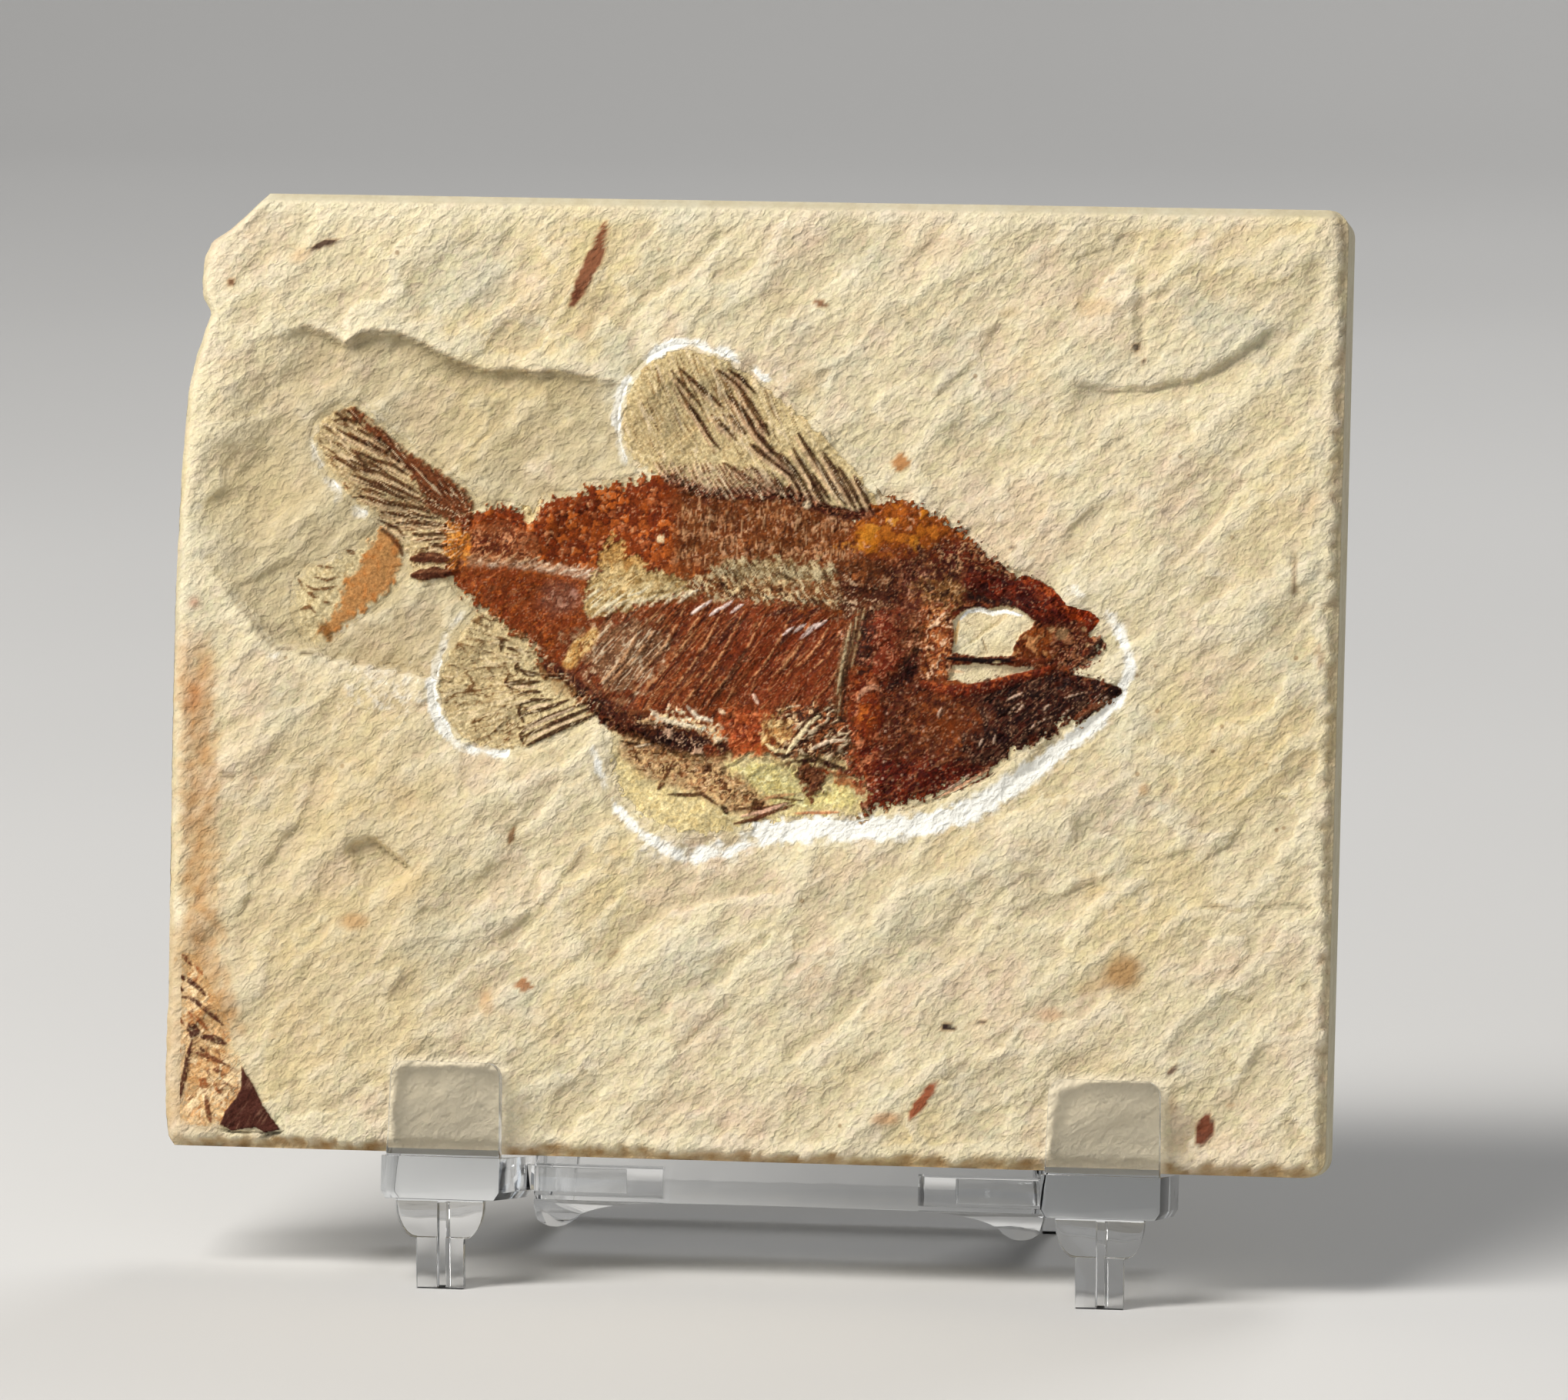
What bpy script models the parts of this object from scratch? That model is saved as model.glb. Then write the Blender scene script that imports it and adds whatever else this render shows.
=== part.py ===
"""Fossil fish slab resting on its clear plastic easel.

Units are metres and +Z is up. The slab leans back on the easel, so most pieces are drawn in the
slab's own frame and hung on one tilted empty: local X runs across the slab, local Z climbs its
face from the lower edge, and local Y goes back into the stone from its front plane. Outlines are
listed in millimetres, as (across, up) pairs in that frame. The origin is the middle of the
object's footprint on the table.
"""

import math

import bmesh
import bpy
import numpy as np
from mathutils import Vector

MM = 0.001

# Stone slab
SLAB_WIDTH = 110 * MM
SLAB_HEIGHT = 90.4 * MM
SLAB_THICKNESS = 11 * MM
LEAN = math.radians(12)
SLAB_EDGE_HEIGHT = 12.2 * MM  # lower front edge of the slab above the table
GAP = 0.3 * MM  # clearance kept between pieces that touch
CORNER_RADIUS = 1.8 * MM
FRONT_BEVEL = 0.8 * MM
GRID_ACROSS = 48
GRID_UP = 40

# Easel
EASEL_SHIFT = 3.3 * MM  # the slab stands this far left of the easel's middle
ARM_SPACING = 31.1 * MM  # from the easel's middle to each arm's middle
ARM_WIDTH = 11.2 * MM
ARM_HEIGHT = 4.0 * MM
ARM_FRONT = -3.2 * MM
ARM_BACK = 17.1 * MM
TAB_TOP = 8.6 * MM
TAB_WIDTH = 10.4 * MM
TAB_THICKNESS = 1.8 * MM
TAB_RADIUS = 1.4 * MM
WEB_WIDTH = 8.3 * MM
WEB_TOP = 8.9 * MM
WEB_FOOT = 4.8 * MM
WEB_THICKNESS = 1.8 * MM
PEG_WIDTH = 4.5 * MM
PEG_PLATE = 1.2 * MM
PEG_RIB_WIDTH = 0.8 * MM
PEG_RIB_DEPTH = 3.2 * MM
LEG_FRONT = -3.9 * MM  # world Y of the legs' front faces, before the footprint is centred

FRAME_WIDTH = 48.8 * MM
REST_THICKNESS = 2.0 * MM
REST_TOP = 48 * MM
REST_RADIUS = 7 * MM
CHANNEL_DEPTH = 3.8 * MM
CHANNEL_TOP = 0.3 * MM
SOCKET_END = 12.2 * MM  # the blind end of each socket, from the easel's middle
TONGUE_END = 15.7 * MM
GUSSET_THICKNESS = 1.7 * MM
GUSSET_TOP = 36 * MM
GUSSET_BACK = 30.2 * MM
SILL_THICKNESS = 1.8 * MM
SILL_TOP = -1.4 * MM
REAR_FOOT_LENGTH = 2.6 * MM
REAR_FOOT_HEIGHT = 2.8 * MM
LUG_SPACING = 22.3 * MM  # from the easel's middle to each small round lug under the back rest
LUG_RADIUS = 2.6 * MM
LUG_THICKNESS = 1.7 * MM
WEB_DROP = 1.5 * MM  # how far the thin web beside a lug hangs below the back rest
WEB_FADE = 2.8 * MM

# Relief of the fossil, as heights in front of the slab's plane
BODY_LEVEL = 0.45 * MM
FIN_LEVEL = 0.22 * MM
BELLY_LEVEL = 0.16 * MM
BONE_RISE = 0.28 * MM
RAY_RISE = 0.18 * MM
POCKET_DEPTH = 1.3 * MM
SHORTEST_EDGE = 0.01 * MM

# Left edge of the slab, bottom to top, with the broken corner
LEFT_EDGE = [
    (-53.9, 0.0), (-54.8, 1.1), (-55.0, 4.0), (-55.1, 20.0), (-55.3, 34.0), (-55.5, 48.0), (-55.4, 58.0),
    (-54.9, 69.0), (-53.8, 75.5), (-52.6, 79.0), (-53.6, 81.6), (-53.0, 85.4), (-50.8, 87.4),
    (-48.6, 89.4), (-46.8, 90.4),
]

BODY = [
    (-29.8, 59.6), (-27.6, 60.2), (-26.3, 61.0), (-23.4, 61.3), (-22.5, 60.0), (-21.4, 60.0),
    (-20.7, 61.8), (-18.0, 62.3), (-15.0, 63.1), (-12.0, 63.9), (-8.6, 64.3), (-6.5, 63.4),
    (-2.0, 63.1), (2.5, 63.0), (6.0, 61.9), (10.2, 61.0), (13.5, 62.6), (17.5, 60.8), (20.0, 59.5),
    (23.0, 56.8), (25.0, 55.5), (27.2, 54.6), (28.8, 52.9), (30.4, 52.1), (31.8, 51.7), (31.5, 50.5),
    (32.8, 49.5), (32.2, 48.2), (30.6, 47.0), (31.9, 46.0), (34.7, 45.0), (33.4, 43.8), (32.0, 42.6),
    (30.0, 41.7), (28.2, 40.4), (25.8, 39.2), (23.6, 38.0), (21.6, 36.5), (18.6, 35.2), (15.6, 33.9),
    (12.6, 33.1), (10.2, 32.7), (10.8, 34.8), (10.2, 36.6), (8.2, 37.0), (6.4, 35.2), (5.4, 36.7),
    (3.6, 37.3), (1.8, 38.2), (0.0, 38.0), (-2.6, 36.6), (-4.2, 37.4), (-7.4, 38.6), (-11.0, 39.9),
    (-13.8, 41.3), (-17.4, 44.2), (-20.2, 45.2), (-21.1, 47.4), (-23.6, 49.6), (-26.8, 52.2),
    (-28.5, 53.9), (-29.6, 56.4),
]
ORBIT = [
    (19.0, 49.0), (19.2, 51.0), (20.4, 52.3), (22.4, 52.7), (24.5, 52.5), (26.2, 51.5), (25.2, 50.2),
    (24.7, 48.4), (19.6, 48.2),
]
TAIL_UPPER = [
    (-27.4, 60.6), (-27.5, 61.9), (-28.6, 63.2), (-31.2, 65.0), (-34.0, 66.7), (-36.2, 68.4),
    (-38.4, 70.4), (-40.6, 70.1), (-42.2, 68.5), (-42.6, 66.8), (-41.6, 64.8), (-40.2, 62.8),
    (-38.4, 61.0), (-36.4, 59.9), (-33.8, 58.0), (-33.0, 56.4), (-32.9, 54.3), (-31.4, 53.9),
    (-28.8, 54.8), (-27.8, 57.5),
]
TAIL_LOWER = [
    (-34.9, 59.6), (-36.6, 58.1), (-39.2, 56.6), (-41.4, 55.2), (-43.2, 53.4), (-43.6, 51.2),
    (-42.7, 49.2), (-41.2, 48.0), (-39.4, 49.3), (-37.0, 51.2), (-35.2, 52.7), (-34.0, 54.6),
    (-33.3, 56.6), (-33.2, 58.0),
]
DORSAL_FIN = [
    (11.2, 60.6), (10.4, 62.9), (8.0, 66.2), (4.4, 69.8), (0.8, 72.6), (-0.8, 74.0), (-3.0, 75.0),
    (-5.2, 75.8), (-7.8, 76.1), (-10.0, 75.2), (-11.6, 73.6), (-12.6, 71.4), (-12.9, 69.2),
    (-12.7, 67.2), (-11.4, 65.6), (-9.6, 63.4), (0.0, 61.8),
]
ANAL_FIN = [
    (-13.6, 42.0), (-17.6, 40.2), (-21.4, 38.4), (-24.4, 38.2), (-27.0, 38.9), (-28.8, 40.8),
    (-29.7, 43.4), (-29.5, 46.0), (-28.6, 48.6), (-27.2, 50.6), (-25.4, 52.0), (-20.5, 48.0), (-16.0, 44.4),
]
BELLY_SKIN = [
    (-13.4, 41.2), (-13.0, 38.2), (-12.2, 35.6), (-10.6, 33.2), (-8.2, 31.4), (-5.4, 30.7),
    (-2.6, 31.3), (1.0, 32.1), (5.6, 32.7), (9.4, 32.9), (12.0, 34.0), (12.0, 38.0), (-4.0, 41.0),
]
BROKEN_SCALE = [
    (-47.6, 7.6), (-46.2, 5.6), (-44.9, 3.4), (-43.6, 1.9), (-45.0, 1.4), (-46.4, 1.9), (-48.2, 1.7),
    (-49.5, 2.4), (-49.0, 3.8), (-47.9, 4.9),
]
PREP_GROOVE = [
    (-15.2, 40.2), (-14.4, 36.3), (-12.3, 32.8), (-9.3, 29.8), (-5.7, 28.4), (-2.2, 29.3), (1.7, 30.6),
    (7.4, 31.4), (13.0, 31.2), (18.1, 32.0), (21.6, 33.4), (26.9, 36.9), (30.3, 40.0), (33.8, 43.2),
    (36.0, 47.2),
]
GROOVE_RADIUS = 0.85 * MM
GROOVE_DEPTH = 0.45 * MM

# Edges of the shallow hollow that was cleared round the tail, upper side then lower side
HOLLOW_UPPER = [(-37.0, 77.3), (-33.5, 77.0), (-31.0, 75.4), (-27.5, 74.2), (-18.0, 74.0), (-13.6, 73.4)]
HOLLOW_LOWER = [(-49.6, 51.4), (-47.6, 48.6), (-45.0, 47.2), (-41.0, 46.6)]
HOLLOW_DEPTH = 0.45 * MM
CHIP_HEIGHT = 0.16 * MM

# Bones drawn as raised strokes: (width, points), widths and points in millimetres
SKULL_STROKES = [
    (1.7, [(19.8, 54.6), (23.0, 54.2), (26.2, 53.2), (29.2, 51.9)]),
    (0.6, [(18.2, 47.5), (23.0, 47.4), (28.6, 47.9)]),
    (2.2, [(17.6, 44.2), (23.4, 44.3), (28.4, 44.9), (33.4, 45.0)]),
    (1.5, [(18.6, 40.0), (23.4, 40.9), (28.2, 42.2)]),
    (1.3, [(16.8, 52.4), (16.4, 48.8), (15.2, 45.4)]),
    (1.5, [(13.6, 43.6), (13.2, 40.0), (12.8, 36.2)]),
    (1.2, [(9.7, 51.6), (9.3, 48.0), (8.7, 44.6), (8.9, 41.4)]),
    (1.1, [(12.2, 55.0), (11.6, 51.0), (11.3, 47.0)]),
]
SPINE_FRONT = (8.4, 54.9)
SPINE_MIDDLE = (-9.0, 54.9)
SPINE_REAR = (-27.8, 56.7)
VERTEBRAE = 30
VERTEBRA_WIDTH = 1.3
VERTEBRA_FILL = 0.72
RIBS = 13
RIB_WIDTH = 0.5
RIB_FRONT = ((8.4, 51.4), (4.6, 43.4))
RIB_REAR = ((-12.0, 51.2), (-18.6, 46.4))
RAY_WIDTH = 0.42
DORSAL_BASE = [(10.2, 62.0), (5.0, 62.9), (-2.0, 63.6), (-8.0, 64.4)]
DORSAL_MARGIN = [(9.3, 64.3), (3.6, 69.8), (-2.0, 74.1), (-7.4, 75.4), (-11.4, 72.2), (-11.8, 67.0)]
TAIL_BASE = [(-28.6, 61.6), (-29.6, 60.2), (-30.0, 58.4), (-30.2, 55.8)]
TAIL_MARGIN = [(-38.2, 69.6), (-41.4, 67.0), (-39.4, 62.6), (-36.0, 59.8), (-32.6, 55.2)]
ANAL_BASE = [(-15.4, 42.4), (-18.6, 44.2), (-21.0, 46.4), (-23.4, 48.8)]
ANAL_MARGIN = [(-21.0, 38.9), (-26.4, 39.5), (-28.9, 43.4), (-27.6, 48.8)]
BELLY_RAYS = [
    (0.5, [(4.4, 33.4), (1.6, 32.8), (-1.3, 31.9)]),
    (0.5, [(4.9, 34.2), (2.2, 34.0), (-0.6, 33.2)]),
    (0.9, [(-8.0, 39.2), (-5.6, 38.6), (-3.0, 37.6)]),
]


def slab_y_extent():
    """Front and back of the whole object along Y, measured from the slab's lower front edge."""
    front = ARM_FRONT * math.cos(LEAN) - (ARM_HEIGHT + GAP) * math.sin(LEAN)
    back = SLAB_HEIGHT * math.sin(LEAN) + SLAB_THICKNESS * math.cos(LEAN)
    return front, back


FOOTPRINT_SHIFT = -sum(slab_y_extent()) / 2


def clear_scene():
    """Remove every object that is already in the file."""
    for obj in list(bpy.data.objects):
        bpy.data.objects.remove(obj)


def make_material(name, color, roughness, alpha=1.0, transmission=0.0):
    """A Principled material with one colour."""
    material = bpy.data.materials.new(name)
    material.use_nodes = True
    shader = material.node_tree.nodes["Principled BSDF"]
    shader.inputs["Base Color"].default_value = (*color, 1.0)
    shader.inputs["Roughness"].default_value = roughness
    shader.inputs["Metallic"].default_value = 0.0
    shader.inputs["Alpha"].default_value = alpha
    shader.inputs["Transmission Weight"].default_value = transmission
    material.diffuse_color = (*color, alpha)
    return material


def make_object(name, mesh, parent=None, material=None):
    """Link a mesh into the scene, parented to the tilted frame if one is given."""
    obj = bpy.data.objects.new(name, mesh)
    bpy.context.scene.collection.objects.link(obj)
    obj.parent = parent
    if material:
        mesh.materials.append(material)
    return obj


def hide_helper(obj):
    """Mark an object as a guide that only feeds a Boolean."""
    obj.hide_render = True
    obj.display_type = "WIRE"
    return obj


def resample(points, count):
    """Points at even steps along an open line."""
    line = np.array(points, float)
    along = np.concatenate([[0], np.cumsum(np.linalg.norm(np.diff(line, axis=0), axis=1))])
    steps = np.linspace(0, along[-1], count)
    return np.column_stack([np.interp(steps, along, line[:, axis]) for axis in (0, 1)])


def round_loop(points, steps=2):
    """A closed Catmull-Rom curve through the points, with this many steps between neighbours."""
    knots = np.array(points, float)
    before, after, far = np.roll(knots, 1, 0), np.roll(knots, -1, 0), np.roll(knots, -2, 0)
    rings = []
    for t in np.arange(steps) / steps:
        rings.append(
            0.5 * (2 * knots + (after - before) * t
                   + (2 * before - 5 * knots + 4 * after - far) * t**2
                   + (3 * knots - before - 3 * after + far) * t**3)
        )
    return np.stack(rings, axis=1).reshape(-1, 2)


def signed_area(points):
    """Twice the area inside a loop, positive when it runs anticlockwise."""
    x, y = np.asarray(points).T
    return float(np.sum(x * np.roll(y, -1) - np.roll(x, -1) * y))


def offset_loop(points, distance):
    """Move each point of a loop outwards along the mean normal of its two sides."""
    loop = np.asarray(points, float)
    if signed_area(loop) < 0:
        loop = loop[::-1]
    side = np.roll(loop, -1, 0) - loop
    side /= np.linalg.norm(side, axis=1, keepdims=True)
    normal = np.column_stack([side[:, 1], -side[:, 0]])
    mean = normal + np.roll(normal, 1, 0)
    mean /= np.maximum(np.linalg.norm(mean, axis=1, keepdims=True), 1e-6)
    return loop + mean * distance


def add_prism(bm, outline, axis, low, high):
    """Add a closed prism: a loop of (a, b) pairs pushed along an axis from low to high.

    The pairs are the other two axes in X, Y, Z order.
    """
    order = {"X": (2, 0, 1), "Y": (0, 2, 1), "Z": (0, 1, 2)}[axis]
    rings = []
    for level in (low, high):
        ring = []
        for a, b in outline:
            values = (a, b, level)
            ring.append(bm.verts.new([values[i] for i in order]))
        rings.append(ring)
    count = len(outline)
    bm.faces.new(rings[0])
    bm.faces.new(list(reversed(rings[1])))
    for i in range(count):
        j = (i + 1) % count
        bm.faces.new([rings[0][j], rings[0][i], rings[1][i], rings[1][j]])


def finish_mesh(bm, name):
    """Close a bmesh into a mesh whose faces point outwards."""
    bmesh.ops.recalc_face_normals(bm, faces=bm.faces)
    mesh = bpy.data.meshes.new(name)
    bm.to_mesh(mesh)
    bm.free()
    return mesh


def prism(name, outline, axis, low, high, parent=None, material=None):
    """One prism as its own object. See add_prism for the axes."""
    bm = bmesh.new()
    add_prism(bm, outline, axis, low, high)
    return make_object(name, finish_mesh(bm, name), parent, material)


def box(name, x, y, z, parent=None, material=None):
    """A box from three (low, high) pairs."""
    corners = [(x[0], y[0]), (x[1], y[0]), (x[1], y[1]), (x[0], y[1])]
    return prism(name, corners, "Z", z[0], z[1], parent, material)


def boolean(target, helper, operation):
    """Join or cut with one hidden helper object."""
    modifier = target.modifiers.new(f"{operation.lower()} {helper.name}", "BOOLEAN")
    modifier.operation = operation
    modifier.solver = "EXACT"
    modifier.object = hide_helper(helper)


def arc(centre, radius, start, end, steps):
    """Points on a circle between two angles in degrees."""
    angles = np.radians(np.linspace(start, end, steps + 1))
    return [(centre[0] + radius * math.cos(a), centre[1] + radius * math.sin(a)) for a in angles]


def line_distance(x, z, line):
    """Distance from points to a polyline, and which side they are on (positive below it)."""
    best = np.full(np.shape(x), np.inf)
    side = np.zeros(np.shape(x))
    for (ax, az), (bx, bz) in zip(line[:-1], line[1:]):
        dx, dz = bx - ax, bz - az
        t = np.clip(((x - ax) * dx + (z - az) * dz) / (dx * dx + dz * dz), 0, 1)
        gap = np.hypot(x - ax - t * dx, z - az - t * dz)
        nearer = gap < best
        best = np.where(nearer, gap, best)
        side = np.where(nearer, np.sign((x - ax) * dz - (z - az) * dx), side)
    return best, side


def smooth_step(value, low, high):
    """0 below low, 1 above high, with an eased ramp between."""
    t = np.clip((value - low) / (high - low), 0, 1)
    return t * t * (3 - 2 * t)


def hollow_share(x, z):
    """How far a point, in millimetres, is inside the hollow cleared round the tail: 0 to 1."""
    upper_gap, upper_side = line_distance(x, z, HOLLOW_UPPER)
    lower_gap, lower_side = line_distance(x, z, HOLLOW_LOWER)
    below_upper = smooth_step(upper_gap * upper_side, -0.6, 1.4)
    above_lower = smooth_step(-lower_gap * lower_side, -0.6, 1.2)
    reach = 1 - smooth_step(np.hypot((x + 32) / 22, (z - 61) / 19), 0.75, 1.0)
    return below_upper * above_lower * reach


def face_relief(x, z):
    """Height of the split face in front of the slab's plane, for points in millimetres.

    Three crossed waves run along the stone's diagonal grain, and the hollow is taken away.
    """
    along = 0.8 * x + 0.6 * z
    across = 0.6 * x - 0.8 * z
    chips = (
        np.sin(0.55 * across + 1.3 * np.sin(0.16 * along))
        + 0.7 * np.sin(0.93 * across + 0.31 * along + 1.7)
        + 0.5 * np.sin(0.42 * along - 0.21 * across + 0.6)
    )
    return chips * CHIP_HEIGHT / MM - hollow_share(x, z) * HOLLOW_DEPTH / MM


def slab_sides(z):
    """Left and right edge of the slab at heights z, in millimetres, with rounded right corners."""
    left = np.interp(z, [p[1] for p in LEFT_EDGE], [p[0] for p in LEFT_EDGE])
    radius = CORNER_RADIUS / MM
    reach = np.maximum(0, radius - np.minimum(z, SLAB_HEIGHT / MM - z))
    right = SLAB_WIDTH / MM / 2 - (radius - np.sqrt(radius**2 - reach**2))
    return left, right


def build_slab(frame, material):
    """The stone: a grid over the face, dropped at its rim, with straight sides and a flat back."""
    height = SLAB_HEIGHT / MM
    ends = np.array([0.0, 0.35, 0.9])
    inner = np.linspace(1.9, height - 1.9, GRID_UP - 2 * len(ends) + 1)
    rows = np.concatenate([ends, inner, height - ends[::-1]])
    shares = np.concatenate([[0, 0.008], np.linspace(0.024, 0.976, GRID_ACROSS - 3), [0.992, 1]])
    z, share = np.meshgrid(rows, shares, indexing="ij")
    left, right = slab_sides(z)
    x = left + (right - left) * share
    inside = np.minimum(np.minimum(x - left, right - x), np.minimum(z, height - z))
    rim = FRONT_BEVEL / MM
    drop = rim * (1 - np.clip(inside / rim, 0, 1)) ** 1.5
    quiet = smooth_step(inside, 0, 4)
    front = drop - face_relief(x, z) * quiet
    bm = bmesh.new()
    verts = [
        [bm.verts.new((x[i, j] * MM, front[i, j] * MM, z[i, j] * MM)) for j in range(len(shares))]
        for i in range(len(rows))
    ]
    for i in range(len(rows) - 1):
        for j in range(len(shares) - 1):
            bm.faces.new([verts[i][j], verts[i][j + 1], verts[i + 1][j + 1], verts[i + 1][j]])
    edges = [edge for edge in bm.edges if edge.is_boundary]
    grown = bmesh.ops.extrude_edge_only(bm, edges=edges)["geom"]
    back = [item for item in grown if isinstance(item, bmesh.types.BMVert)]
    for vert in back:
        vert.co.y = SLAB_THICKNESS
    rim_edges = [item for item in grown if isinstance(item, bmesh.types.BMEdge) and item.is_boundary]
    bmesh.ops.contextual_create(bm, geom=rim_edges)
    bmesh.ops.dissolve_degenerate(bm, dist=SHORTEST_EDGE, edges=bm.edges)
    slab = make_object("slab", finish_mesh(bm, "slab"), frame, material)
    for number, outline in enumerate([BODY, TAIL_UPPER, TAIL_LOWER, DORSAL_FIN, ANAL_FIN, BELLY_SKIN,
                                      BROKEN_SCALE]):
        wider = offset_loop(round_loop(outline), GAP / MM) * MM
        cutter = prism(f"pocket_{number}", wider, "Y", -3 * MM, POCKET_DEPTH, frame)
        boolean(slab, cutter, "DIFFERENCE")
    boolean(slab, build_groove_cutter(frame), "DIFFERENCE")
    return slab


def build_groove_cutter(frame):
    """A round rod laid along the belly, which leaves the tool groove beside the fossil."""
    route = resample(round_open(PREP_GROOVE, 4), 44)
    tangent = np.gradient(route, axis=0)
    tangent /= np.linalg.norm(tangent, axis=1, keepdims=True)
    depth = GROOVE_DEPTH - GROOVE_RADIUS
    bm = bmesh.new()
    rings = []
    for (x, z), (tx, tz) in zip(route * MM, tangent):
        ring = []
        for angle in np.linspace(0, 2 * math.pi, 10, endpoint=False):
            out = GROOVE_RADIUS * math.cos(angle)
            ring.append(bm.verts.new((x - tz * out, depth + GROOVE_RADIUS * math.sin(angle), z + tx * out)))
        rings.append(ring)
    for one, two in zip(rings[:-1], rings[1:]):
        for i in range(len(one)):
            j = (i + 1) % len(one)
            bm.faces.new([one[i], one[j], two[j], two[i]])
    bm.faces.new(rings[0])
    bm.faces.new(list(reversed(rings[-1])))
    return make_object("groove_cutter", finish_mesh(bm, "groove_cutter"), frame)


def round_open(points, steps):
    """A Catmull-Rom curve through an open row of points, ends included."""
    knots = np.array(points, float)
    padded = np.vstack([2 * knots[0] - knots[1], knots, 2 * knots[-1] - knots[-2]])
    out = []
    for i in range(len(knots) - 1):
        a, b, c, d = padded[i:i + 4]
        for t in np.arange(steps) / steps:
            out.append(0.5 * (2 * b + (c - a) * t + (2 * a - 5 * b + 4 * c - d) * t**2
                              + (3 * b - a - 3 * c + d) * t**3))
    out.append(knots[-1])
    return np.array(out)


def stroke_outline(points, width):
    """A thin leaf round a line: full width at its middle, a third of it at its two ends."""
    line = np.array(points, float)
    tangent = np.gradient(line, axis=0)
    tangent /= np.linalg.norm(tangent, axis=1, keepdims=True)
    normal = np.column_stack([-tangent[:, 1], tangent[:, 0]])
    t = np.linspace(-1, 1, len(line))[:, None]
    half = width / 2 * (1 - 0.65 * t**2)
    return np.vstack([line + normal * half, (line - normal * half)[::-1]])


def build_strokes(name, strokes, base, rise, frame):
    """Raised bones or rays as one helper of separate bars, which stand on a plate at height base."""
    bm = bmesh.new()
    for width, points in strokes:
        line = resample(round_open(points, 3) if len(points) > 2 else points, max(3, len(points)))
        add_prism(bm, stroke_outline(line, width) * MM, "Y", -(base + rise), -base + 0.12 * MM)
    return make_object(name, finish_mesh(bm, name), frame)


def fan(base, margin, count):
    """Rays from a fin's base to its margin, spread evenly along both."""
    starts, ends = resample(base, count), resample(margin, count)
    return [(RAY_WIDTH, [tuple(a), tuple((a + b) / 2), tuple(b)]) for a, b in zip(starts, ends)]


def spine_strokes():
    """Vertebrae as short thick bars in a row along the backbone's curve."""
    t = np.linspace(0, 1, VERTEBRAE + 1)[:, None]
    front, middle, rear = (np.array(p) for p in (SPINE_FRONT, SPINE_MIDDLE, SPINE_REAR))
    line = (1 - t) ** 2 * front + 2 * t * (1 - t) * middle + t**2 * rear
    strokes = []
    for a, b in zip(line[:-1], line[1:]):
        shrink = (b - a) * (1 - VERTEBRA_FILL) / 2
        strokes.append((VERTEBRA_WIDTH, [tuple(a + shrink), tuple((a + b) / 2), tuple(b - shrink)]))
    return strokes


def rib_strokes():
    """Ribs that slope down and back from the backbone, shorter and flatter towards the tail."""
    strokes = []
    for t in np.linspace(0, 1, RIBS):
        top, tip = ((1 - t) * np.array(RIB_FRONT[end]) + t * np.array(RIB_REAR[end]) for end in (0, 1))
        belly = (top + tip) / 2 + np.array([0.5, -0.5])
        strokes.append((RIB_WIDTH, [tuple(top), tuple(belly), tuple(tip)]))
    return strokes


def build_fish(frame, material):
    """The fossil: a body plate joined to thinner fin plates, with its bones and rays raised."""
    floor = POCKET_DEPTH - GAP
    fish = prism("fossil_fish", round_loop(BODY) * MM, "Y", -BODY_LEVEL, floor, frame, material)
    fins = [
        ("tail_upper", TAIL_UPPER, FIN_LEVEL), ("tail_lower", TAIL_LOWER, FIN_LEVEL * 0.8),
        ("dorsal_fin", DORSAL_FIN, FIN_LEVEL), ("anal_fin", ANAL_FIN, FIN_LEVEL * 0.9),
        ("belly_skin", BELLY_SKIN, BELLY_LEVEL),
    ]
    for number, (name, outline, level) in enumerate(fins):
        under = floor - (number + 1) * 0.03 * MM
        boolean(fish, prism(name, round_loop(outline) * MM, "Y", -level, under, frame), "UNION")
    boolean(fish, prism("orbit", round_loop(ORBIT) * MM, "Y", -3 * MM, -BODY_LEVEL * 0.1, frame), "DIFFERENCE")
    helpers = [
        ("skull_bones", SKULL_STROKES, BODY_LEVEL, BONE_RISE),
        ("vertebrae", spine_strokes(), BODY_LEVEL, BONE_RISE),
        ("ribs", rib_strokes(), BODY_LEVEL, BONE_RISE * 0.6),
        ("dorsal_rays", fan(DORSAL_BASE, DORSAL_MARGIN, 15), FIN_LEVEL, RAY_RISE),
        ("tail_rays", fan(TAIL_BASE, TAIL_MARGIN, 12), FIN_LEVEL, RAY_RISE),
        ("anal_rays", fan(ANAL_BASE, ANAL_MARGIN, 10), FIN_LEVEL * 0.9, RAY_RISE),
        ("belly_rays", BELLY_RAYS, BELLY_LEVEL, RAY_RISE),
    ]
    for name, strokes, base, rise in helpers:
        boolean(fish, build_strokes(name, strokes, base, rise, frame), "UNION")
    return fish


def build_fragment(frame, material):
    """The dark broken scale in the lower left corner, set in its own small pocket."""
    floor = POCKET_DEPTH - GAP
    return prism("fossil_fragment", round_loop(BROKEN_SCALE) * MM, "Y", -0.3 * MM, floor, frame, material)


def web_outline(x):
    """Front view of a leg's half-round web and straight peg, as (across, up) points in world axes."""
    half_web, half_peg = WEB_WIDTH / 2, PEG_WIDTH / 2
    right = []
    for t in np.linspace(0, 1, 7):
        angle = t * math.pi / 2
        right.append((half_peg + (half_web - half_peg) * math.cos(angle),
                      WEB_TOP - 0.7 * MM - (WEB_TOP - 0.7 * MM - WEB_FOOT) * math.sin(angle)))
    right = [(half_web, WEB_TOP)] + right + [(half_peg, 0.0)]
    left = [(-a, b) for a, b in reversed(right)]
    return [(x + a, b) for a, b in right + left]


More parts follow.
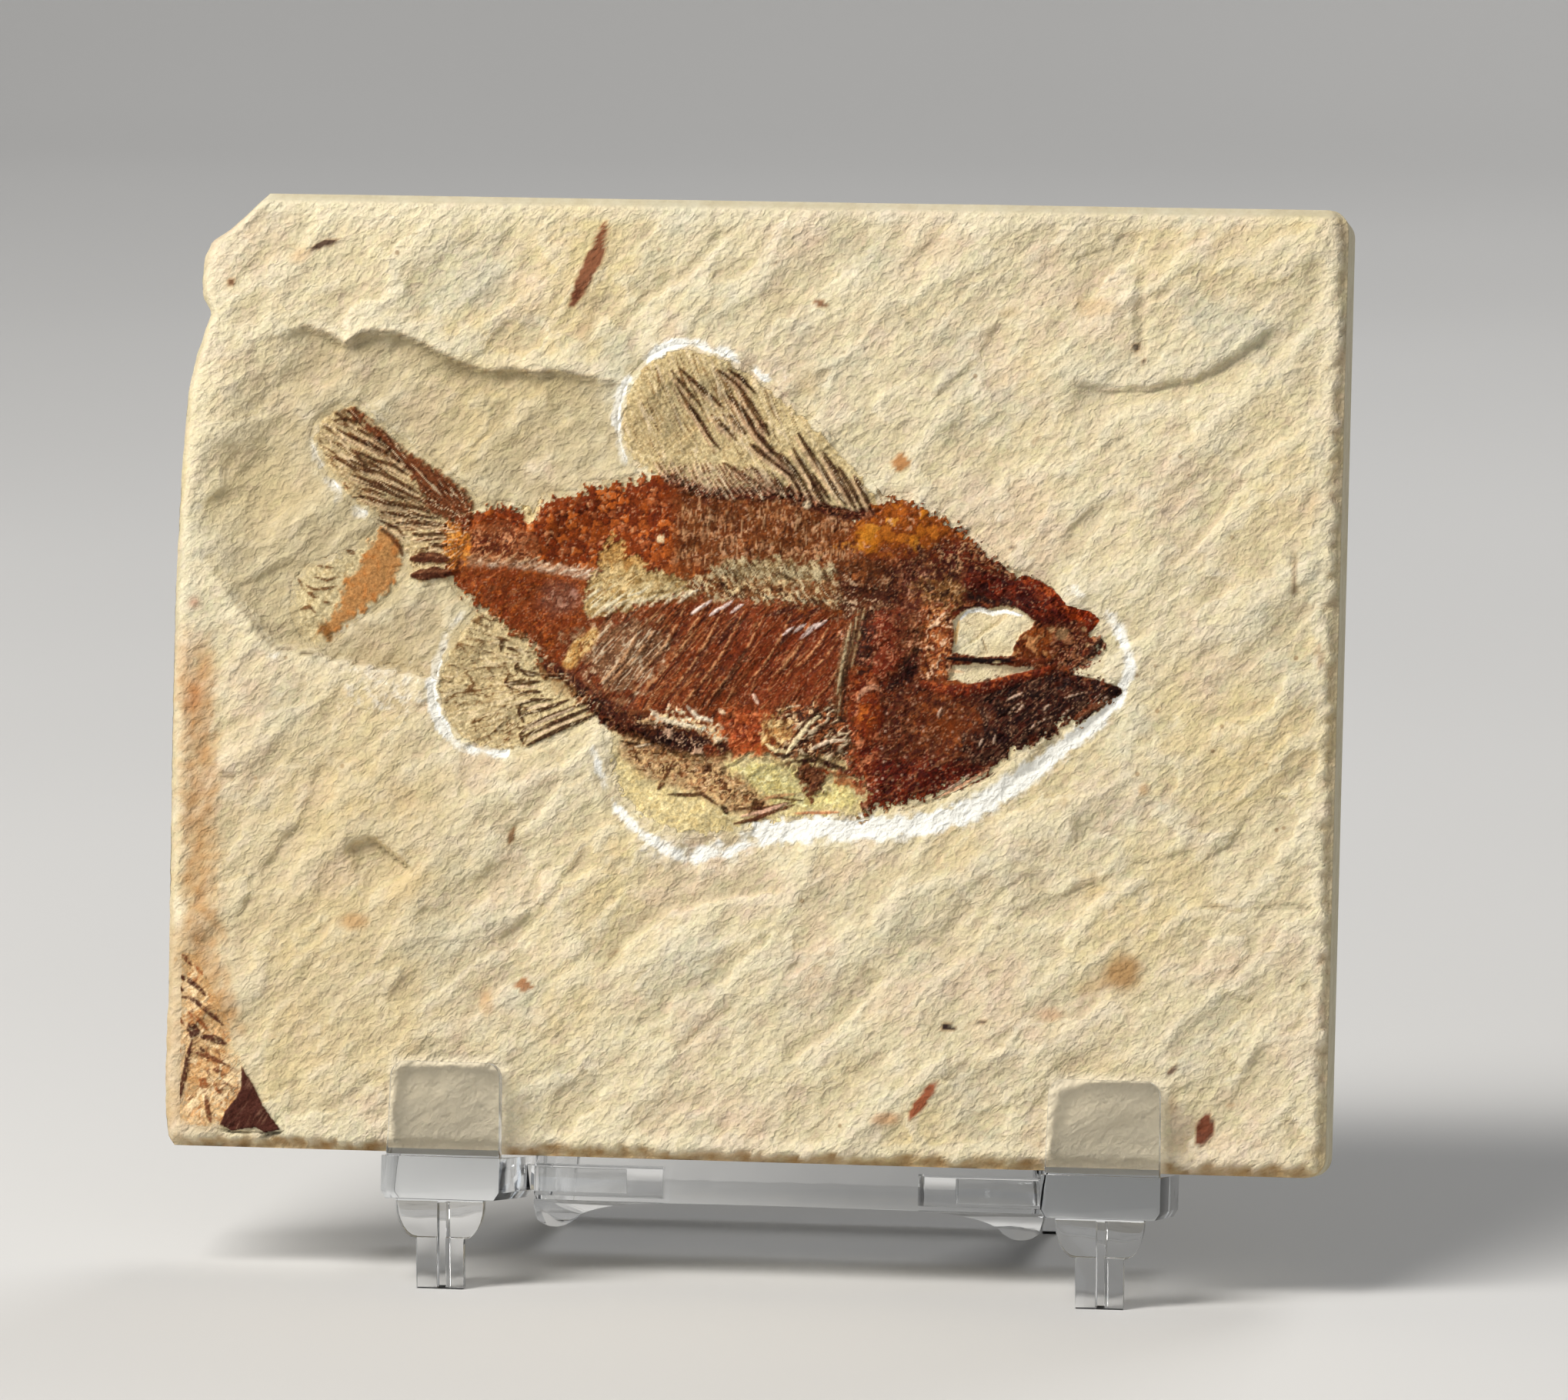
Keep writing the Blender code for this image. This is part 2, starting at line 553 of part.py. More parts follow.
def build_arm(name, side, frame, material):
    """One arm: ledge bar, front tab, leg with its web and rib, and the tongue for the channel."""
    middle = EASEL_SHIFT + side * ARM_SPACING
    half = ARM_WIDTH / 2
    low = -GAP - ARM_HEIGHT
    chamfer = 0.45 * MM
    bar_outline = [
        (middle - half + chamfer, low), (middle + half - chamfer, low), (middle + half, low + chamfer * 1.6),
        (middle + half, -GAP), (middle - half, -GAP), (middle - half, low + chamfer * 1.6),
    ]
    arm = prism(name, bar_outline, "Y", ARM_FRONT, ARM_BACK, frame, material)
    top_half, r = TAB_WIDTH / 2, TAB_RADIUS
    tab_outline = (
        [(middle - half + 0.2 * MM, -GAP - 1.5 * MM), (middle + half - 0.2 * MM, -GAP - 1.5 * MM)]
        + arc((middle + top_half - r, TAB_TOP - r), r, 0, 90, 5)
        + arc((middle - top_half + r, TAB_TOP - r), r, 90, 180, 5)
    )
    boolean(arm, prism(f"{name}_tab", tab_outline, "Y", -GAP - TAB_THICKNESS, -GAP, frame), "UNION")
    inner = middle - side * (half - 1.0 * MM)
    tip = EASEL_SHIFT + side * TONGUE_END
    sides = (min(inner, tip), max(inner, tip))
    tongue = box(f"{name}_tongue", sides, (rest_back() + 2 * GAP, channel_back() - 0.7 * MM - GAP),
                 (low + 0.5 * MM + GAP, CHANNEL_TOP - 1.1 * MM - GAP), frame)
    boolean(arm, tongue, "UNION")
    front = LEG_FRONT + FOOTPRINT_SHIFT
    leg = prism(f"{name}_leg", web_outline(middle), "Y", front, front + PEG_PLATE)
    boolean(arm, leg, "UNION")
    web = [(a, b) for a, b in web_outline(middle) if b > WEB_FOOT - 0.1 * MM]
    boolean(arm, prism(f"{name}_web", web, "Y", front + 0.1 * MM, front + WEB_THICKNESS), "UNION")
    rib = PEG_RIB_WIDTH / 2
    boolean(arm, box(f"{name}_rib", (middle - rib, middle + rib), (front + 0.2 * MM, front + PEG_RIB_DEPTH),
                     (0.0, WEB_TOP - 0.2 * MM)), "UNION")
    return arm


def rest_back():
    """Depth of the back rest's rear face."""
    return SLAB_THICKNESS + GAP + REST_THICKNESS


def channel_back():
    """Depth of the channel's rear face."""
    return rest_back() + CHANNEL_DEPTH


def lug_outline():
    """The lower edge of the back rest: a half-round lug near each end, and a thin web that fades
    away from it towards the middle."""
    low = -GAP - ARM_HEIGHT
    reach = math.sqrt(LUG_RADIUS**2 - WEB_DROP**2)
    start = LUG_SPACING - reach
    tail = [(x, low - WEB_DROP * math.exp(-(start - x) / WEB_FADE)) for x in
            (0.0, start - 9.0 * MM, start - 5.5 * MM, start - 3.4 * MM, start - 2.0 * MM, start - 0.9 * MM)]
    turn = math.degrees(math.asin(WEB_DROP / LUG_RADIUS))
    lug = arc((LUG_SPACING, low), LUG_RADIUS, 180 + turn, 360, 9)
    right = [point for point in tail + lug if point[0] < FRAME_WIDTH / 2] + [(FRAME_WIDTH / 2, low - 0.6 * MM)]
    top = low + 0.4 * MM
    left = [(-a, b) for a, b in reversed(right[1:])]
    points = left + right + [(FRAME_WIDTH / 2, top), (-FRAME_WIDTH / 2, top)]
    return [(EASEL_SHIFT + a, b) for a, b in points]


def build_back_frame(frame, material):
    """The back: rest plate, channel with a socket at each end, gussets, arched sill and two feet."""
    half = FRAME_WIDTH / 2
    low = -GAP - ARM_HEIGHT
    x0, x1 = EASEL_SHIFT - half, EASEL_SHIFT + half
    r = REST_RADIUS
    outline = (
        [(x0, low), (x1, low)]
        + arc((x1 - r, REST_TOP - r), r, 0, 90, 8)
        + arc((x0 + r, REST_TOP - r), r, 90, 180, 8)
    )
    rest = prism("back_frame", outline, "Y", SLAB_THICKNESS + GAP, rest_back(), frame, material)
    overlap = 0.2 * MM
    boolean(rest, box("channel", (x0 + 0.05 * MM, x1 - 0.05 * MM), (rest_back() - overlap, channel_back()),
                      (low + 0.05 * MM, CHANNEL_TOP), frame), "UNION")
    front = SLAB_THICKNESS + GAP + 0.1 * MM
    boolean(rest, prism("lugs", lug_outline(), "Y", front, front + LUG_THICKNESS, frame), "UNION")
    gusset = [
        (rest_back() - overlap, low + 0.1 * MM), (GUSSET_BACK, low + 0.1 * MM), (GUSSET_BACK, SILL_TOP),
        (rest_back() + 1.2 * MM, GUSSET_TOP), (rest_back() - overlap, GUSSET_TOP + 1 * MM),
    ]
    foot_back = rear_foot_back()
    for number, (near, far) in enumerate([(x0 + 0.1 * MM, x0 + GUSSET_THICKNESS),
                                          (x1 - GUSSET_THICKNESS, x1 - 0.1 * MM)]):
        boolean(rest, prism(f"gusset_{number}", gusset, "X", near, far, frame), "UNION")
        foot = box(f"rear_foot_{number}", (near + 0.05 * MM, far - 0.05 * MM),
                   (foot_back - REAR_FOOT_LENGTH, foot_back), (0.0, REAR_FOOT_HEIGHT))
        boolean(rest, foot, "UNION")
    inner = half - GUSSET_THICKNESS / 2
    boolean(rest, box("sill", (EASEL_SHIFT - inner, EASEL_SHIFT + inner),
                      (GUSSET_BACK - 0.1 * MM - SILL_THICKNESS, GUSSET_BACK - 0.1 * MM),
                      (low + 0.2 * MM, SILL_TOP - 0.1 * MM), frame), "UNION")
    for number, side in enumerate((-1, 1)):
        end, mouth = EASEL_SHIFT + side * SOCKET_END, EASEL_SHIFT + side * (half + 2 * MM)
        socket = box(f"socket_{number}", (min(end, mouth), max(end, mouth)),
                     (rest_back() + GAP, channel_back() - 0.7 * MM),
                     (low + 0.5 * MM, CHANNEL_TOP - 1.1 * MM), frame)
        boolean(rest, socket, "DIFFERENCE")
    return rest


def rear_foot_back():
    """World Y of the rear feet's back faces, just inside the gussets' lower back corners."""
    depth, drop = GUSSET_BACK - 0.3 * MM, GAP + ARM_HEIGHT
    return FOOTPRINT_SHIFT + depth * math.cos(LEAN) - drop * math.sin(LEAN)


def shade(obj):
    """Smooth shading with sharp edges kept."""
    obj.data.shade_smooth()
    obj.data.set_sharp_from_angle(angle=math.radians(35))


def main():
    """Build every piece in its place."""
    clear_scene()
    frame = bpy.data.objects.new("slab_frame", None)
    bpy.context.scene.collection.objects.link(frame)
    frame.location = Vector((0, FOOTPRINT_SHIFT, SLAB_EDGE_HEIGHT))
    frame.rotation_euler = (-LEAN, 0, 0)
    limestone = make_material("limestone", (0.74, 0.64, 0.44), 0.9)
    bone = make_material("fossil_bone", (0.28, 0.09, 0.03), 0.6)
    dark_bone = make_material("dark_scale", (0.09, 0.03, 0.025), 0.5)
    clear = make_material("clear_plastic", (0.86, 0.88, 0.9), 0.08, alpha=0.4, transmission=1.0)
    pieces = [
        build_slab(frame, limestone),
        build_fish(frame, bone),
        build_fragment(frame, dark_bone),
        build_arm("left_arm", -1, frame, clear),
        build_arm("right_arm", 1, frame, clear),
        build_back_frame(frame, clear),
    ]
    for piece in pieces:
        shade(piece)


main()
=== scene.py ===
"""Looks for the fossil fish slab: split limestone, a rust-brown fish and a clear moulded easel.

Everything on the stone is worked out as functions of two coordinates in millimetres, x across the
slab and s up its face, and then leaned back into the object's own frame, in metres.
"""

import logging
import math
from dataclasses import dataclass, field
from enum import Enum

import bmesh
import bpy
import numpy as np
from mathutils import Matrix, Vector


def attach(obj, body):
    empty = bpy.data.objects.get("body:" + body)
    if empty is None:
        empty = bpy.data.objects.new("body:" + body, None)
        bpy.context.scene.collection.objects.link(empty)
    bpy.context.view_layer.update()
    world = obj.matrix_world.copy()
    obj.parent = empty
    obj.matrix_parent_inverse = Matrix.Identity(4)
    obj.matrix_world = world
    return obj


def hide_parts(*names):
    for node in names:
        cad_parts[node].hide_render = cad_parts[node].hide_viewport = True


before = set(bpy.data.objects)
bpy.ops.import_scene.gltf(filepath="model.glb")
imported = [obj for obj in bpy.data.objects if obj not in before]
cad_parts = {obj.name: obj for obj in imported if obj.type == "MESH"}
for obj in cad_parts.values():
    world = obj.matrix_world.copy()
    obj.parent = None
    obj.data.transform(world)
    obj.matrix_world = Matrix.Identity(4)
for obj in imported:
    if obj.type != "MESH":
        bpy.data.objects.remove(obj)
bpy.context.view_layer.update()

LOG = logging.getLogger("fossil_slab")
Array = np.ndarray
Line = str | Array
Socket = bpy.types.NodeSocket
FAINT = 0.003  # masks weaker than this are left out


class Side(Enum):
    """Which end of the easel a piece is on."""

    LEFT = -1
    RIGHT = 1


class Rim(Enum):
    """The four edges of the slab's face."""

    TOP = "top"
    BOTTOM = "bottom"
    LEFT = "left"
    RIGHT = "right"


# ---------------------------------------------------------------- fields on the slab's plane


def srgb(code: str) -> Array:
    """A screen colour of six hexadecimal digits, in linear light."""
    share = np.array(list(bytes.fromhex(code)), float) / 255
    return np.where(share <= 0.04045, share / 12.92, ((share + 0.055) / 1.055) ** 2.4)


def points_of(line: Line) -> Array:
    """A line's points, two to a row, from an array or from a text of numbers: across and up in turn."""
    return np.array(line.split() if isinstance(line, str) else line, float).reshape(-1, 2)


def window(x: Array, s: Array, line: Line, margin: float) -> Array:
    """Which points lie in a line's box, widened by a margin."""
    (left, low), (right, high) = points_of(line).min(0) - margin, points_of(line).max(0) + margin
    return (x > left) & (x < right) & (s > low) & (s < high)


def moved(line: Line, right: float, up: float) -> Array:
    """A line set a little to one side."""
    return points_of(line) + (right, up)


def ease(value: Array, low: float, high: float) -> Array:
    """Ramp from 0 at low to 1 at high along the cubic 3t^2 - 2t^3; with low above high it falls."""
    t = np.clip((value - low) / (high - low), 0, 1)
    return t * t * (3 - 2 * t)


def away(x: Array, s: Array, cx: float, cs: float, rx: float = 1.0, rs: float = 1.0) -> Array:
    """Distance from an oval's centre, in its own half width and half height."""
    return np.hypot((x - cx) / rx, (s - cs) / rs)


def dome(x: Array, s: Array, cx: float, cs: float, rx: float, rs: float) -> Array:
    """A soft oval bump: e to the minus squared distance from its centre, in its own radii."""
    return np.exp(-(((x - cx) / rx) ** 2 + ((s - cs) / rs) ** 2))


def lattice(column: Array, row: Array, seed: int) -> Array:
    """Give each whole-number cell a fixed number from 0 to 1, by mixing the bits of its address.

    Args:
        column: Whole numbers across.
        row: Whole numbers up.
        seed: Which table of numbers to use.

    Returns:
        Numbers from 0 to 1.
    """
    key = (column.astype(np.int64) * 374761393 + row.astype(np.int64) * 668265263 + seed * 362437) & 0xFFFFFFFF
    key = ((key ^ (key >> 13)) * 1274126177) & 0xFFFFFFFF
    return ((key ^ (key >> 16)) & 0xFFFFFFFF) / 4294967296.0


def ripple(x: Array, s: Array, size: float, seed: int, octaves: int = 1) -> Array:
    """Gradient noise: each lattice corner has a slope in a fixed direction, and the four are eased together.

    Args:
        x: Across.
        s: Up.
        size: Distance between lattice corners.
        seed: Which noise.
        octaves: How many layers, each half the size and half the strength of the last.

    Returns:
        Numbers around 0, mostly from -1 to 1.
    """
    total = np.zeros(np.broadcast(x, s).shape)
    strength, norm = 1.0, 0.0
    for octave in range(octaves):
        px, ps = x / size * 2**octave + 13.7 * octave, s / size * 2**octave + 7.9 * octave
        ix, iy = np.floor(px), np.floor(ps)
        fx, fy = px - ix, ps - iy
        ux, uy = fx**3 * (fx * (6 * fx - 15) + 10), fy**3 * (fy * (6 * fy - 15) + 10)
        corners = []
        for dx, dy in ((0, 0), (1, 0), (0, 1), (1, 1)):
            turn = lattice(ix + dx, iy + dy, seed + 31 * octave) * 2 * math.pi
            corners.append(np.cos(turn) * (fx - dx) + np.sin(turn) * (fy - dy))
        low = corners[0] + (corners[1] - corners[0]) * ux
        high = corners[2] + (corners[3] - corners[2]) * ux
        total += strength * (low + (high - low) * uy) * 1.5
        norm += strength
        strength /= 2
    return total / norm


def turned(x: Array, s: Array, degrees: float) -> tuple[Array, Array]:
    """Coordinates along and across a direction, given in degrees anticlockwise from the right."""
    c, d = math.cos(math.radians(degrees)), math.sin(math.radians(degrees))
    return x * c + s * d, s * c - x * d


def fibres(x: Array, s: Array, degrees: float, length: float, width: float, seed: int) -> Array:
    """Noise drawn out along one direction, as in fibrous bone, around 0."""
    along, across = turned(x, s, degrees)
    return ripple(along * width / length, across, width, seed, 2)


def flakes(x: Array, s: Array, degrees: float, long: float, short: float, seed: int) -> Array:
    """Flake scars: the lowest of a set of tilted bowls, one in each jittered cell, so crisp ridges part them.

    Args:
        x: Across.
        s: Up.
        degrees: The direction in which the scars are drawn out.
        long: A scar's length.
        short: Its width.
        seed: Which scars.

    Returns:
        Heights, roughly from 0 to 1.
    """
    along, across = turned(x, s, degrees)
    a, b = along / long, across / short
    ia, ib = np.floor(a), np.floor(b)
    best = np.full(a.shape, 9.0)
    for da in (-1, 0, 1):
        for db in (-1, 0, 1):
            ca, cb = ia + da, ib + db
            ga = a - ca - 0.5 - 0.85 * (lattice(ca, cb, seed) - 0.5)
            gb = b - cb - 0.5 - 0.85 * (lattice(ca, cb, seed + 1) - 0.5)
            tilt = 1.1 * (lattice(ca, cb, seed + 2) - 0.5) * ga + 1.5 * (lattice(ca, cb, seed + 3) - 0.5) * gb
            best = np.minimum(best, 0.5 * lattice(ca, cb, seed + 4) + tilt + 0.8 * (ga * ga + gb * gb))
    return best


def cells(x: Array, s: Array, degrees: float, long: float, short: float, seed: int,
          loose: float = 0.85, stagger: float = 0.0) -> tuple[Array, ...]:
    """Jittered cells: each point belongs to the nearest of the centres, one in each box of a turned lattice.

    Args:
        x: Across.
        s: Up.
        degrees: The lattice's direction.
        long: A box's length.
        short: Its width.
        seed: Which centres.
        loose: How far a centre may wander in its box.
        stagger: How far every other column is shifted, in boxes.

    Returns:
        Distance to the nearest centre, how much farther the next one is, two fixed numbers of the cell, and the
        place in the cell along and across, all in boxes.
    """
    along, across = turned(x, s, degrees)
    a, b = along / long, across / short
    ia, ib = np.floor(a), np.floor(b)
    first, second = np.full(a.shape, 9.0), np.full(a.shape, 9.0)
    pick, tone, la, lb = (np.zeros(a.shape) for _ in range(4))
    for da in (-1, 0, 1):
        for db in (-1, 0, 1):
            ca, cb = ia + da, ib + db
            one = lattice(ca, cb, seed)
            ga = a - ca - 0.5 - loose * (one - 0.5)
            gb = b - cb - 0.5 - loose * (lattice(ca, cb, seed + 1) - 0.5) - stagger * (ca % 2)
            gap = np.sqrt(ga * ga + gb * gb)
            near = gap < first
            second = np.where(near, first, np.minimum(second, gap))
            first = np.where(near, gap, first)
            pick = np.where(near, lattice(ca, cb, seed + 2), pick)
            tone = np.where(near, lattice(ca, cb, seed + 3), tone)
            la, lb = np.where(near, ga, la), np.where(near, gb, lb)
    return first, second - first, pick, tone, la, lb


def plates(x: Array, s: Array, degrees: float, long: float, short: float, seed: int) -> Array:
    """Broken plates: cells that tilt, each at its own level, so small cliffs part them; from about -0.5 to 0.5."""
    _, _, level, lean, la, lb = cells(x, s, degrees, long, short, seed)
    return 0.75 * (level - 0.5) + 0.7 * (lean - 0.35) * lb + 0.35 * (level - lean) * la


def reach(x: Array, s: Array, line: Line, closed: bool = False) -> tuple[Array, Array, Array]:
    """Nearest distance to a row of straight pieces.

    Args:
        x: Across.
        s: Up.
        line: The row's points.
        closed: Whether the last point joins the first.

    Returns:
        The distance, the share of the row's length at the nearest point, and the side, 1 on the right of the row.
    """
    points = points_of(line)
    if closed:
        points = np.vstack([points, points[:1]])
    lengths = np.hypot(*np.diff(points, axis=0).T)
    starts = np.concatenate([[0], np.cumsum(lengths)])
    best, share, side = np.full(x.shape, 1e9), np.zeros(x.shape), np.zeros(x.shape)
    for (ax, ay), (bx, by), length, start in zip(points[:-1], points[1:], lengths, starts):
        dx, dy = bx - ax, by - ay
        t = np.clip(((x - ax) * dx + (s - ay) * dy) / (length * length), 0, 1)
        gap = np.hypot(x - ax - t * dx, s - ay - t * dy)
        near = gap < best
        best = np.where(near, gap, best)
        share = np.where(near, (start + t * length) / starts[-1], share)
        side = np.where(near, np.sign((x - ax) * dy - (s - ay) * dx), side)
    return best, share, side


def depth_inside(x: Array, s: Array, outline: Line) -> Array:
    """Distance to a closed outline, positive inside it by the even-odd rule.

    Args:
        x: Across.
        s: Up.
        outline: The outline's corners.

    Returns:
        Signed distances.
    """
    points = points_of(outline)
    margin = 3.0
    near = window(x, s, points, margin)
    out = np.full(x.shape, -margin)
    px, ps = x[near], s[near]
    gap = reach(px, ps, outline, True)[0]
    inside = np.zeros(px.shape, bool)
    for (ax, ay), (bx, by) in zip(points, np.roll(points, -1, 0)):
        if ay != by:
            inside ^= ((ay > ps) != (by > ps)) & (px < (bx - ax) * (ps - ay) / (by - ay) + ax)
    out[near] = np.where(inside, gap, -gap)
    return out


def smooth_line(points: Line, steps: int = 4) -> Line:
    """A Catmull-Rom curve through a row of points.

    Args:
        points: The row.
        steps: Pieces between two neighbours.

    Returns:
        The finer row.
    """
    knots = points_of(points)
    padded = np.vstack([2 * knots[0] - knots[1], knots, 2 * knots[-1] - knots[-2]])
    a, b, c, d = padded[:-3, None], padded[1:-2, None], padded[2:-1, None], padded[3:, None]
    t = (np.arange(steps) / steps)[None, :, None]
    curve = 0.5 * (2 * b + (c - a) * t + (2 * a - 5 * b + 4 * c - d) * t**2 + (3 * b - a - 3 * c + d) * t**3)
    return np.vstack([curve.reshape(-1, 2), knots[-1:]])


# ---------------------------------------------------------------- mesh helpers


@dataclass(frozen=True)
class SlabFrame:
    """The slab's leaning frame. Lengths are in millimetres."""

    lean: float = math.radians(12)
    edge_height: float = 12.2
    front: float = -12.765

    def world(self, x: Array, s: Array, depth: Array) -> Array:
        """Lean points of the slab back into the object's frame.

        Args:
            x: Across.
            s: Up the face.
            depth: Back into the stone from the face's plane.

        Returns:
            Points in metres, in the last axis.
        """
        c, d = math.cos(self.lean), math.sin(self.lean)
        y = self.front + s * d + depth * c
        z = self.edge_height + s * c - depth * d
        return np.stack(np.broadcast_arrays(x, y, z), axis=-1) * 0.001


def make_piece(name: str, mesh: bpy.types.Mesh, material: bpy.types.Material, slot: str,
               *nodes: str) -> bpy.types.Object:
    """Link a mesh as a piece of the object.

    Args:
        name: The piece's name.
        mesh: Its mesh, already in place.
        material: Its finish.
        slot: A material slot's name; not used.
        nodes: The CAD nodes that it stands for.

    Returns:
        The new object.
    """
    piece = bpy.data.objects.new(name, mesh)
    bpy.context.scene.collection.objects.link(piece)
    mesh.materials.clear()
    mesh.materials.append(material)
    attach(piece, "root")
    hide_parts(*nodes)
    LOG.info("%s: %d faces", name, len(mesh.polygons))
    return piece


def add_field(mesh: bpy.types.Mesh, name: str, values: Array) -> None:
    """Store a number or a colour at each vertex.

    Args:
        mesh: The mesh.
        name: The attribute's name.
        values: One number, or four colour shares, for each vertex.
    """
    if values.ndim == 1:
        mesh.attributes.new(name, "FLOAT", "POINT").data.foreach_set("value", values.astype(np.float32))
    else:
        mesh.attributes.new(name, "FLOAT_COLOR", "POINT").data.foreach_set("color", values.astype(np.float32).ravel())


def mesh_of(name: str, points: Array, faces: list[list[int]]) -> bpy.types.Mesh:
    """A smooth-shaded mesh from points in metres and faces of any number of corners."""
    mesh = bpy.data.meshes.new(name)
    mesh.from_pydata(points.tolist(), [], faces)
    mesh.shade_smooth()
    return mesh


def grid_quads(number: Array) -> Array:
    """The four corners of each cell of a grid of point numbers, in anticlockwise order."""
    return np.stack([number[:-1, :-1], number[:-1, 1:], number[1:, 1:], number[1:, :-1]], axis=-1).reshape(-1, 4)


def close_mesh(mesh: bpy.types.Mesh) -> None:
    """Cap a mesh's open rims, each cap wound against the faces beside it."""
    bm = bmesh.new()
    bm.from_mesh(mesh)
    rims = [edge for edge in bm.edges if edge.is_boundary]
    for cap in bmesh.ops.holes_fill(bm, edges=rims, sides=0)["faces"]:
        if cap.loops[0].link_loop_radial_next.vert == cap.loops[0].vert:
            cap.normal_flip()
    bm.to_mesh(mesh)
    bm.free()


def joined(first: Array, second: Array) -> tuple[Array, Array]:
    """Remove cells of two masks that touch only at a corner.

    Args:
        first: One mask of cells.
        second: Another one, apart from the first.

    Returns:
        The two masks, each grown by the cells that close such corners; the first takes from the second.
    """
    first, second = first.copy(), second.copy()
    for _ in range(6):
        for mask, other in ((first, second), (second, None)):
            a, b, c, d = mask[:-1, :-1], mask[:-1, 1:], mask[1:, :-1], mask[1:, 1:]
            rising, falling = b & c & ~a & ~d, a & d & ~b & ~c
            free = ~first if other is None else np.ones_like(first)
            mask[:-1, :-1] |= rising & free[:-1, :-1]
            mask[1:, 1:] |= rising & free[1:, 1:]
            mask[:-1, 1:] |= falling & free[:-1, 1:]
            mask[1:, :-1] |= falling & free[1:, :-1]
            if other is not None:
                other &= ~mask
    return first, second


def patch_mesh(name: str, top: Array, under: Array, keep: Array, fields: dict[str, Array],
               shown: Array) -> bpy.types.Mesh:
    """A closed sheet: the kept cells of a grid on top, straight skirts round them, and a flat underside.

    A skirt hangs from every cell edge that only one kept cell uses. The top's normals are the cross products of the
    shown surface's two slopes, so neighbouring sheets shade as one.

    Args:
        name: The mesh's name.
        top: Grid of points on the visible surface.
        under: The same grid on the hidden underside.
        keep: Which cells are in the sheet.
        fields: Vertex values on the same grid.
        shown: The grid of points whose slopes give the normals.

    Returns:
        The mesh, with its fields.
    """
    rows, columns = keep.shape
    number = np.arange((rows + 1) * (columns + 1)).reshape(rows + 1, columns + 1)
    i, j = np.nonzero(keep)
    quads = np.stack([number[i, j], number[i, j + 1], number[i + 1, j + 1], number[i + 1, j]], axis=1)
    padded = np.pad(keep, 1)
    rims = []
    for (di, dj), (p, q) in {(-1, 0): (0, 1), (0, 1): (1, 2), (1, 0): (2, 3), (0, -1): (3, 0)}.items():
        open_side = keep & ~padded[1 + di:1 + di + rows, 1 + dj:1 + dj + columns]
        chosen = open_side[i, j]
        rims.append(quads[chosen][:, [p, q]])
    rim = np.vstack(rims)
    low = number + number.size
    run, climb = np.gradient(shown, axis=1), np.gradient(shown, axis=0)
    facing = np.cross(run, climb).reshape(-1, 3)
    facing /= np.linalg.norm(facing, axis=1, keepdims=True)
    skirts = np.stack([rim[:, 1], rim[:, 0], low.ravel()[rim[:, 0]], low.ravel()[rim[:, 1]]], axis=1)
    faces = np.vstack([quads, skirts])
    used = np.unique(faces)
    compact = np.zeros(2 * number.size, int)
    compact[used] = np.arange(len(used))
    points = np.concatenate([top.reshape(-1, 3), under.reshape(-1, 3)])[used]
    mesh = mesh_of(name, points, compact[faces].tolist())
    for key, values in fields.items():
        flat = values.reshape(number.size, -1)
        both = np.concatenate([flat, flat])[used]
        add_field(mesh, key, both[:, 0] if both.shape[1] == 1 else both)
    close_mesh(mesh)
    mesh.normals_split_custom_set_from_vertices(np.vstack([facing, 0 * facing])[used].tolist())
    return mesh


def blurred(values: Array, cells: int) -> Array:
    """The mean of each point's neighbourhood, from two passes of a sliding sum along each axis.

    Args:
        values: A grid of numbers.
        cells: How far the window reaches on each side.

    Returns:
        The smoothed grid.
    """
    for _ in range(2):
        for axis in (0, 1):
            padded = np.pad(values, [(cells + 1, cells) if k == axis else (0, 0) for k in (0, 1)], mode="edge")
            total = np.cumsum(padded, axis=axis)
            span = 2 * cells + 1
            high = np.take(total, range(span, total.shape[axis]), axis=axis)
            low = np.take(total, range(total.shape[axis] - span), axis=axis)
            values = (high - low) / span
    return values


# ---------------------------------------------------------------- the fish's outlines

BODY: Line = (
    "-29.8 59.8 -28.5 60.2 -26.3 60.8 -25.5 61.2 -23 60.9 -22.3 60.9 -21.9 60.2 -21.4 60.1 -20.9 60.9 -20.4 62 -17 "
    "62.2 -16.5 63 -12 63.6 -11 64 -9 64.4 -7 63.7 -6 63 -2 62.8 3 63.1 5 62.1 8 61 10 60.6 11 61.8 13 62.5 14.5 "
    "62.4 17 61 19 60 20.2 59.1 22 57.5 23.2 56.4 24.3 55.6 25.3 55.4 26.2 55.2 27.3 54.5 28.3 53.4 29.2 52.3 30.4 "
    "52 31.6 51.7 32.1 51.2 31.7 50.5 31.8 50.1 32.5 49.9 32.9 49.2 32.3 48.2 31.4 47.7 30.8 46.9 29.9 46.4 31 46 "
    "32.5 45.9 33.6 45.5 34.7 45 34 44.3 33.1 43.7 32.3 42.9 31.2 42 30 42.3 29 41.6 28.6 40.8 27.2 40.1 25.8 39.4 "
    "24.3 38.9 23.4 38 22.4 37 21 36.6 19.3 35.8 17.6 34.9 16 34.4 14.2 33.9 12.4 33.6 10.4 32.5 10.9 33.6 11.6 34.4 "
    "11 35.6 9.7 36.4 8.6 36.7 7.2 36.2 6.8 34.6 6 34.9 5.2 36.6 3.5 37.1 1.6 38 0 38.1 -1.5 37.4 -2.8 36.2 -4 37.1 "
    "-7.4 38.1 -9 39 -11 39.7 -13.5 40.8 -14.6 41.7 -15.5 42.6 -17 43.7 -18.4 45.1 -19.8 45.2 -20.5 46.5 -20.8 47.8 "
    "-21.8 48.9 -23 49.1 -24 50 -25 51.2 -26.5 51.9 -27.9 52.8 -28.7 54.1 -29.6 55 -30 57.2"
)
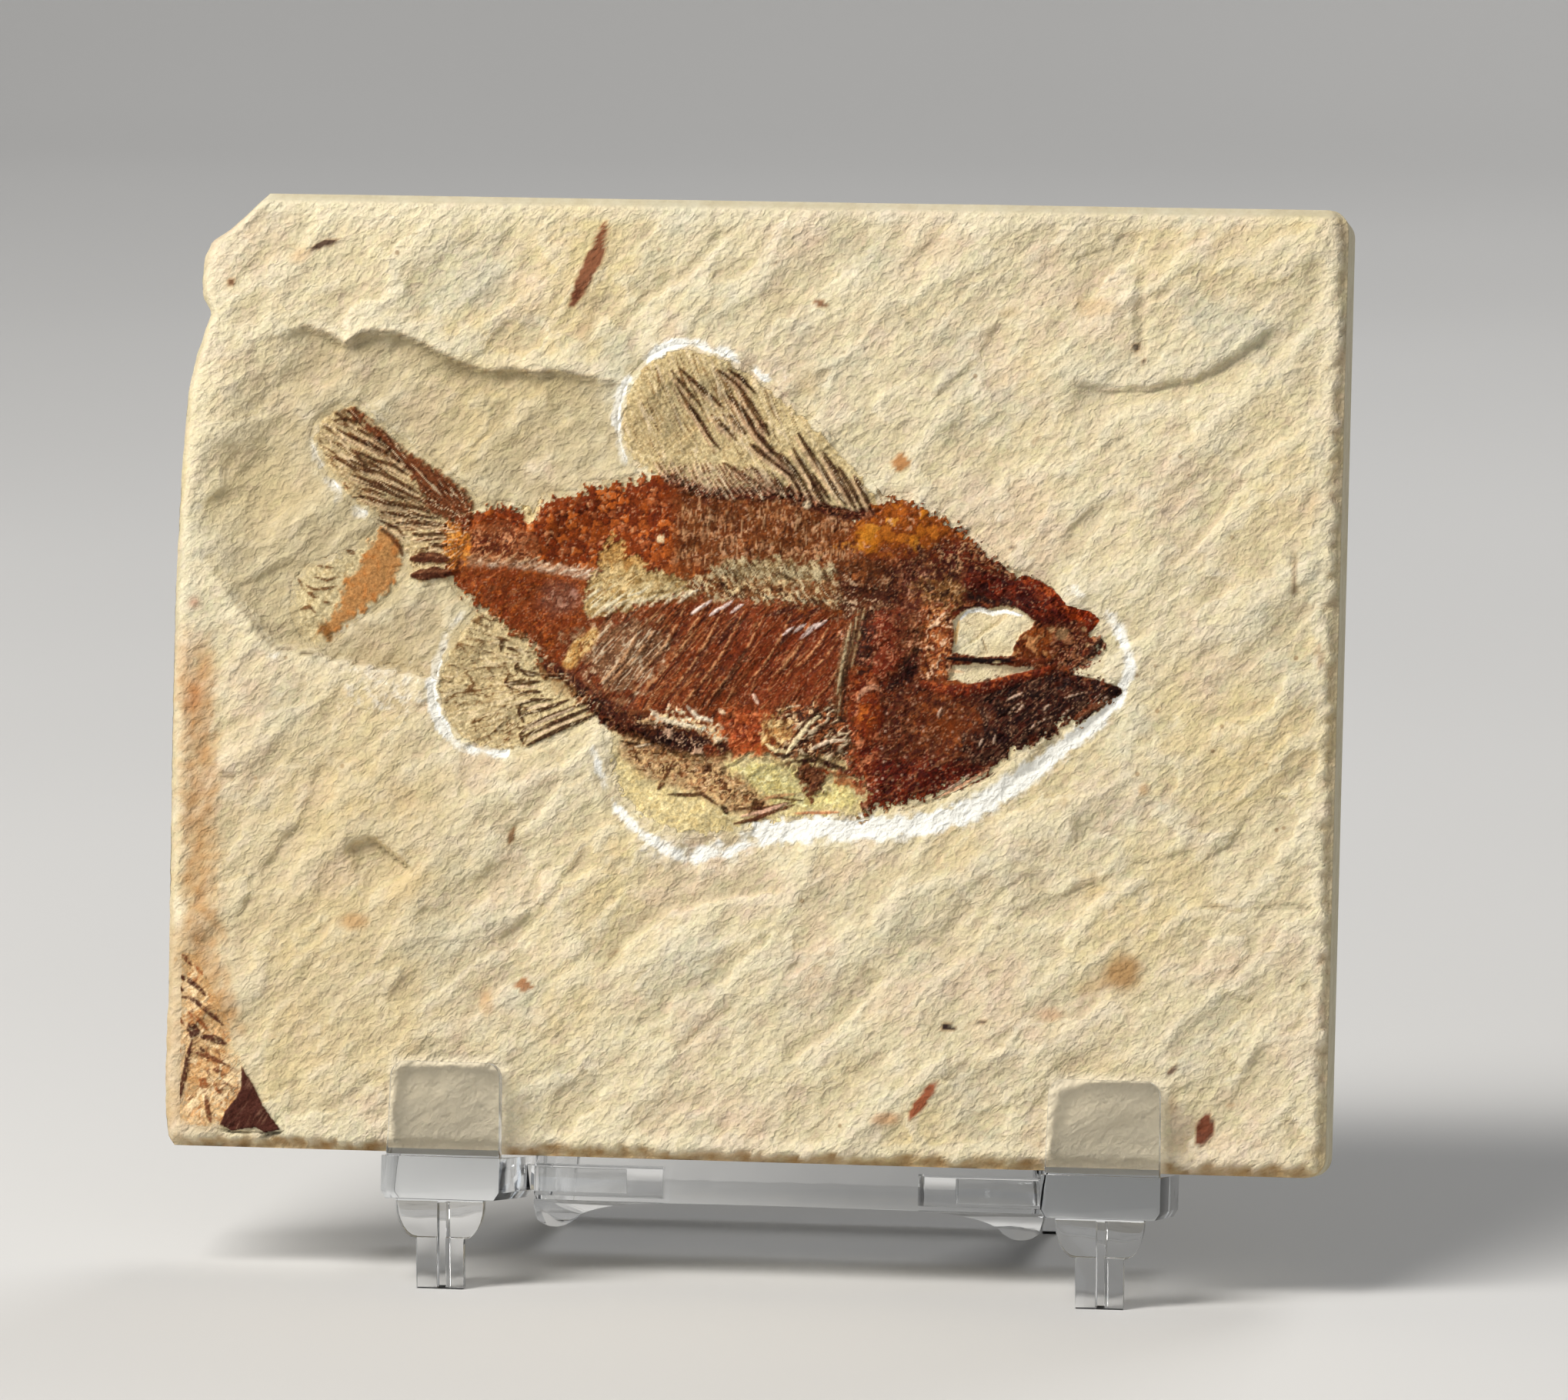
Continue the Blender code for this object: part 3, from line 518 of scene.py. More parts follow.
DORSAL_FIN: Line = (
    "11.6 61.4 11.3 62.6 10.1 64.1 9.2 65.2 8 66.3 6.5 68 4.5 69.7 2.5 71.2 0.8 72.5 -1 74 -3 75 -5 75.8 -7 76.2 "
    "-8.5 75.9 -10.3 75 -11.5 73.8 -12.4 72 -12.9 70 -12.9 68 -12.3 66.4 -11 65.2 -9 64 -6 62.4 4 62"
)
TAIL_UPPER: Line = (
    "-27.2 60.2 -27.5 61.7 -28.1 62.6 -30 64 -32 65.3 -34 66.4 -36 68 -37.5 69.3 -38.6 70.3 -40 70.1 -41.3 69.5 "
    "-42.1 68.5 -42.5 67.2 -41.9 66 -41 64.5 -40 63.3 -39 61.9 -37.9 61.1 -36.6 60.4 -35.6 59.2 -34.6 58 -33.8 56.9 "
    "-33.1 56.2 -33 54.4 -32 54 -30.2 54.4 -28.6 55.2"
)
TAIL_LOWER: Line = (
    "-35.9 58.9 -35 58.2 -34.1 57.3 -33.8 56.2 -34.2 54.6 -35.1 53 -36.5 51.7 -38 50.8 -39.5 49.5 -40.8 48.2 -42 "
    "47.9 -43.3 49.4 -44 51.2 -43.8 53.3 -42.6 54.8 -40.6 55.6 -38.6 56.4 -37.2 57.6"
)
ANAL_FIN: Line = (
    "-14.2 42.6 -14.6 41.6 -17.6 40.1 -21.2 38.4 -24 38.2 -26 38.6 -28 39.8 -29.4 42 -29.8 44.5 -29.1 47 -28 49 "
    "-26.6 50.8 -25 51.4 -21 48.6 -18 45.4"
)
BELLY_SKIN: Line = (
    "-13.2 40.6 -13 38 -12.6 35.9 -11.6 33.9 -10.2 32.6 -8.4 31.6 -6.2 30.9 -3.8 30.9 -1.3 31.4 1.4 32.1 4.4 32.7 "
    "7.6 33 10.4 32.7 12.4 34 12 38 0 39.6 -7 40"
)
ORBIT: Line = (
    "18.9 48.2 19.1 50 18.9 51.2 19.6 52 20.9 52.6 22.2 52.3 23.4 52.7 24.8 52.6 25.9 51.9 26.5 51.3 26.2 50.5 25.3 "
    "50.2 24.9 49.4 24.5 48.1 21.6 47.9"
)
ORBIT_STRIP: Line = "18.6 45.7 18.9 47 21 47.2 24 47.1 27.4 46.9 25 46.3 22.6 45.7 20.6 45.3"
BROKEN_SCALE: Line = (
    "-47.6 7.6 -46.5 6 -45.5 4.1 -44.4 2.6 -43.7 1.8 -45.2 1.3 -46 1.9 -47.5 1.7 -48.4 1.5 -49.5 2.1 -49 3.4 -48 4.7 "
    "-47.6 5.6"
)
MAIN_GROOVE: Line = smooth_line("-15 40.4 -14.3 36.4 -12.6 33 -9.6 30.2 -5.9 28.7 -2.3 29.4 1.7 30.8 7.4 31.5 13.4 "
                                "31.6 18.1 32.5 21.8 34 26.5 37.1 30.3 40.2 33.6 43.2 35.6 46.2 35.2 49.2 33.6 51.8 "
                                "31.2 53.6 28.4 55")
DORSAL_GROOVE: Line = smooth_line("-11.8 64.6 -13.3 66.8 -13.6 69.6 -13 72.4 -11.6 74.6 -9.4 76.2 -7 76.9 -4 76.2 "
                                  "-1.2 74.9 1.2 73.2")
TAIL_GROOVE: Line = smooth_line("-43.2 67.6 -42.4 65.6 -41 63.2 -39.5 61.3 -37.2 59.9")
TAIL_TOP_GROOVE: Line = smooth_line("-39.6 71.2 -37 69.9 -33 66.9 -29.2 64.3 -27 62.5")
ANAL_GROOVE: Line = smooth_line("-27.6 51.4 -29.4 48.8 -30.4 45.6 -30.2 42 -28.8 39.4 -26.4 38 -22.6 37.8")
UPPER_LIP: Line = (
    "-45.5 77.2 -43.5 77.9 -41.6 77.2 -39.6 76.3 -38.4 77.2 -36.9 77.6 -34.6 77.2 -32.3 76.4 -29.2 74.8 -26.2 73.9 "
    "-23.8 74.1 -21.5 73.8 -19 74.1 -16.9 73.6 -13.1 72.9"
)
LOWER_LIP: Line = "-50.6 53 -49.2 51.2 -48 50.2 -47 48.4 -45.6 47.3 -43.2 46.9 -41.4 46.6"


# ---------------------------------------------------------------- limestone


@dataclass(frozen=True)
class SplitFace:
    """The slab's split front: its relief in front of the face's plane and the marks on it, in millimetres."""

    width: float = 110.0
    height: float = 90.4
    corner: float = 1.9
    grain: float = 44.0
    tab_middle: float = 3.3
    tab_reach: float = 31.1
    left_edge: Line = (
        "-54 0 -54.6 0.8 -54.9 2.9 -55.1 7.5 -55 14 -55.2 27 -55.3 34 -55.4 42 -55.45 52.9 -55.2 63.7 -54.8 71.4 -54 "
        "75.2 -53 78.2 -52.8 79 -53.6 80.4 -53.8 82.2 -53.5 84.4 -52.9 85.8 -51.2 86.9 -50 88 -48.6 89.4 -47.5 90.4"
    )

    def sides(self, s: Array) -> tuple[Array, Array]:
        """Left and right edges at a height: the broken left edge, and a straight right one with rounded corners."""
        edge = points_of(self.left_edge)
        left = np.interp(s, edge[:, 1], edge[:, 0])
        left = left + 0.12 * ripple(s * 0, s, 1.6, 5, 3) * ease(s, 0.5, 2) * ease(s, self.height, self.height - 2)
        over = np.maximum(0, self.corner - np.minimum(s, self.height - s))
        right = self.width / 2 - self.corner + np.sqrt(np.maximum(self.corner**2 - over**2, 0))
        return left, right

    def tab(self, x: Array, side: Side) -> Array:
        """Distance across from the middle of one of the easel's tabs, positive on its right."""
        return x - self.tab_middle - side.value * self.tab_reach

    def hollow(self, x: Array, s: Array) -> Array:
        """Share of the hollow cleared round the tail: below the upper lip, above the lower one, fading outwards."""
        wob = 0.25 * ripple(x, s, 1.3, 71, 2)
        up_gap, _, up_side = reach(x, s, UPPER_LIP)
        low_gap, _, low_side = reach(x, s, LOWER_LIP)
        under = 0.62 * ease(up_gap * up_side + wob, -0.05, 0.35) + 0.38 * ease(up_gap * up_side, 0.0, 6.0)
        over = ease(-low_gap * low_side + wob, -0.1, 0.9)
        fade = 1 - ease(away(x, s, -31, 61, 23, 25), 0.70, 1.02)
        return under * over * fade

    def grooves(self, x: Array, s: Array) -> tuple[Array, Array]:
        """Depth and white powdering of the preparation grooves: round-bottomed channels along their lines, with loose
        white patches and a painted highlight just below the hollow's lower lip.

        Args:
            x: Across.
            s: Up.

        Returns:
            Depth in millimetres, and the white powdering with that highlight, from 0 to 1.
        """
        depth, powder_and_highlight = np.zeros(x.shape), np.zeros(x.shape)
        ragged = 1 + 0.8 * ripple(x, s, 1.1, 81, 2)
        patchy = ripple(x, s, 2.6, 84, 2)
        for line, widths, cuts, whites in (
            (MAIN_GROOVE, (0.34, 0.36, 0.50, 0.95, 0.80, 0.82, 0.80, 0.66, 0.50, 0.45, 0.5),
             (0.10, 0.12, 0.14, 0.18, 0.20, 0.22, 0.22, 0.2, 0.14, 0.08, 0.05),
             (0.45, 0.40, 0.55, 0.85, 1.0, 1.0, 1.0, 1.0, 0.70, 0.40, 0.4)),
            (DORSAL_GROOVE, (0.3, 0.34, 0.36, 0.36, 0.3), (0.08, 0.12, 0.12, 0.1, 0.08),
             (0.45, 0.75, 0.85, 0.70, 0.45)),
            (TAIL_GROOVE, (0.3, 0.5, 0.42), (0.08, 0.16, 0.12), (0.35, 0.7, 0.55)),
            (TAIL_TOP_GROOVE, (0.3, 0.26, 0.22), (0.1, 0.1, 0.06), (0.25, 0.2, 0.2)),
            (ANAL_GROOVE, (0.3, 0.4, 0.42, 0.36), (0.06, 0.14, 0.16, 0.12), (0.3, 0.6, 0.75, 0.6)),
        ):
            near = window(x, s, line, 4)
            gap, share, _ = reach(x[near], s[near], line)
            at = [np.interp(share, np.linspace(0, 1, len(values)), values) for values in (widths, cuts, whites)]
            wide = at[0] * ragged[near]
            ends = ease(share, 0.0, 0.03) * ease(share, 1.0, 0.97)
            depth[near] = np.maximum(depth[near], at[1] * np.exp(-((gap / wide) ** 2)) * ends)
            level = at[2] * np.exp(-((gap / (wide * 1.1)) ** 4)) * ends
            level = level + 0.35 * at[2] * np.exp(-((gap / (wide * 2.4)) ** 2)) * ends
            powder_and_highlight[near] = np.maximum(powder_and_highlight[near], level * (1 + 1.8 * patchy[near] * (at[2] < 0.9)))
        # Loose white patches; the narrow one at -45.6, 46.6, just below the lower lip, is a painted highlight on the
        # lip's edge.
        dust_and_highlight = sum(share * dome(x, s, *spot) for share, *spot in (
            (0.62, -35, 43.6, 6.5, 3.6), (0.7, -8.2, 29.3, 3.0, 1.6), (0.45, 2.6, 73.4, 2.6, 1.2),
            (0.5, 34.6, 50.4, 1.0, 2.6), (0.8, -45.6, 46.6, 1.6, 0.5), (0.35, -13.6, 37.5, 0.7, 3.4),
        ))
        grainy = 0.45 + 0.9 * ripple(x, s, 0.9, 83, 3)
        powder_and_highlight = np.maximum(powder_and_highlight * (0.9 + 0.28 * ripple(x, s, 0.8, 82, 2)), dust_and_highlight * np.clip(grainy, 0, 1.2))
        return depth, np.clip(powder_and_highlight, 0, 1)

    def relief(self, x: Array, s: Array) -> Array:
        """Height of the stone in front of the face's plane: flake scars of four sizes along the diagonal grain,
        on a slow swell, with the named ledges, cracks and dents added.

        Args:
            x: Across.
            s: Up.

        Returns:
            Heights in millimetres.
        """
        wx = x + 1.7 * ripple(x, s, 5.5, 3, 4)
        ws = s + 1.7 * ripple(x, s, 5.5, 4, 4)
        calm = 0.55 + 0.45 * ease(ripple(x, s, 14, 6, 2), -0.5, 0.5)
        high = 0.26 * ripple(x, s, 24, 7, 2) + 0.10 * ripple(wx, ws, 7, 8, 1)
        high += 1.15 * calm * (flakes(wx, ws, self.grain - 8, 12, 5.2, 11) - 0.45)
        high += 0.48 * calm * plates(wx, ws, self.grain - 6, 7.5, 2.9, 21)
        cut, powder_and_highlight = self.grooves(x, s)
        plain = 1 - 0.8 * ease(powder_and_highlight, 0.5, 0.9)
        high += 0.25 * plain * (flakes(wx, ws, self.grain + 2, 3.4, 1.7, 31) - 0.45)
        high += 0.10 * plain * plates(wx, ws, self.grain - 4, 2.0, 1.0, 36)
        high += 0.045 * plain * ripple(x, s, 0.8, 41, 2)
        high -= 1.6 * self.hollow(x, s)
        high += self.ledges(x, s)
        high -= cut
        return high

    def ledges(self, x: Array, s: Array) -> Array:
        """The larger single marks: a crescent ledge, a chiselled slot, two cracks, a dent and long diagonal steps."""
        out = np.zeros(x.shape)
        wob = 0.3 * ripple(x, s, 1.5, 91, 2)
        steps = (
            ("29 74.1 33 73.4 37 73.6 41 74.6 45.4 77.2 49 80.2", 0.42, 2.6, 1),
            ("-38.5 28.6 -35.8 29.6 -33.4 28 -31.6 26.4", 0.40, 3.0, 1),
            ("-13.5 17 -10.6 20.6 -7 23.2 -1.5 24.6 4 25.4", 0.30, 3.0, -1),
            ("24 24 30 26.2 36 28.8 42.5 31", 0.22, 2.4, 1),
            ("16 72 20 75.8 22.5 80", 0.24, 2.2, 1),
            ("38.5 56 43 60 46.5 65.5", 0.26, 2.4, -1),
            ("-24 20 -19 24.5 -15 30", 0.22, 2.4, 1),
            ("4 9 9 12.6 14 18", 0.24, 2.4, -1),
            ("-47 26 -43 31 -41 37", 0.24, 2.6, 1),
            ("-12 80 -7 83 -3 87.5", 0.24, 2.4, -1),
        )
        for line, drop, fade, sign in steps:
            gap, share, side = reach(x, s, line)
            inside = ease(sign * gap * side + wob, -0.12, 0.35) * np.exp(-((gap / fade) ** 2))
            out -= 1.6 * drop * inside * ease(share, 0, 0.12) * ease(share, 1, 0.88)
        for line, half, cut in (
            ("35.8 84.6 35.7 80.4 36 76", 0.45, 0.35),
            ("42.3 25.3 46 24.7 50 25.2 54.2 24.9", 0.22, 0.3),
            ("50.9 58.4 50.7 56.2 51 54", 0.3, 0.4),
            (LOWER_LIP, 0.22, 0.3), ("-36.2 29.4 -33.6 27.7 -31.6 26.3", 0.22, 0.3),
        ):
            gap, share, _ = reach(x, s, line)
            out -= cut * np.exp(-(((gap + 0.4 * wob) / half) ** 2)) * ease(share, 0, 0.1) * ease(share, 1, 0.9)
        out -= 0.5 * dome(x, s, -34.5, 27.0, 4.2, 2.2)
        out -= 0.45 * dome(x, s, -29.0, 74.0, 2.6, 0.9)
        return out

    def rim(self, x: Array, s: Array) -> dict[Rim, Array]:
        """Distance in from each edge of the face."""
        left, right = self.sides(s)
        return {Rim.LEFT: x - left, Rim.RIGHT: right - x, Rim.BOTTOM: s, Rim.TOP: self.height - s}

    def front(self, x: Array, s: Array) -> tuple[Array, dict[str, Array]]:
        """The whole face with its broken rims, and what colours them.

        The face falls back at each rim by its own amount: a straight ground bevel on top, ragged chips at the
        bottom and the right, and a soft roll on the left.

        Args:
            x: Across.
            s: Up.

        Returns:
            Height in front of the face's plane, and masks for the sawn rims and for the brown chipped rims with their
            painted shade.
        """
        high = self.relief(x, s)
        rim = self.rim(x, s)
        edge = np.minimum.reduce(list(rim.values()))
        quiet = ease(edge, 0.4, 3.0)
        tab = sum(np.exp(-((self.tab(x, side) / 6.6) ** 4)) for side in Side) * ease(s, 11.5, 9.0)
        high = high * (0.25 + 0.75 * quiet)
        high = np.where(high > 0.26, 0.26 + 0.4 * (high - 0.26), high)
        high = high - tab * np.maximum(high - 0.12, 0)
        chip = 2.0 * ripple(x, s, 1.5, 101, 3)
        coarse = 1.8 * ripple(x, s, 4.5, 102, 2)
        top = 0.75 * np.clip(1 - rim[Rim.TOP] / 0.85, 0, 1)
        bottom_wide = np.clip(1.15 + 0.45 * chip + 0.35 * coarse, 0.5, 2.4)
        bottom = 1.0 * ease(rim[Rim.BOTTOM], bottom_wide, 0.15 * bottom_wide)
        left_wide = np.clip(1.2 + 0.5 * coarse, 0.6, 2.2)
        left = 1.0 * np.clip(1 - rim[Rim.LEFT] / left_wide, 0, 1) ** 1.8
        right_wide = np.clip(1.15 + 0.7 * chip + 0.5 * coarse, 0.35, 2.6)
        right = 0.8 * ease(rim[Rim.RIGHT], right_wide, 0.1)
        drop = np.maximum.reduce([top, bottom, left, right])
        sawn = np.maximum.reduce([
            ease(rim[Rim.TOP], 0.95, 0.7), 0.35 * ease(rim[Rim.LEFT], left_wide, 0.2),
            0.25 * ease(rim[Rim.RIGHT], 0.5, 0.1),
        ])
        # Brown along the chipped bottom and right rims: partly the chips' tan colour, partly painted shade on the
        # downward-facing bottom bevel.
        bruise_and_shade = np.maximum(
            ease(rim[Rim.BOTTOM], bottom_wide * 0.95, 0.5 * bottom_wide) * np.clip(0.62 + 0.5 * chip, 0.15, 1),
            0.30 * ease(rim[Rim.RIGHT], right_wide, 0.6 * right_wide) * np.clip(0.6 + 0.6 * chip, 0, 1),
        )
        return high - drop, {"sawn": sawn, "bruise_and_shade": bruise_and_shade}

    def stains_and_painted_light(self, x: Array, s: Array) -> Array:
        """Soft iron staining and plant traces as a colour with its strength in the fourth place, with painted shade
        in the hollow, below its upper lip and over the left of the slab, and painted light on the stone behind the
        easel's tabs.

        Args:
            x: Across.
            s: Up.

        Returns:
            Four numbers for each point.
        """
        out = np.zeros(x.shape + (4,))
        out[..., :3] = srgb("be8c54")
        band_x = np.interp(s, [8, 13, 17, 25, 35, 45, 52], [-49.0, -49.8, -51.4, -52.3, -52.6, -53.1, -53.6])
        ragged = 0.7 * ripple(x, s, 2.2, 111, 3) + 0.35 * ripple(x, s, 0.7, 112, 2)
        band = ease(np.abs(x - band_x) + 1.5 * ragged, 2.7, 0.8) * ease(s, 9, 12) * ease(s, 51.5, 44)
        mark(out, band * np.clip(0.62 + 0.5 * ripple(x, s, 1.2, 113, 2), 0.2, 0.95), srgb("be884e"))
        spot = dome(x, s, -53.2, 42.5, 0.9, 1.6)
        mark(out, 0.6 * spot, srgb("ba6e32"))
        # Painted shade: a greyer, darker tone over the hollow cleared round the tail.
        mark(out, 0.55 * self.hollow(x, s) ** 0.7 * np.clip(0.9 + 1.2 * ripple(x, s, 1.6, 114, 3), 0, 1.2),
             srgb("b8a780"))
        # Painted shade: a darker band just below the hollow's upper lip, where the lip shades the stone.
        gap, share, side = reach(x, s, UPPER_LIP)
        shade = np.exp(-(((gap - 0.2) / 1.9) ** 2)) * ease(gap * side, -0.15,
                                                           0.25) * ease(share, 0, 0.1) * ease(share, 1, 0.9)
        mark(out, 0.5 * shade * np.clip(0.8 + ripple(x, s, 1.3, 115, 2), 0.2, 1), srgb("9e8c64"))
        mark(out, 0.7 * dome(x, s, -53.5, 51.4, 0.5, 0.5), srgb("c48260"))
        foot = ease(depth_inside(x, s, "-55.6 21 -53 21 -50 15 -48.4 10.5 -49.4 1 -55.6 1"), -0.5, 1.4)
        mark(out, foot * np.clip(0.5 + 0.5 * ragged, 0.1, 0.8), srgb("c4a070"))
        for cx, cs, rx, rs, turn, strength, colour in (
            (-37.3, 21.6, 1.5, 1.0, 0, 0.75, "be884c"), (-32.4, 24.8, 3.0, 1.5, 40, 0.45, "ceac68"),
            (-33.0, 33.2, 1.9, 1.8, 0, 0.35, "d0b076"), (-44.2, 84.5, 1.3, 0.9, 20, 0.45, "cea068"),
            (-22.6, 80.6, 1.9, 1.7, 0, 0.22, "d6b882"), (31.6, 80.9, 2.4, 1.2, 0, 0.42, "cca870"),
            (23.4, 80.2, 1.2, 0.6, 0, 0.4, "ba9868"), (-24.4, 14.2, 0.8, 1.7, 10, 0.5, "c89860"),
            (35.6, 18.6, 2.3, 2.0, 30, 0.85, "aa7e4a"), (32.6, 17.2, 1.6, 0.9, 10, 0.45, "bc9662"),
            (29.0, 14.6, 1.4, 0.8, 0, 0.55, "c49270"), (33.0, 26.2, 1.5, 0.6, 20, 0.3, "c4a26e"),
            (13.8, 4.4, 1.6, 0.7, 10, 0.7, "ce9868"), (37.2, 35.8, 0.6, 0.7, 0, 0.6, "c4925c"),
            (29.8, 34.6, 0.5, 0.7, 0, 0.4, "c4a070"), (46.0, 6.6, 0.5, 0.4, 0, 0.5, "aa7850"),
            (4.6, 73.4, 1.6, 1.5, 30, 0.40, "b09866"), (52.6, 63.0, 0.8, 2.6, 0, 0.25, "c4a670"),
            (40.6, 6.4, 0.6, 1.0, 0, 0.5, "c8a078"), (-42.0, 12.5, 3.2, 1.8, 35, 0.22, "bea070"),
            # The last two spots here, broad and faint, darken the left of the slab as painted shade.
            (-16.6, 78.4, 0.9, 2.6, -12, 0.35, "b89670"), (-39.0, 27.0, 17, 24, 0, 0.30, "c0a87c"),
            (-45.5, 59.0, 9, 13, 0, 0.20, "c0ac82"),
        ):
            along, across = turned(x - cx, s - cs, turn)
            gap = np.hypot(along / rx, across / rs) + 0.35 * ragged
            mark(out, strength * ease(gap, 1.25, 0.35), srgb(colour))
        # Painted light: the stone behind each clear tab is paled to stand in for the light that the tab holds back.
        for side in Side:
            painted_tab_light = ease(np.abs(self.tab(x, side)), 6.2, 4.8) * ease(s, 9.6, 8.2)
            mark(out, 0.9 * painted_tab_light * (1 - 0.5 * out[..., 3]), srgb("fff0d0"))
        return out

    def inclusions_and_lip_shade(self, x: Array, s: Array, out: Array) -> Array:
        """Small dark plant fragments, with painted shade along the hollow's two lips, laid over the stone's tint as
        short tapered strokes.

        Args:
            x: Across.
            s: Up.
            out: The stone's tint layer, with its painted shade and light, which is changed.

        Returns:
            A mask of the strokes, the painted lip shade among them.
        """
        total = np.zeros(x.shape)
        for line, width, strength, colour in (
            ("-18.1 80.4 -17 82.6 -16 84.8 -15.2 87.8", 1.5, 0.95, "804628"),
            ("-17.9 80.6 -17.5 81.8", 0.6, 0.9, "5c2e1a"), ("-43.2 85 -42 85.7 -40.8 85.9", 0.7, 0.95, "46281a"),
            ("-51.1 81.9 -50.5 81.7", 0.8, 0.9, "784c2c"), ("5 81.1 6.1 80.5", 0.8, 0.9, "845432"),
            ("12.9 66 14.2 65.9", 1.7, 0.9, "b0743a"), ("24 58.2 24.5 58.3", 0.5, 0.8, "5a4232"),
            ("35.2 77.5 35.6 76.9", 0.5, 0.9, "422e22"), ("36.1 76.1 36.3 75.6", 0.45, 0.9, "422e22"),
            ("-22.6 29.2 -22.3 30.6 -22.2 31", 0.6, 0.85, "80542a"), ("-21.6 16 -20.2 15.9", 1.2, 0.85, "a06432"),
            ("18.7 13.2 20.2 13", 0.65, 1.0, "2c1812"), ("21.9 13.5 22.9 13.7", 0.35, 0.9, "3c241a"),
            ("40 9.1 41.2 10.3", 0.4, 0.9, "5c3828"), ("43.3 3 43.6 4.2 43.9 5.6", 1.7, 0.95, "702e12"),
            ("16 4.6 17 5.8 17.6 6.8 18.4 7.9", 1.0, 0.95, "964824"), ("-29.9 47.4 -29.4 47.4", 0.5, 0.8, "544230"),
            ("50.9 57.8 50.8 54.6", 0.35, 0.6, "785c42"), ("53.2 49.6 53.4 47.6", 0.8, 0.5, "966c48"),
            ("1 84.6 1.6 84.3", 0.4, 0.7, "6e543c"), ("43.5 25.2 46.5 24.8", 0.25, 0.5, "967a54"),
            ("-12.9 19 -12.2 19.4", 0.4, 0.5, "826446"), ("7.9 19.6 8.4 20", 0.4, 0.5, "8c704c"),
            # The strokes along UPPER_LIP and LOWER_LIP, and the wide one at the lower lip's end, are painted shade
            # along the hollow's lips.
            ("26 68.2 26.6 68.5", 0.35, 0.5, "8c6c4a"), (UPPER_LIP, 0.30, 0.6, "685434"),
            (LOWER_LIP, 0.34, 0.6, "705838"),
            ("-43.5 47 -42.2 46.8 -41.4 46.5", 0.5, 0.7, "5c4e34"),
            ("-36.2 29.4 -33.6 27.7 -31.6 26.3", 0.24, 0.55, "82704c"), ("-5 12 -4.4 12.4", 0.35, 0.5, "96744e"),
        ):
            mask = strength * stroke_mask(x, s, line, width, 0.14, seed=7)
            mark(out, mask, srgb(colour) * (1 + 0.25 * ripple(x, s, 0.5, 8)[..., None]))
            total = np.maximum(total, mask)
        return total


def mark(layer: Array, amount: Array, colour: Array) -> None:
    """Lay a colour over a layer of colour and strength, as paint on film.

    Args:
        layer: Four numbers for each point, which are changed.
        amount: How much of the new colour, from 0 to 1.
        colour: Its linear colour, one or one for each point.
    """
    amount = np.clip(amount, 0, 1)[..., None]
    left = layer[..., 3:] * (1 - amount)
    total = left + amount
    layer[..., :3] = np.where(total > 1e-6, (layer[..., :3] * left + colour * amount) / np.maximum(total, 1e-6),
                              layer[..., :3])
    layer[..., 3:] = total


def deepen(layer: Array, amount: Array, shares: tuple[float, float, float]) -> None:
    """Darken a layer where amount says, each colour channel by its own share."""
    layer[..., :3] *= 1 - amount[..., None] * (1 - np.array(shares))


def over_stains_and_shade(layer: Array, tint: Array) -> Array:
    """A layer of bone with the stone's staining and painted shade showing where the bone is thin, mixed by their
    strengths.
    """
    stained = np.maximum(tint[..., 3:] * (1 - layer[..., 3:]), 0)
    total = layer[..., 3:] + stained
    colour = (layer[..., :3] * layer[..., 3:] + tint[..., :3] * stained) / np.maximum(total, 1e-6)
    return np.concatenate([colour, total], axis=-1)


def stroke_mask(x: Array, s: Array, line: Line, width: float, soft: float, taper: float = 0.6,
                seed: int = 0) -> Array:
    """A brush line: full within half its width, which narrows towards both ends and wavers a little.

    Args:
        x: Across.
        s: Up.
        line: The line's points.
        width: Its full width.
        soft: How wide its soft edge is.
        taper: How much of the width is lost at the ends.
        seed: Which waver.

    Returns:
        Numbers from 0 to 1.
    """
    points = points_of(line)
    near = window(x, s, points, width + soft + 0.3)
    out = np.zeros(x.shape)
    if not near.any():
        return out
    px, ps = x[near], s[near]
    waver = ripple(px, ps, max(0.45, width), seed + 500, 2)
    gap, share, _ = reach(px, ps, line)
    half = width / 2 * (1 - taper * np.abs(2 * share - 1) ** 2.5) * (1 + 0.35 * waver)
    out[near] = ease(gap - half, soft * 0.6, -soft * 0.6)
    return out


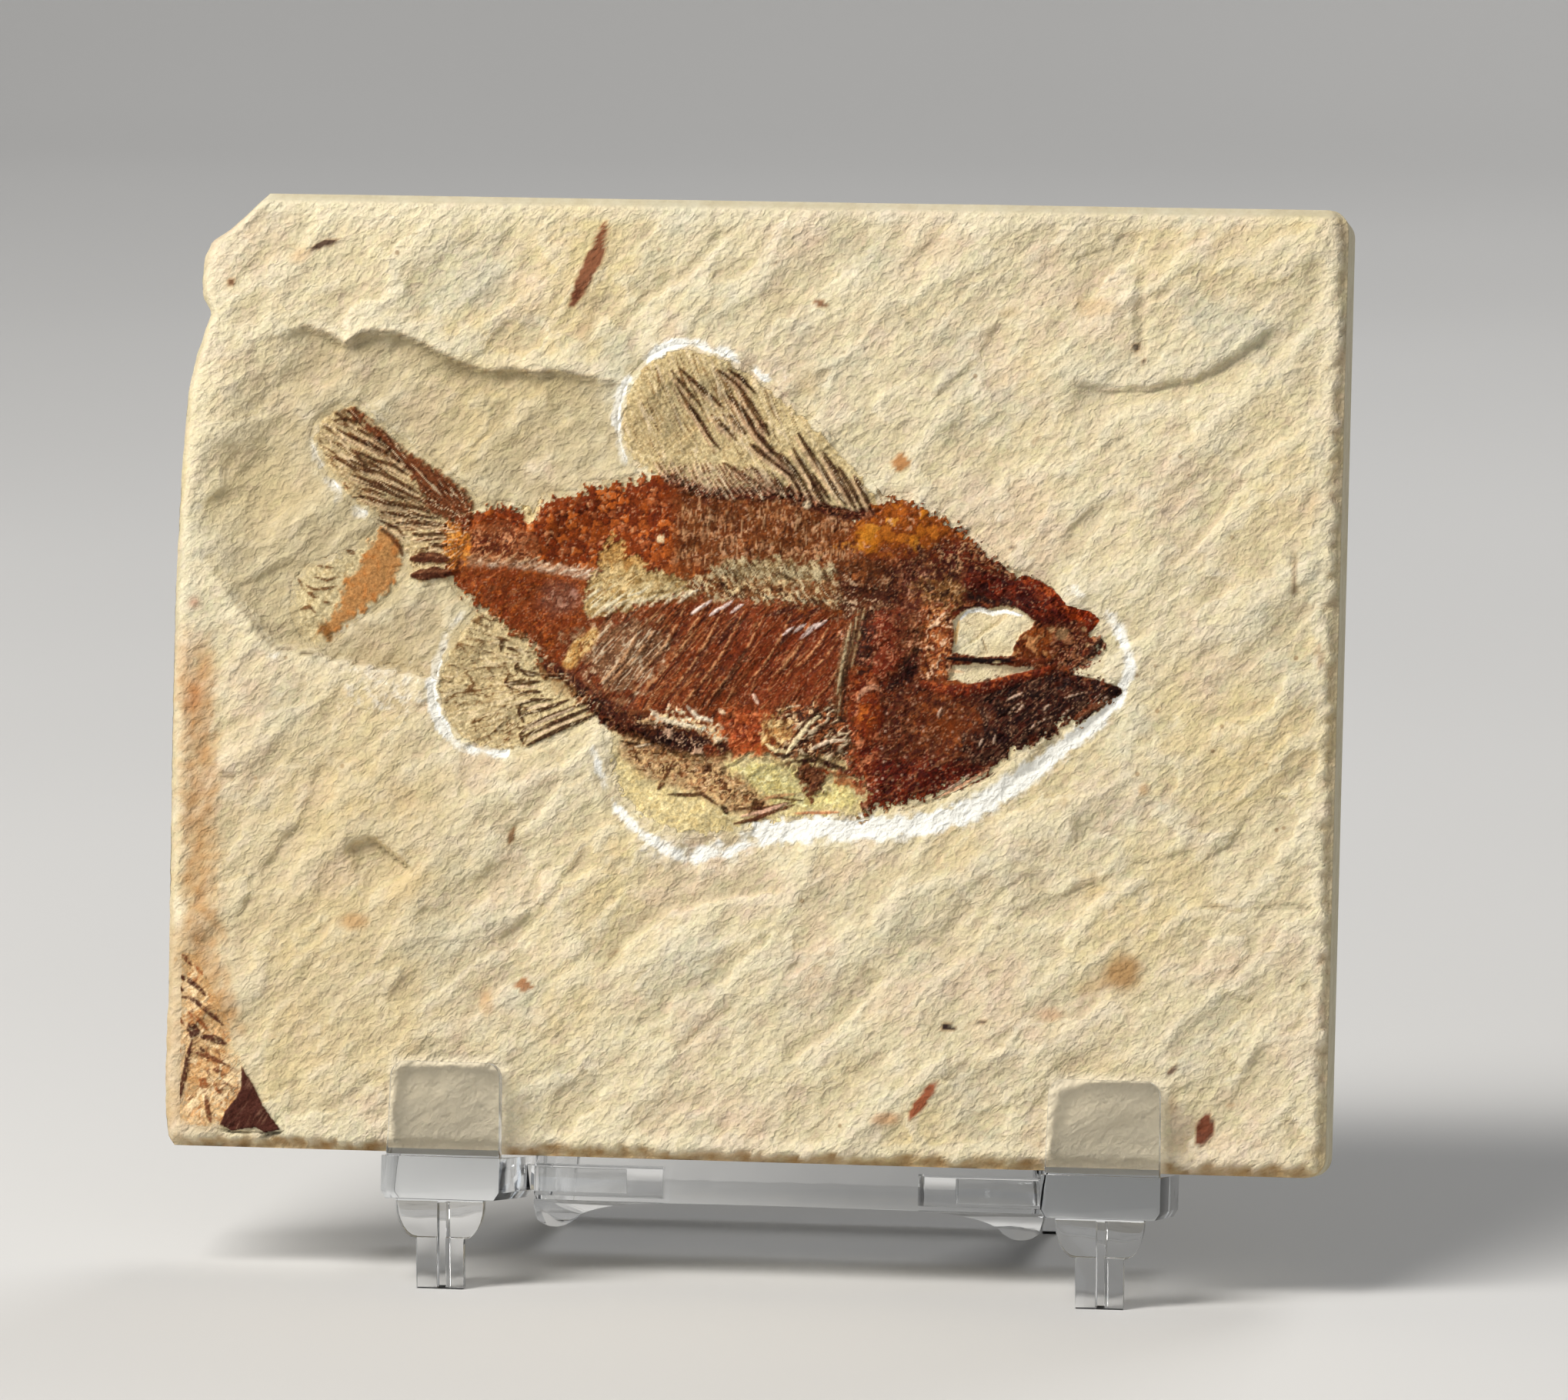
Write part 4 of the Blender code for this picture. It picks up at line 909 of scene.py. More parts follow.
@dataclass
class BonePaint:
    """Colour, cover, relief and gloss of the fossil on one grid of points."""

    x: Array
    s: Array
    layer: Array = field(init=False)
    rise: Array = field(init=False)
    gloss: Array = field(init=False)

    def __post_init__(self) -> None:
        """Start with bare stone."""
        self.layer = np.zeros(self.x.shape + (4,))
        self.layer[..., :3] = srgb("bea570")
        self.rise = np.zeros(self.x.shape)
        self.gloss = np.zeros(self.x.shape)
        self.fine = ripple(self.x, self.s, 0.34, 201, 2)
        self.small = ripple(self.x, self.s, 0.9, 202, 2)
        self.broad = ripple(self.x, self.s, 3.2, 203, 2)
        self.swirl = ripple(self.x, self.s, 0.8, 204, 2)

    def area(self, outline: Line, soft: float = 0.25, ragged: float = 0.25) -> Array:
        """Mask of an outline whose edge is twice as wide as soft, and broken up by noise as far as ragged."""
        return ease(depth_inside(self.x, self.s, outline) + ragged * (2.2 * self.small + 1.4 * self.fine), -soft,
                    soft)

    def paint(self, amount: Array, colour: str, lift: float = 0.0, shine: float = 0.0) -> None:
        """Lay one colour where amount says, and raise and polish the bone there.

        Args:
            amount: From 0 to 1.
            colour: A screen colour, as six hexadecimal digits.
            lift: Height added, in millimetres.
            shine: Gloss added.
        """
        mark(self.layer, amount, srgb(colour))
        self.rise += lift * amount
        self.gloss += shine * amount

    def stroke(self, line: Line, width: float, colour: str, strength: float = 1.0,
               lift: float = 0.04, soft: float = 0.12, broken: float = 0.0, seed: int = 0) -> None:
        """One bone or ray; also the painted highlights and shadows laid beside them.

        Args:
            line: Its points.
            width: Its width.
            colour: A screen colour, as six hexadecimal digits.
            strength: How strong it is.
            lift: Height added.
            soft: Softness of its edge.
            broken: How much noise breaks it up.
            seed: Which noise.
        """
        mask = strength * stroke_mask(self.x, self.s, line, width, soft, seed=seed)
        if broken:
            mask = mask * np.clip(1 + broken * (3.4 * self.fine + 2.6 * self.small), 0, 1)
        self.paint(mask, colour, lift)

    def mosaic(self, mask: Array, palette: str, size: tuple[float, float], degrees: float, seed: int,
               strength: float = 0.85, crack: float = 0.3, lift: float = 0.05) -> None:
        """Splintered bone: a ground colour, then ragged splinters of each further colour laid over it.

        Args:
            mask: Where, from 0 to 1.
            palette: The ground's screen colour, then the splinters'.
            size: A splinter's length and width.
            degrees: Its direction.
            seed: Which splinters.
            strength: How much they cover what lies below.
            crack: How dark the fine cracks between them are.
            lift: Height of the bright splinters above the dark ones.
        """
        near = mask > FAINT
        if not near.any():
            return
        x, s = (self.x + 0.9 * self.swirl)[near], (self.s + 0.9 * self.small)[near]
        along, across = turned(x, s, degrees)
        along = along * size[1] / size[0]
        layer, cover, rise = self.layer[near], mask[near] * strength, np.zeros(x.shape)
        for k, colour in enumerate(palette.split()):
            noise = ripple(along, across, size[1] * (1.0 + 0.35 * (k % 3)), 7 * seed + 13 * k, 3)
            amount = cover * (ease(noise, 0.10, 0.24) if k else 1.0)
            mark(layer, amount, srgb(colour) * (1 + 0.9 * noise)[:, None])
            rise += (ease(noise, 0.10, 0.30) if k else 0.0) * (sum(bytes.fromhex(colour)) / 380 - 0.75) * mask[near]
        gaps = np.abs(ripple(along, across, 0.8 * size[1], 7 * seed + 5, 2))
        mark(layer, cover * 0.6 * crack * ease(gaps, 0.05, 0.0), srgb("3a1a0e"))
        self.layer[near] = layer
        self.rise[near] += lift * rise - 0.5 * lift * mask[near] * ease(gaps, 0.06, 0.0)
        self.gloss[near] += 0.3 * mask[near] * ease(ripple(along, across, size[1], 7 * seed + 3, 2), 0.1, 0.4)

    def patch(self, outline: str, edge: tuple[float, float], *look: object) -> Array:
        """Splintered bone within an outline.

        Args:
            outline: Its corners.
            edge: Its edge's softness and raggedness.
            look: What mosaic takes after its mask.

        Returns:
            The outline's mask, from 0 to 1.
        """
        mask = self.area(outline, *edge)
        self.mosaic(mask, *look)
        return mask

    def bar(self, line: str, brush: tuple[float, ...], *look: object) -> Array:
        """Splintered bone along a line.

        Args:
            line: Its points.
            brush: What stroke_mask takes after its line.
            look: What mosaic takes after its mask.

        Returns:
            The bar's mask, from 0 to 1.
        """
        mask = stroke_mask(self.x, self.s, line, *brush)
        self.mosaic(mask, *look)
        return mask

    def scales(self, mask: Array, palette: str, pitch: tuple[float, float], lean: float, seed: int,
               rim: str, strength: float = 0.9, lift: float = 0.08) -> None:
        """Rows of small domed scales, each bright in the middle and dark round its rim, some with a painted glint on
        their upper left.

        Args:
            mask: Where, from 0 to 1.
            palette: The scales' screen colours.
            pitch: Distance between rows, and between scales in a row.
            lean: How the rows lean, in degrees.
            seed: Which scales.
            rim: The screen colour between the scales.
            strength: How much they cover.
            lift: Height of a dome.
        """
        near = mask > FAINT
        if not near.any():
            return
        x, s = (self.x + 0.55 * self.small + 0.3 * self.fine)[near], (self.s + 0.55 * self.swirl)[near]
        first, gap, pick, tone, la, lb = cells(x, s, lean, pitch[0], pitch[1], seed, 0.42, 0.5)
        colours = np.array([srgb(colour) for colour in palette.split()])
        colour = colours[np.minimum((pick * len(colours)).astype(int), len(colours) - 1)] * (0.80 + 0.40 * tone)[:,
                                                                              None]
        edge = (ease(gap + 0.35 * self.fine[near], 0.36, 0.0) * (0.35 + 0.65 * ease(tone, 0.2, 0.7)))[:, None]
        colour = colour * (1 - edge) + srgb(rim) * edge
        # Painted highlight: a pale glint towards the upper left of some scales.
        glint = ease(np.hypot(la + 0.16, lb - 0.18) + 0.3 * self.fine[near], 0.24, 0.08) * (tone > 0.5)
        colour = colour + (srgb("e2b896") - colour) * (0.7 * glint)[:, None]
        layer = self.layer[near]
        mark(layer, mask[near] * strength, np.clip(colour, 0, 1))
        self.layer[near] = layer
        self.rise[near] += mask[near] * lift * (0.7 * np.clip(1 - (first / 0.6) ** 2, 0, 1) - 0.25
                                                + 0.5 * (tone - 0.5))
        self.gloss[near] += 0.3 * mask[near] * glint

    def strands(self, mask: Array, across: Array, along: Array, pitch: float, length: float, seed: int,
                colour: str, width: float = 0.10, strength: float = 0.85, lift: float = 0.05) -> None:
        """Fine unbroken strands, drawn where a stretched noise crosses zero.

        Args:
            mask: Where, from 0 to 1.
            across: Distance across the strands.
            along: Distance along them.
            pitch: About how far apart they lie.
            length: How long they keep together.
            seed: Which strands.
            colour: A screen colour.
            width: The noise's span that counts as a strand.
            strength: How much they cover.
            lift: Height added.
        """
        near = mask > FAINT
        if not near.any():
            return
        a, b = across[near], along[near]
        line = np.abs(ripple(b * pitch / length, a, pitch, seed, 2))
        fade = ease(ripple(b * pitch / (0.55 * length), a, pitch * 1.3, seed + 5, 2), -0.35, 0.25)
        amount = np.zeros(mask.shape)
        amount[near] = mask[near] * strength * ease(line, width, 0.25 * width) * fade
        self.paint(amount, colour, lift)


@dataclass
class FishArt:
    """How the fish is drawn, from fins to jaws. Lines are in the slab's millimetres."""

    margin: float = 0.85
    torn: Array = field(init=False, repr=False)

    def outside(self, x: Array, s: Array) -> Array:
        """Depth inside the nearest of the fish's outlines, negative outside them all."""
        parts = (BODY, DORSAL_FIN, TAIL_UPPER, TAIL_LOWER, ANAL_FIN, BELLY_SKIN)
        return np.maximum.reduce([depth_inside(x, s, outline) for outline in parts])

    def paint(self, x: Array, s: Array) -> BonePaint:
        """Draw the whole fish on a grid.

        Args:
            x: Across.
            s: Up.

        Returns:
            The finished paint.
        """
        art = BonePaint(x, s)
        self.membranes(art)
        self.body(art)
        self.flank(art)
        self.ribs(art)
        self.belly(art)
        self.head(art)
        self.jaws(art)
        self.dorsal_fin(art)
        self.tail(art)
        self.anal_fin(art)
        self.grain(art)
        return art

    def membranes(self, art: BonePaint) -> None:
        """Olive fin skin, faintly mottled, a little proud of the stone."""
        mottle = 0.14 * art.small + 0.12 * art.fine
        for outline, colour, cover, lift in (
            (DORSAL_FIN, "c8b282", 0.9, 0.16), (TAIL_UPPER, "c5ad80", 0.9, 0.16), (TAIL_LOWER, "cebc90", 0.6, 0.1),
            (ANAL_FIN, "cbb688", 0.85, 0.12), (BELLY_SKIN, "d0be90", 0.65, 0.08),
        ):
            mask = art.area(outline, 0.16, 0.16)
            art.paint(mask * np.clip(cover + mottle, 0, 1), colour, lift)
            art.paint(0.45 * mask * ease(art.broad, 0.05, 0.4), "d6c496", 0.03)
            art.paint(0.40 * mask * ease(art.small, 0.12, 0.45), "a88e60", -0.03)
            art.paint(0.35 * mask * ease(art.fine, 0.15, 0.4), "e4d4ac", 0.03)
            art.paint(0.35 * mask * ease(-art.fine, 0.15, 0.4), "967a4e", -0.03)

    def body(self, art: BonePaint) -> None:
        """The rust-brown body: a plateau with a torn, scalloped edge and a soft shoulder."""
        x, s = art.x, art.s
        tips = 0.22 * np.cos(x * 2 * math.pi / 1.22 + 1.5 * art.broad) * ease(s, 59.5, 61) * ease(x, -7, -9)
        self.torn = depth_inside(x, s, BODY) + 0.75 * art.small + 0.65 * art.fine + 0.4 * art.swirl + tips
        mask = ease(self.torn, -0.10, 0.12)
        art.paint(mask, "8a4a22", 0.24, 0.35)
        art.rise += 0.18 * ease(self.torn, 0.0, 2.2)
        art.mosaic(mask * 0.9, "964e1e 84401a 703214 a45c28 8c4c24 602810", (1.1, 0.6), 70, 611, 0.7, 0.35)
        halo = ease(self.torn, 0.0, -0.5) * ease(self.torn, -1.0, -0.3)
        art.paint(halo * 0.35 * ease(art.fine, 0.0, 0.5), "966a3c", 0.03)

    def flank(self, art: BonePaint) -> None:
        """Scale rows above the backbone, its silvery band, and the bare olive patch below it."""
        x, s = art.x, art.s
        body = ease(self.torn, 0.0, 0.35)
        upper = body * ease(s + 0.6 * art.small, 55.2, 56.4) * ease(x, -29.5, -28)
        rear = upper * ease(x + 0.8 * art.small, -6.0, -8.5)
        art.scales(rear, "aa5c22 984c1a 883e16 b2642c a0603e 7c3614", (1.0, 0.86), 4, 621, "542410", 0.75, 0.07)
        art.paint(rear * 0.35 * ease(art.small + 0.4 * art.broad, 0.25, 0.9), "be702c")
        pink = rear * ease(away(x, s, -25, 57.2, 4.0, 2.2), 1.2, 0.5)
        art.mosaic(pink, "ba8868 70361e 462216 d0aa8e 8c5434 622c18", (0.62, 0.36), 30, 622, 0.8)
        mid = upper * ease(x + 0.6 * art.small, -8.5, -6.5) * ease(x + 0.8 * art.small, 10.4, 8.6)
        art.scales(mid, "9c643a 8a542c ae7a50 804c28 bc8c64 925c32", (0.88, 0.66), 6, 623, "5c321c", 0.70, 0.05)
        art.strands(mid, x + 0.09 * (s - 56), s, 0.5, 2.6, 624, "d6ac82", 0.13, 0.6, 0.04)
        art.strands(mid, x + 0.12 * (s - 56), s, 0.55, 2.4, 625, "4e2612", 0.16, 0.7, -0.04)
        art.paint(mid * ease(s, 61.0, 62.4) * 0.6 * ease(art.small, -0.4, 0.5), "602818")
        nape = art.area("8.2 58 9.4 59.6 10.4 60.8 11.6 61.8 13.4 62.3 15.8 61.4 18.4 60 18 57.8 15 56.8 11.4 56.8",
                        0.5, 0.6)
        art.scales(nape, "ba7018 aa5c12 964812 c68630 843810 b0621a 6e280e", (1.0, 0.9), 24, 626, "703810", 0.80,
                   0.09)
        art.paint(nape * 0.55 * ease(away(x, s, 10.6, 58.6), 1.8, 0.6), "b87010")
        art.paint(nape * 0.16, "ce7e1e")
        band = ease(np.abs(s - np.interp(x, [-28, -22, -17, -14, -8], [55.9, 55.7, 55.0, 54.6, 54.4]))
                    + 0.3 * art.small, 0.7, 0.15)
        band = band * ease(x, -28.6, -27) * ease(x, -13.0, -15.5) * body
        art.mosaic(band, "c8ac90 967056 5c3c2e b08e70 785038", (0.9, 0.3), 22, 627, 0.42)
        art.strands(band, s - 0.12 * x, x, 0.5, 3.0, 628, "e2c8ae", 0.10, 0.5, 0.05)
        for k in range(30):
            a = -27.6 + 0.42 * k
            b = float(np.interp(a, [-28, -22, -17, -14], [56.6, 56.0, 55.3, 54.8])) + 0.35 * math.sin(2.3 * k)
            art.stroke(((a, b - 0.35), (a + 0.7, b - 0.1 + 0.2 * math.sin(k)), (a + 1.1, b + 0.3)), 0.22,
                       "e2ccb0 ceaa8a e8d6be".split()[k % 3], 0.8, 0.07, broken=0.9, seed=k + 40)
        grey = art.patch("-4.6 55.2 -2 56.4 3 56.5 7.4 56.2 8 55 5 53.9 0 53.6 -4.4 54", (0.45, 0.5),
                         "baac86 96805c ccbe9a 74583a a8946e", (1.1, 0.32), -52, 629, 0.85, 0.5, 0.06)
        low = art.patch("-7 54.6 -4 55 2 54.2 8 54.6 10 52 4 51.6 -1 52 -6.6 52.2", (0.5, 0.5),
                        "966a42 683e24 be966a 462818 845430 ceb68a", (0.7, 0.34), -46, 630, 0.85)
        zone, spine = np.maximum(grey, low), x * 0.82 + s * 0.57
        art.strands(zone, spine, s, 0.55, 2.4, 631, "3e2416", 0.17, 0.85, -0.04)
        art.strands(zone, spine + 0.3, s, 0.6, 2.4, 632, "decca4", 0.13, 0.75, 0.05)
        patch = art.patch("-13.8 58.4 -12.9 58.2 -12.4 56.8 -11 56.6 -10.2 55.6 -9 55.2 -7.4 54.8 -6 53.6 -7 52.8 "
                          "-9 52.3 -11 51.4 -12.5 50.7 -15.8 50.8 -16.4 52 -15.8 54 -15 55.4 -14.8 57", (0.16, 0.4),
                          "c2aa78 b29664 d2be90 a48452 c8b082", (0.8, 0.4), 40, 633, 0.97, 0.28, 0.05)
        art.rise -= 0.20 * patch
        art.strands(patch, s - 0.2 * x, x, 0.6, 1.2, 634, "9e8858", 0.12, 0.6, -0.02)
        art.strands(patch * ease(s, 54.4, 53.2), s - 0.75 * x, x, 1.0, 3.4, 635, "f6ecce", 0.16, 0.9, 0.08)
        for k in range(7):
            a = -15.4 + 1.3 * k
            line = ((a, 50.8 + 0.16 * k), (a + 1.1, 51.8 + 0.2 * k), (a + 2.3, 52.4 + 0.2 * k))
            art.stroke(line, 0.36, "f4e6c4", 0.85, 0.09, broken=0.35, seed=k)
            # Painted shadow: a darker copy of each stroke below and to its right.
            art.stroke(moved(line, 0.25, -0.35), 0.3, "805830", 0.7, -0.03, broken=0.3, seed=k + 20)
        deepen(art.layer, rear, (0.94, 0.76, 0.56))
        deepen(art.layer, pink, (0.78, 0.66, 0.60))
        deepen(art.layer, mid, (0.90, 0.86, 0.82))
        deepen(art.layer, np.maximum(0.9 * grey, 1.5 * patch), (0.84, 0.82, 0.78))
        pale = ease(away(x, s, -9.0, 58.3) + 0.25 * art.fine, 0.55, 0.25)
        art.paint(pale * 0.85, "e8cea0", 0.03)
        art.bar("-8.4 63.9 -6.4 63.3 -4.6 62.7 -2 62.7 0 62.9 3 62.9 5.2 62 7 61.3 9 60.9 10.8 61.2",
                (1.1, 0.4, 0.2, 9), "421c14 602c1e 301410 8c5c42 54241a", (0.7, 0.35), -30, 636, 0.9)
        low_rear = art.area("-28.8 54 -27 55 -24 55 -17.4 54.2 -16.6 51 -16.8 48.2 -18.2 45.2 -20.4 45.2 -21.2 48 "
                            "-24.4 50.2 -28.4 52.8", 0.5, 0.3)
        art.mosaic(low_rear * body, "964616 883c14 783212 a45420 924c28 823a18", (0.9, 0.45), 40, 637, 0.85, 0.3,
                   0.04)
        art.strands(low_rear * body, s - 0.55 * x, x, 0.7, 3.0, 638, "b2744e", 0.10, 0.55, 0.03)
        art.paint(low_rear * body * 0.5 * ease(art.broad, 0.2, 0.8), "702c12")
        mauve = ease(away(x, s, -18.6, 52.6, 2.6, 2.0) + 0.2 * art.small, 1.1, 0.4)
        art.mosaic(mauve * body, "885c54 6e3a2c a87c6a 5c2e24", (0.8, 0.36), 36, 639, 0.6)
        deepen(art.layer, low_rear * body, (0.82, 0.84, 0.80))
        notch = art.area("-22.9 62.2 -22.3 60.8 -21.8 59.7 -21.2 60.5 -20.7 62.2", 0.15, 0.25)
        art.paint(notch * 0.95, "d4c090", -0.3)
        art.patch("-29.9 55.7 -30 59.5 -28.8 59.4 -27.6 58.2 -27.8 56", (0.4, 0.4), "bc7628 ac621e c48a42 96501a",
                  (0.9, 0.6), 70, 640, 0.85, 0.3)

    def ribs(self, art: BonePaint) -> None:
        """Ribs as long curved strands that steepen downwards, pale and dark on rust."""
        x, s = art.x, art.s
        zone = art.area("-18.4 49 -15 50.6 -11 51.6 -6 52.6 0 52.4 6 52 9.2 51.6 8.6 46 8.4 41.6 4 40.4 0 39.4 -3 "
                        "40.8 -9 42 -13.6 42 -17.6 45", 0.5, 0.5)
        zone = zone * ease(self.torn, 0.0, 0.4)
        across = x - 0.75 * (s - 47) - 0.020 * (s - 47) ** 2
        along = s * 1.25
        wide = ripple(along * 0.11, across, 0.95, 651, 2)
        art.paint(zone * 0.95, "8e421c", 0.0, 0.2)
        art.paint(zone * 0.85 * ease(wide, 0.0, 0.5), "a4582c", 0.06)
        art.paint(zone * 0.85 * ease(-wide, 0.08, 0.5), "642812", -0.06)
        art.mosaic(zone, "96481e 823a1a 6c2e16 a65e36 5a2412", (1.6, 0.34), 57, 652, 0.5, 0.3, 0.04)
        art.strands(zone, across, along, 0.85, 7.0, 653, "c48e60", 0.08, 0.8, 0.08)
        art.strands(zone, across + 0.25, along, 0.80, 6.0, 654, "3e180c", 0.13, 0.85, -0.06)
        art.strands(zone, across - 0.1, along, 0.55, 4.0, 655, "ac7048", 0.10, 0.6, 0.05)
        art.strands(zone, across, along, 0.6, 3.6, 656, "542210", 0.12, 0.6, -0.04)
        grey = art.area("-18 49.2 -13.6 50.2 -9.6 50.4 -8 48.6 -9.6 45.4 -12.4 43.2 -15.4 45.8", 0.9, 0.8) * zone
        art.mosaic(grey, "987a60 705240 ba9c7c 54342a 865c42", (1.8, 0.3), 46, 657, 0.62, 0.4, 0.05)
        art.strands(grey, across * 0.9, along, 0.7, 4.0, 658, "e2caac", 0.12, 0.8, 0.06)
        art.bar("-17.6 46.4 -16.6 47.8 -15.2 49.2", (1.5, 0.5, 0.3), "c49c5c a87438 844c22 d6b680", (1.4, 0.28), 48,
                659, 0.8)
        deepen(art.layer, zone, (0.90, 0.90, 0.86))
        red = art.area("-1 51.6 4.6 51.8 8.8 51 8.4 43.6 3.6 41.8 -1.4 44 -2.6 48", 1.0, 0.8) * zone
        art.paint(red * 0.35, "883414")
        for k, pair in enumerate(("-6.4 52.2 -10.6 45.6", "-4.6 52.2 -9.4 44.6", "-2.8 52 -8.4 42.8",
                                  "-0.8 51.8 -6.2 43", "1.2 51.6 -4 43.2",
                                        "3.6 51.4 -0.6 44.6", "5.4 50.6 1.8 45.4", "7.4 50.8 3.4 45.8",
                                        "8.4 50.2 5.2 45.8", "8.8 49.6 7.4 45",
                                        "-8.6 51.2 -13.4 44.8", "-10.6 50.2 -14.6 44.4")):
            top, tip = points_of(pair)
            line = smooth_line(np.array([top, (top + tip) / 2 + (0.35, -0.3), tip]), 5)
            art.stroke(line, 0.22, "ce9868", 0.65, 0.08, broken=1.0, seed=k)
            # Painted shadow: a dark copy of each rib below and to its right.
            art.stroke(moved(line, 0.3, -0.22), 0.26, "3a160a", 0.7, -0.04, broken=0.7, seed=k + 40)
        for k, (a, b) in enumerate(points_of("-5.4 51.7 -4.6 52.2 -3.6 51.6 -2.6 52.2 -1.6 51.9 3.4 49.9 4.4 50.2 5 "
                                             "49.6 5.6 50.3 6.4 50.6")):
            art.stroke(((a - 0.5, b - 0.4), (a, b), (a + 0.6, b + 0.4)), 0.3, "f0d8cc", 0.9, 0.09, broken=0.3,
                       seed=k + 60)
        for k, line in enumerate(("1.2 51.2 4.4 52.3", "3.2 50.6 6.8 52.3", "-3.2 48.4 -1.4 51",
                                  "-2.2 45.4 -0.4 48.2", "2.4 48.4 4.4 50.6")):
            art.stroke(line, 0.42, "361410", 0.8, -0.04, broken=0.5, seed=k + 75)

    def belly(self, art: BonePaint) -> None:
        """The torn lower edge: dark clots, pale olive skin and fine loose bones."""
        x, s = art.x, art.s
        edge = stroke_mask(x, s, "-19.6 45.4 -18 44.4 -14.6 42.2 -11 40.6 -8 39.4 -5.4 39 -3 38.6", 2.6, 0.9, 0.2, 3)
        edge = edge * ease(depth_inside(x, s, BODY) + 0.5 * art.small, -0.6, 0.1)
        art.mosaic(edge, "5c281a 3a1a16 824a2c 4e2c22 a87854 683c28 2c120e", (0.75, 0.36), -22, 661, 0.9)
        art.patch("-9.8 41.4 -7.4 42 -4.4 41.2 -2 40.8 -1.8 39.4 -3 38.8 -5 40.3 -8 40.7", (0.3, 0.6),
                  "e8d6b0 cea87c f4e8c8 b2703e d6ba8c 783c1e", (0.9, 0.5), -24, 662, 0.95, 0.35, 0.08)
        clot = art.patch("-10.2 39.8 -8.2 40.5 -5.6 40.3 -3.8 39.2 -3.2 38.2 -4.6 37.4 -6.4 37.8 -8.4 38 -9.6 38.8",
                         (0.35, 0.6), "2e1414 421e1a 220e0e 5a3226 381c1e d6baa0", (0.55, 0.36), -10, 663, 0.97, 0.4,
                         0.12)
        art.patch("-3 41.4 -0.6 42.6 2.2 42.2 1.8 39.6 0.4 38 -1.4 38.3", (0.4, 0.5),
                  "a04c20 8c3c18 762e12 b6683e 96421e", (0.9, 0.5), 60, 664, 0.9)
        art.bar("-3.8 38.6 -3 37.4 -2.2 36.6 -2.6 35.8", (1.3, 0.4, 0.3, 4), "924824 74321a aa603c", (0.7, 0.4), -40,
                665, 0.9)
        knot = art.patch("2.6 42.4 6 43 8.4 42.6 10.4 41.2 10.4 38.6 8.8 37.2 6.2 37 4.2 37.4 2.4 38.6", (0.5, 0.7),
                         "603422 402418 844c2e ceac82 543826 9e5c34 301a12", (0.9, 0.42), 32, 666, 0.95, 0.5, 0.10)
        art.strands(knot, s - 0.55 * x, x, 0.9, 2.4, 667, "e8d0aa", 0.15, 0.85, 0.12)
        art.strands(knot, s - 0.3 * x, x, 0.8, 2.2, 668, "2a140e", 0.15, 0.8, -0.05)
        art.patch("1.4 41.6 3.4 42 4.2 40.6 3.2 39.2 1.6 39.4", (0.4, 0.6), "bc945c 966836 ceb07c 74421e", (0.7, 0.5),
                  20, 669, 0.85)
        skin = art.area(BELLY_SKIN, 0.3, 0.4) * ease(s + 0.5 * art.small, 38.6, 37.0)
        art.mosaic(skin, "d4c28e c8b27c dccc9c bea670 ceba82", (1.1, 0.5), 12, 670, 0.6, 0.22, 0.04)
        green = art.patch("-2 37.2 1 37.4 4.6 36.6 4.8 34.6 9.6 36 10.4 33.8 6 33.4 2 33.6 -1.8 34", (0.5, 0.5),
                          "cec48a beb070 dad09c b09e60 c8b87a", (1.2, 0.34), 14, 671, 0.85, 0.25, 0.05)
        art.strands(green, s - 0.3 * x, x, 0.7, 2.4, 672, "967a46", 0.12, 0.6, -0.03)
        lane = art.bar("-11 38.4 -8 36.9 -4.6 36 -1.6 34.7 1 33.4", (3.0, 1.2, 0.3, 5), "c49c70 966844 6c422a "
                       "dcba92 b08258 4e2e1e ceac7a", (0.6, 0.36), -24, 673, 0.8, 0.4, 0.06)
        art.patch("4.6 37.6 5 35.4 5.8 34.2 6.8 34.8 7.2 36.4 7.4 37.6", (0.25, 0.4), "74422c 5e3222 8c5c40 46241a",
                  (0.7, 0.4), 70, 674, 0.92)
        ledge = art.area("6.8 37 9.4 36.6 11 35.6 11 34.8 8.6 35.6", 0.25, 0.4)
        art.paint(ledge * 0.8, "92461a", 0.06)
        deepen(art.layer, np.maximum(edge, clot), (0.66, 0.56, 0.50))
        deepen(art.layer, lane, (0.86, 0.84, 0.80))
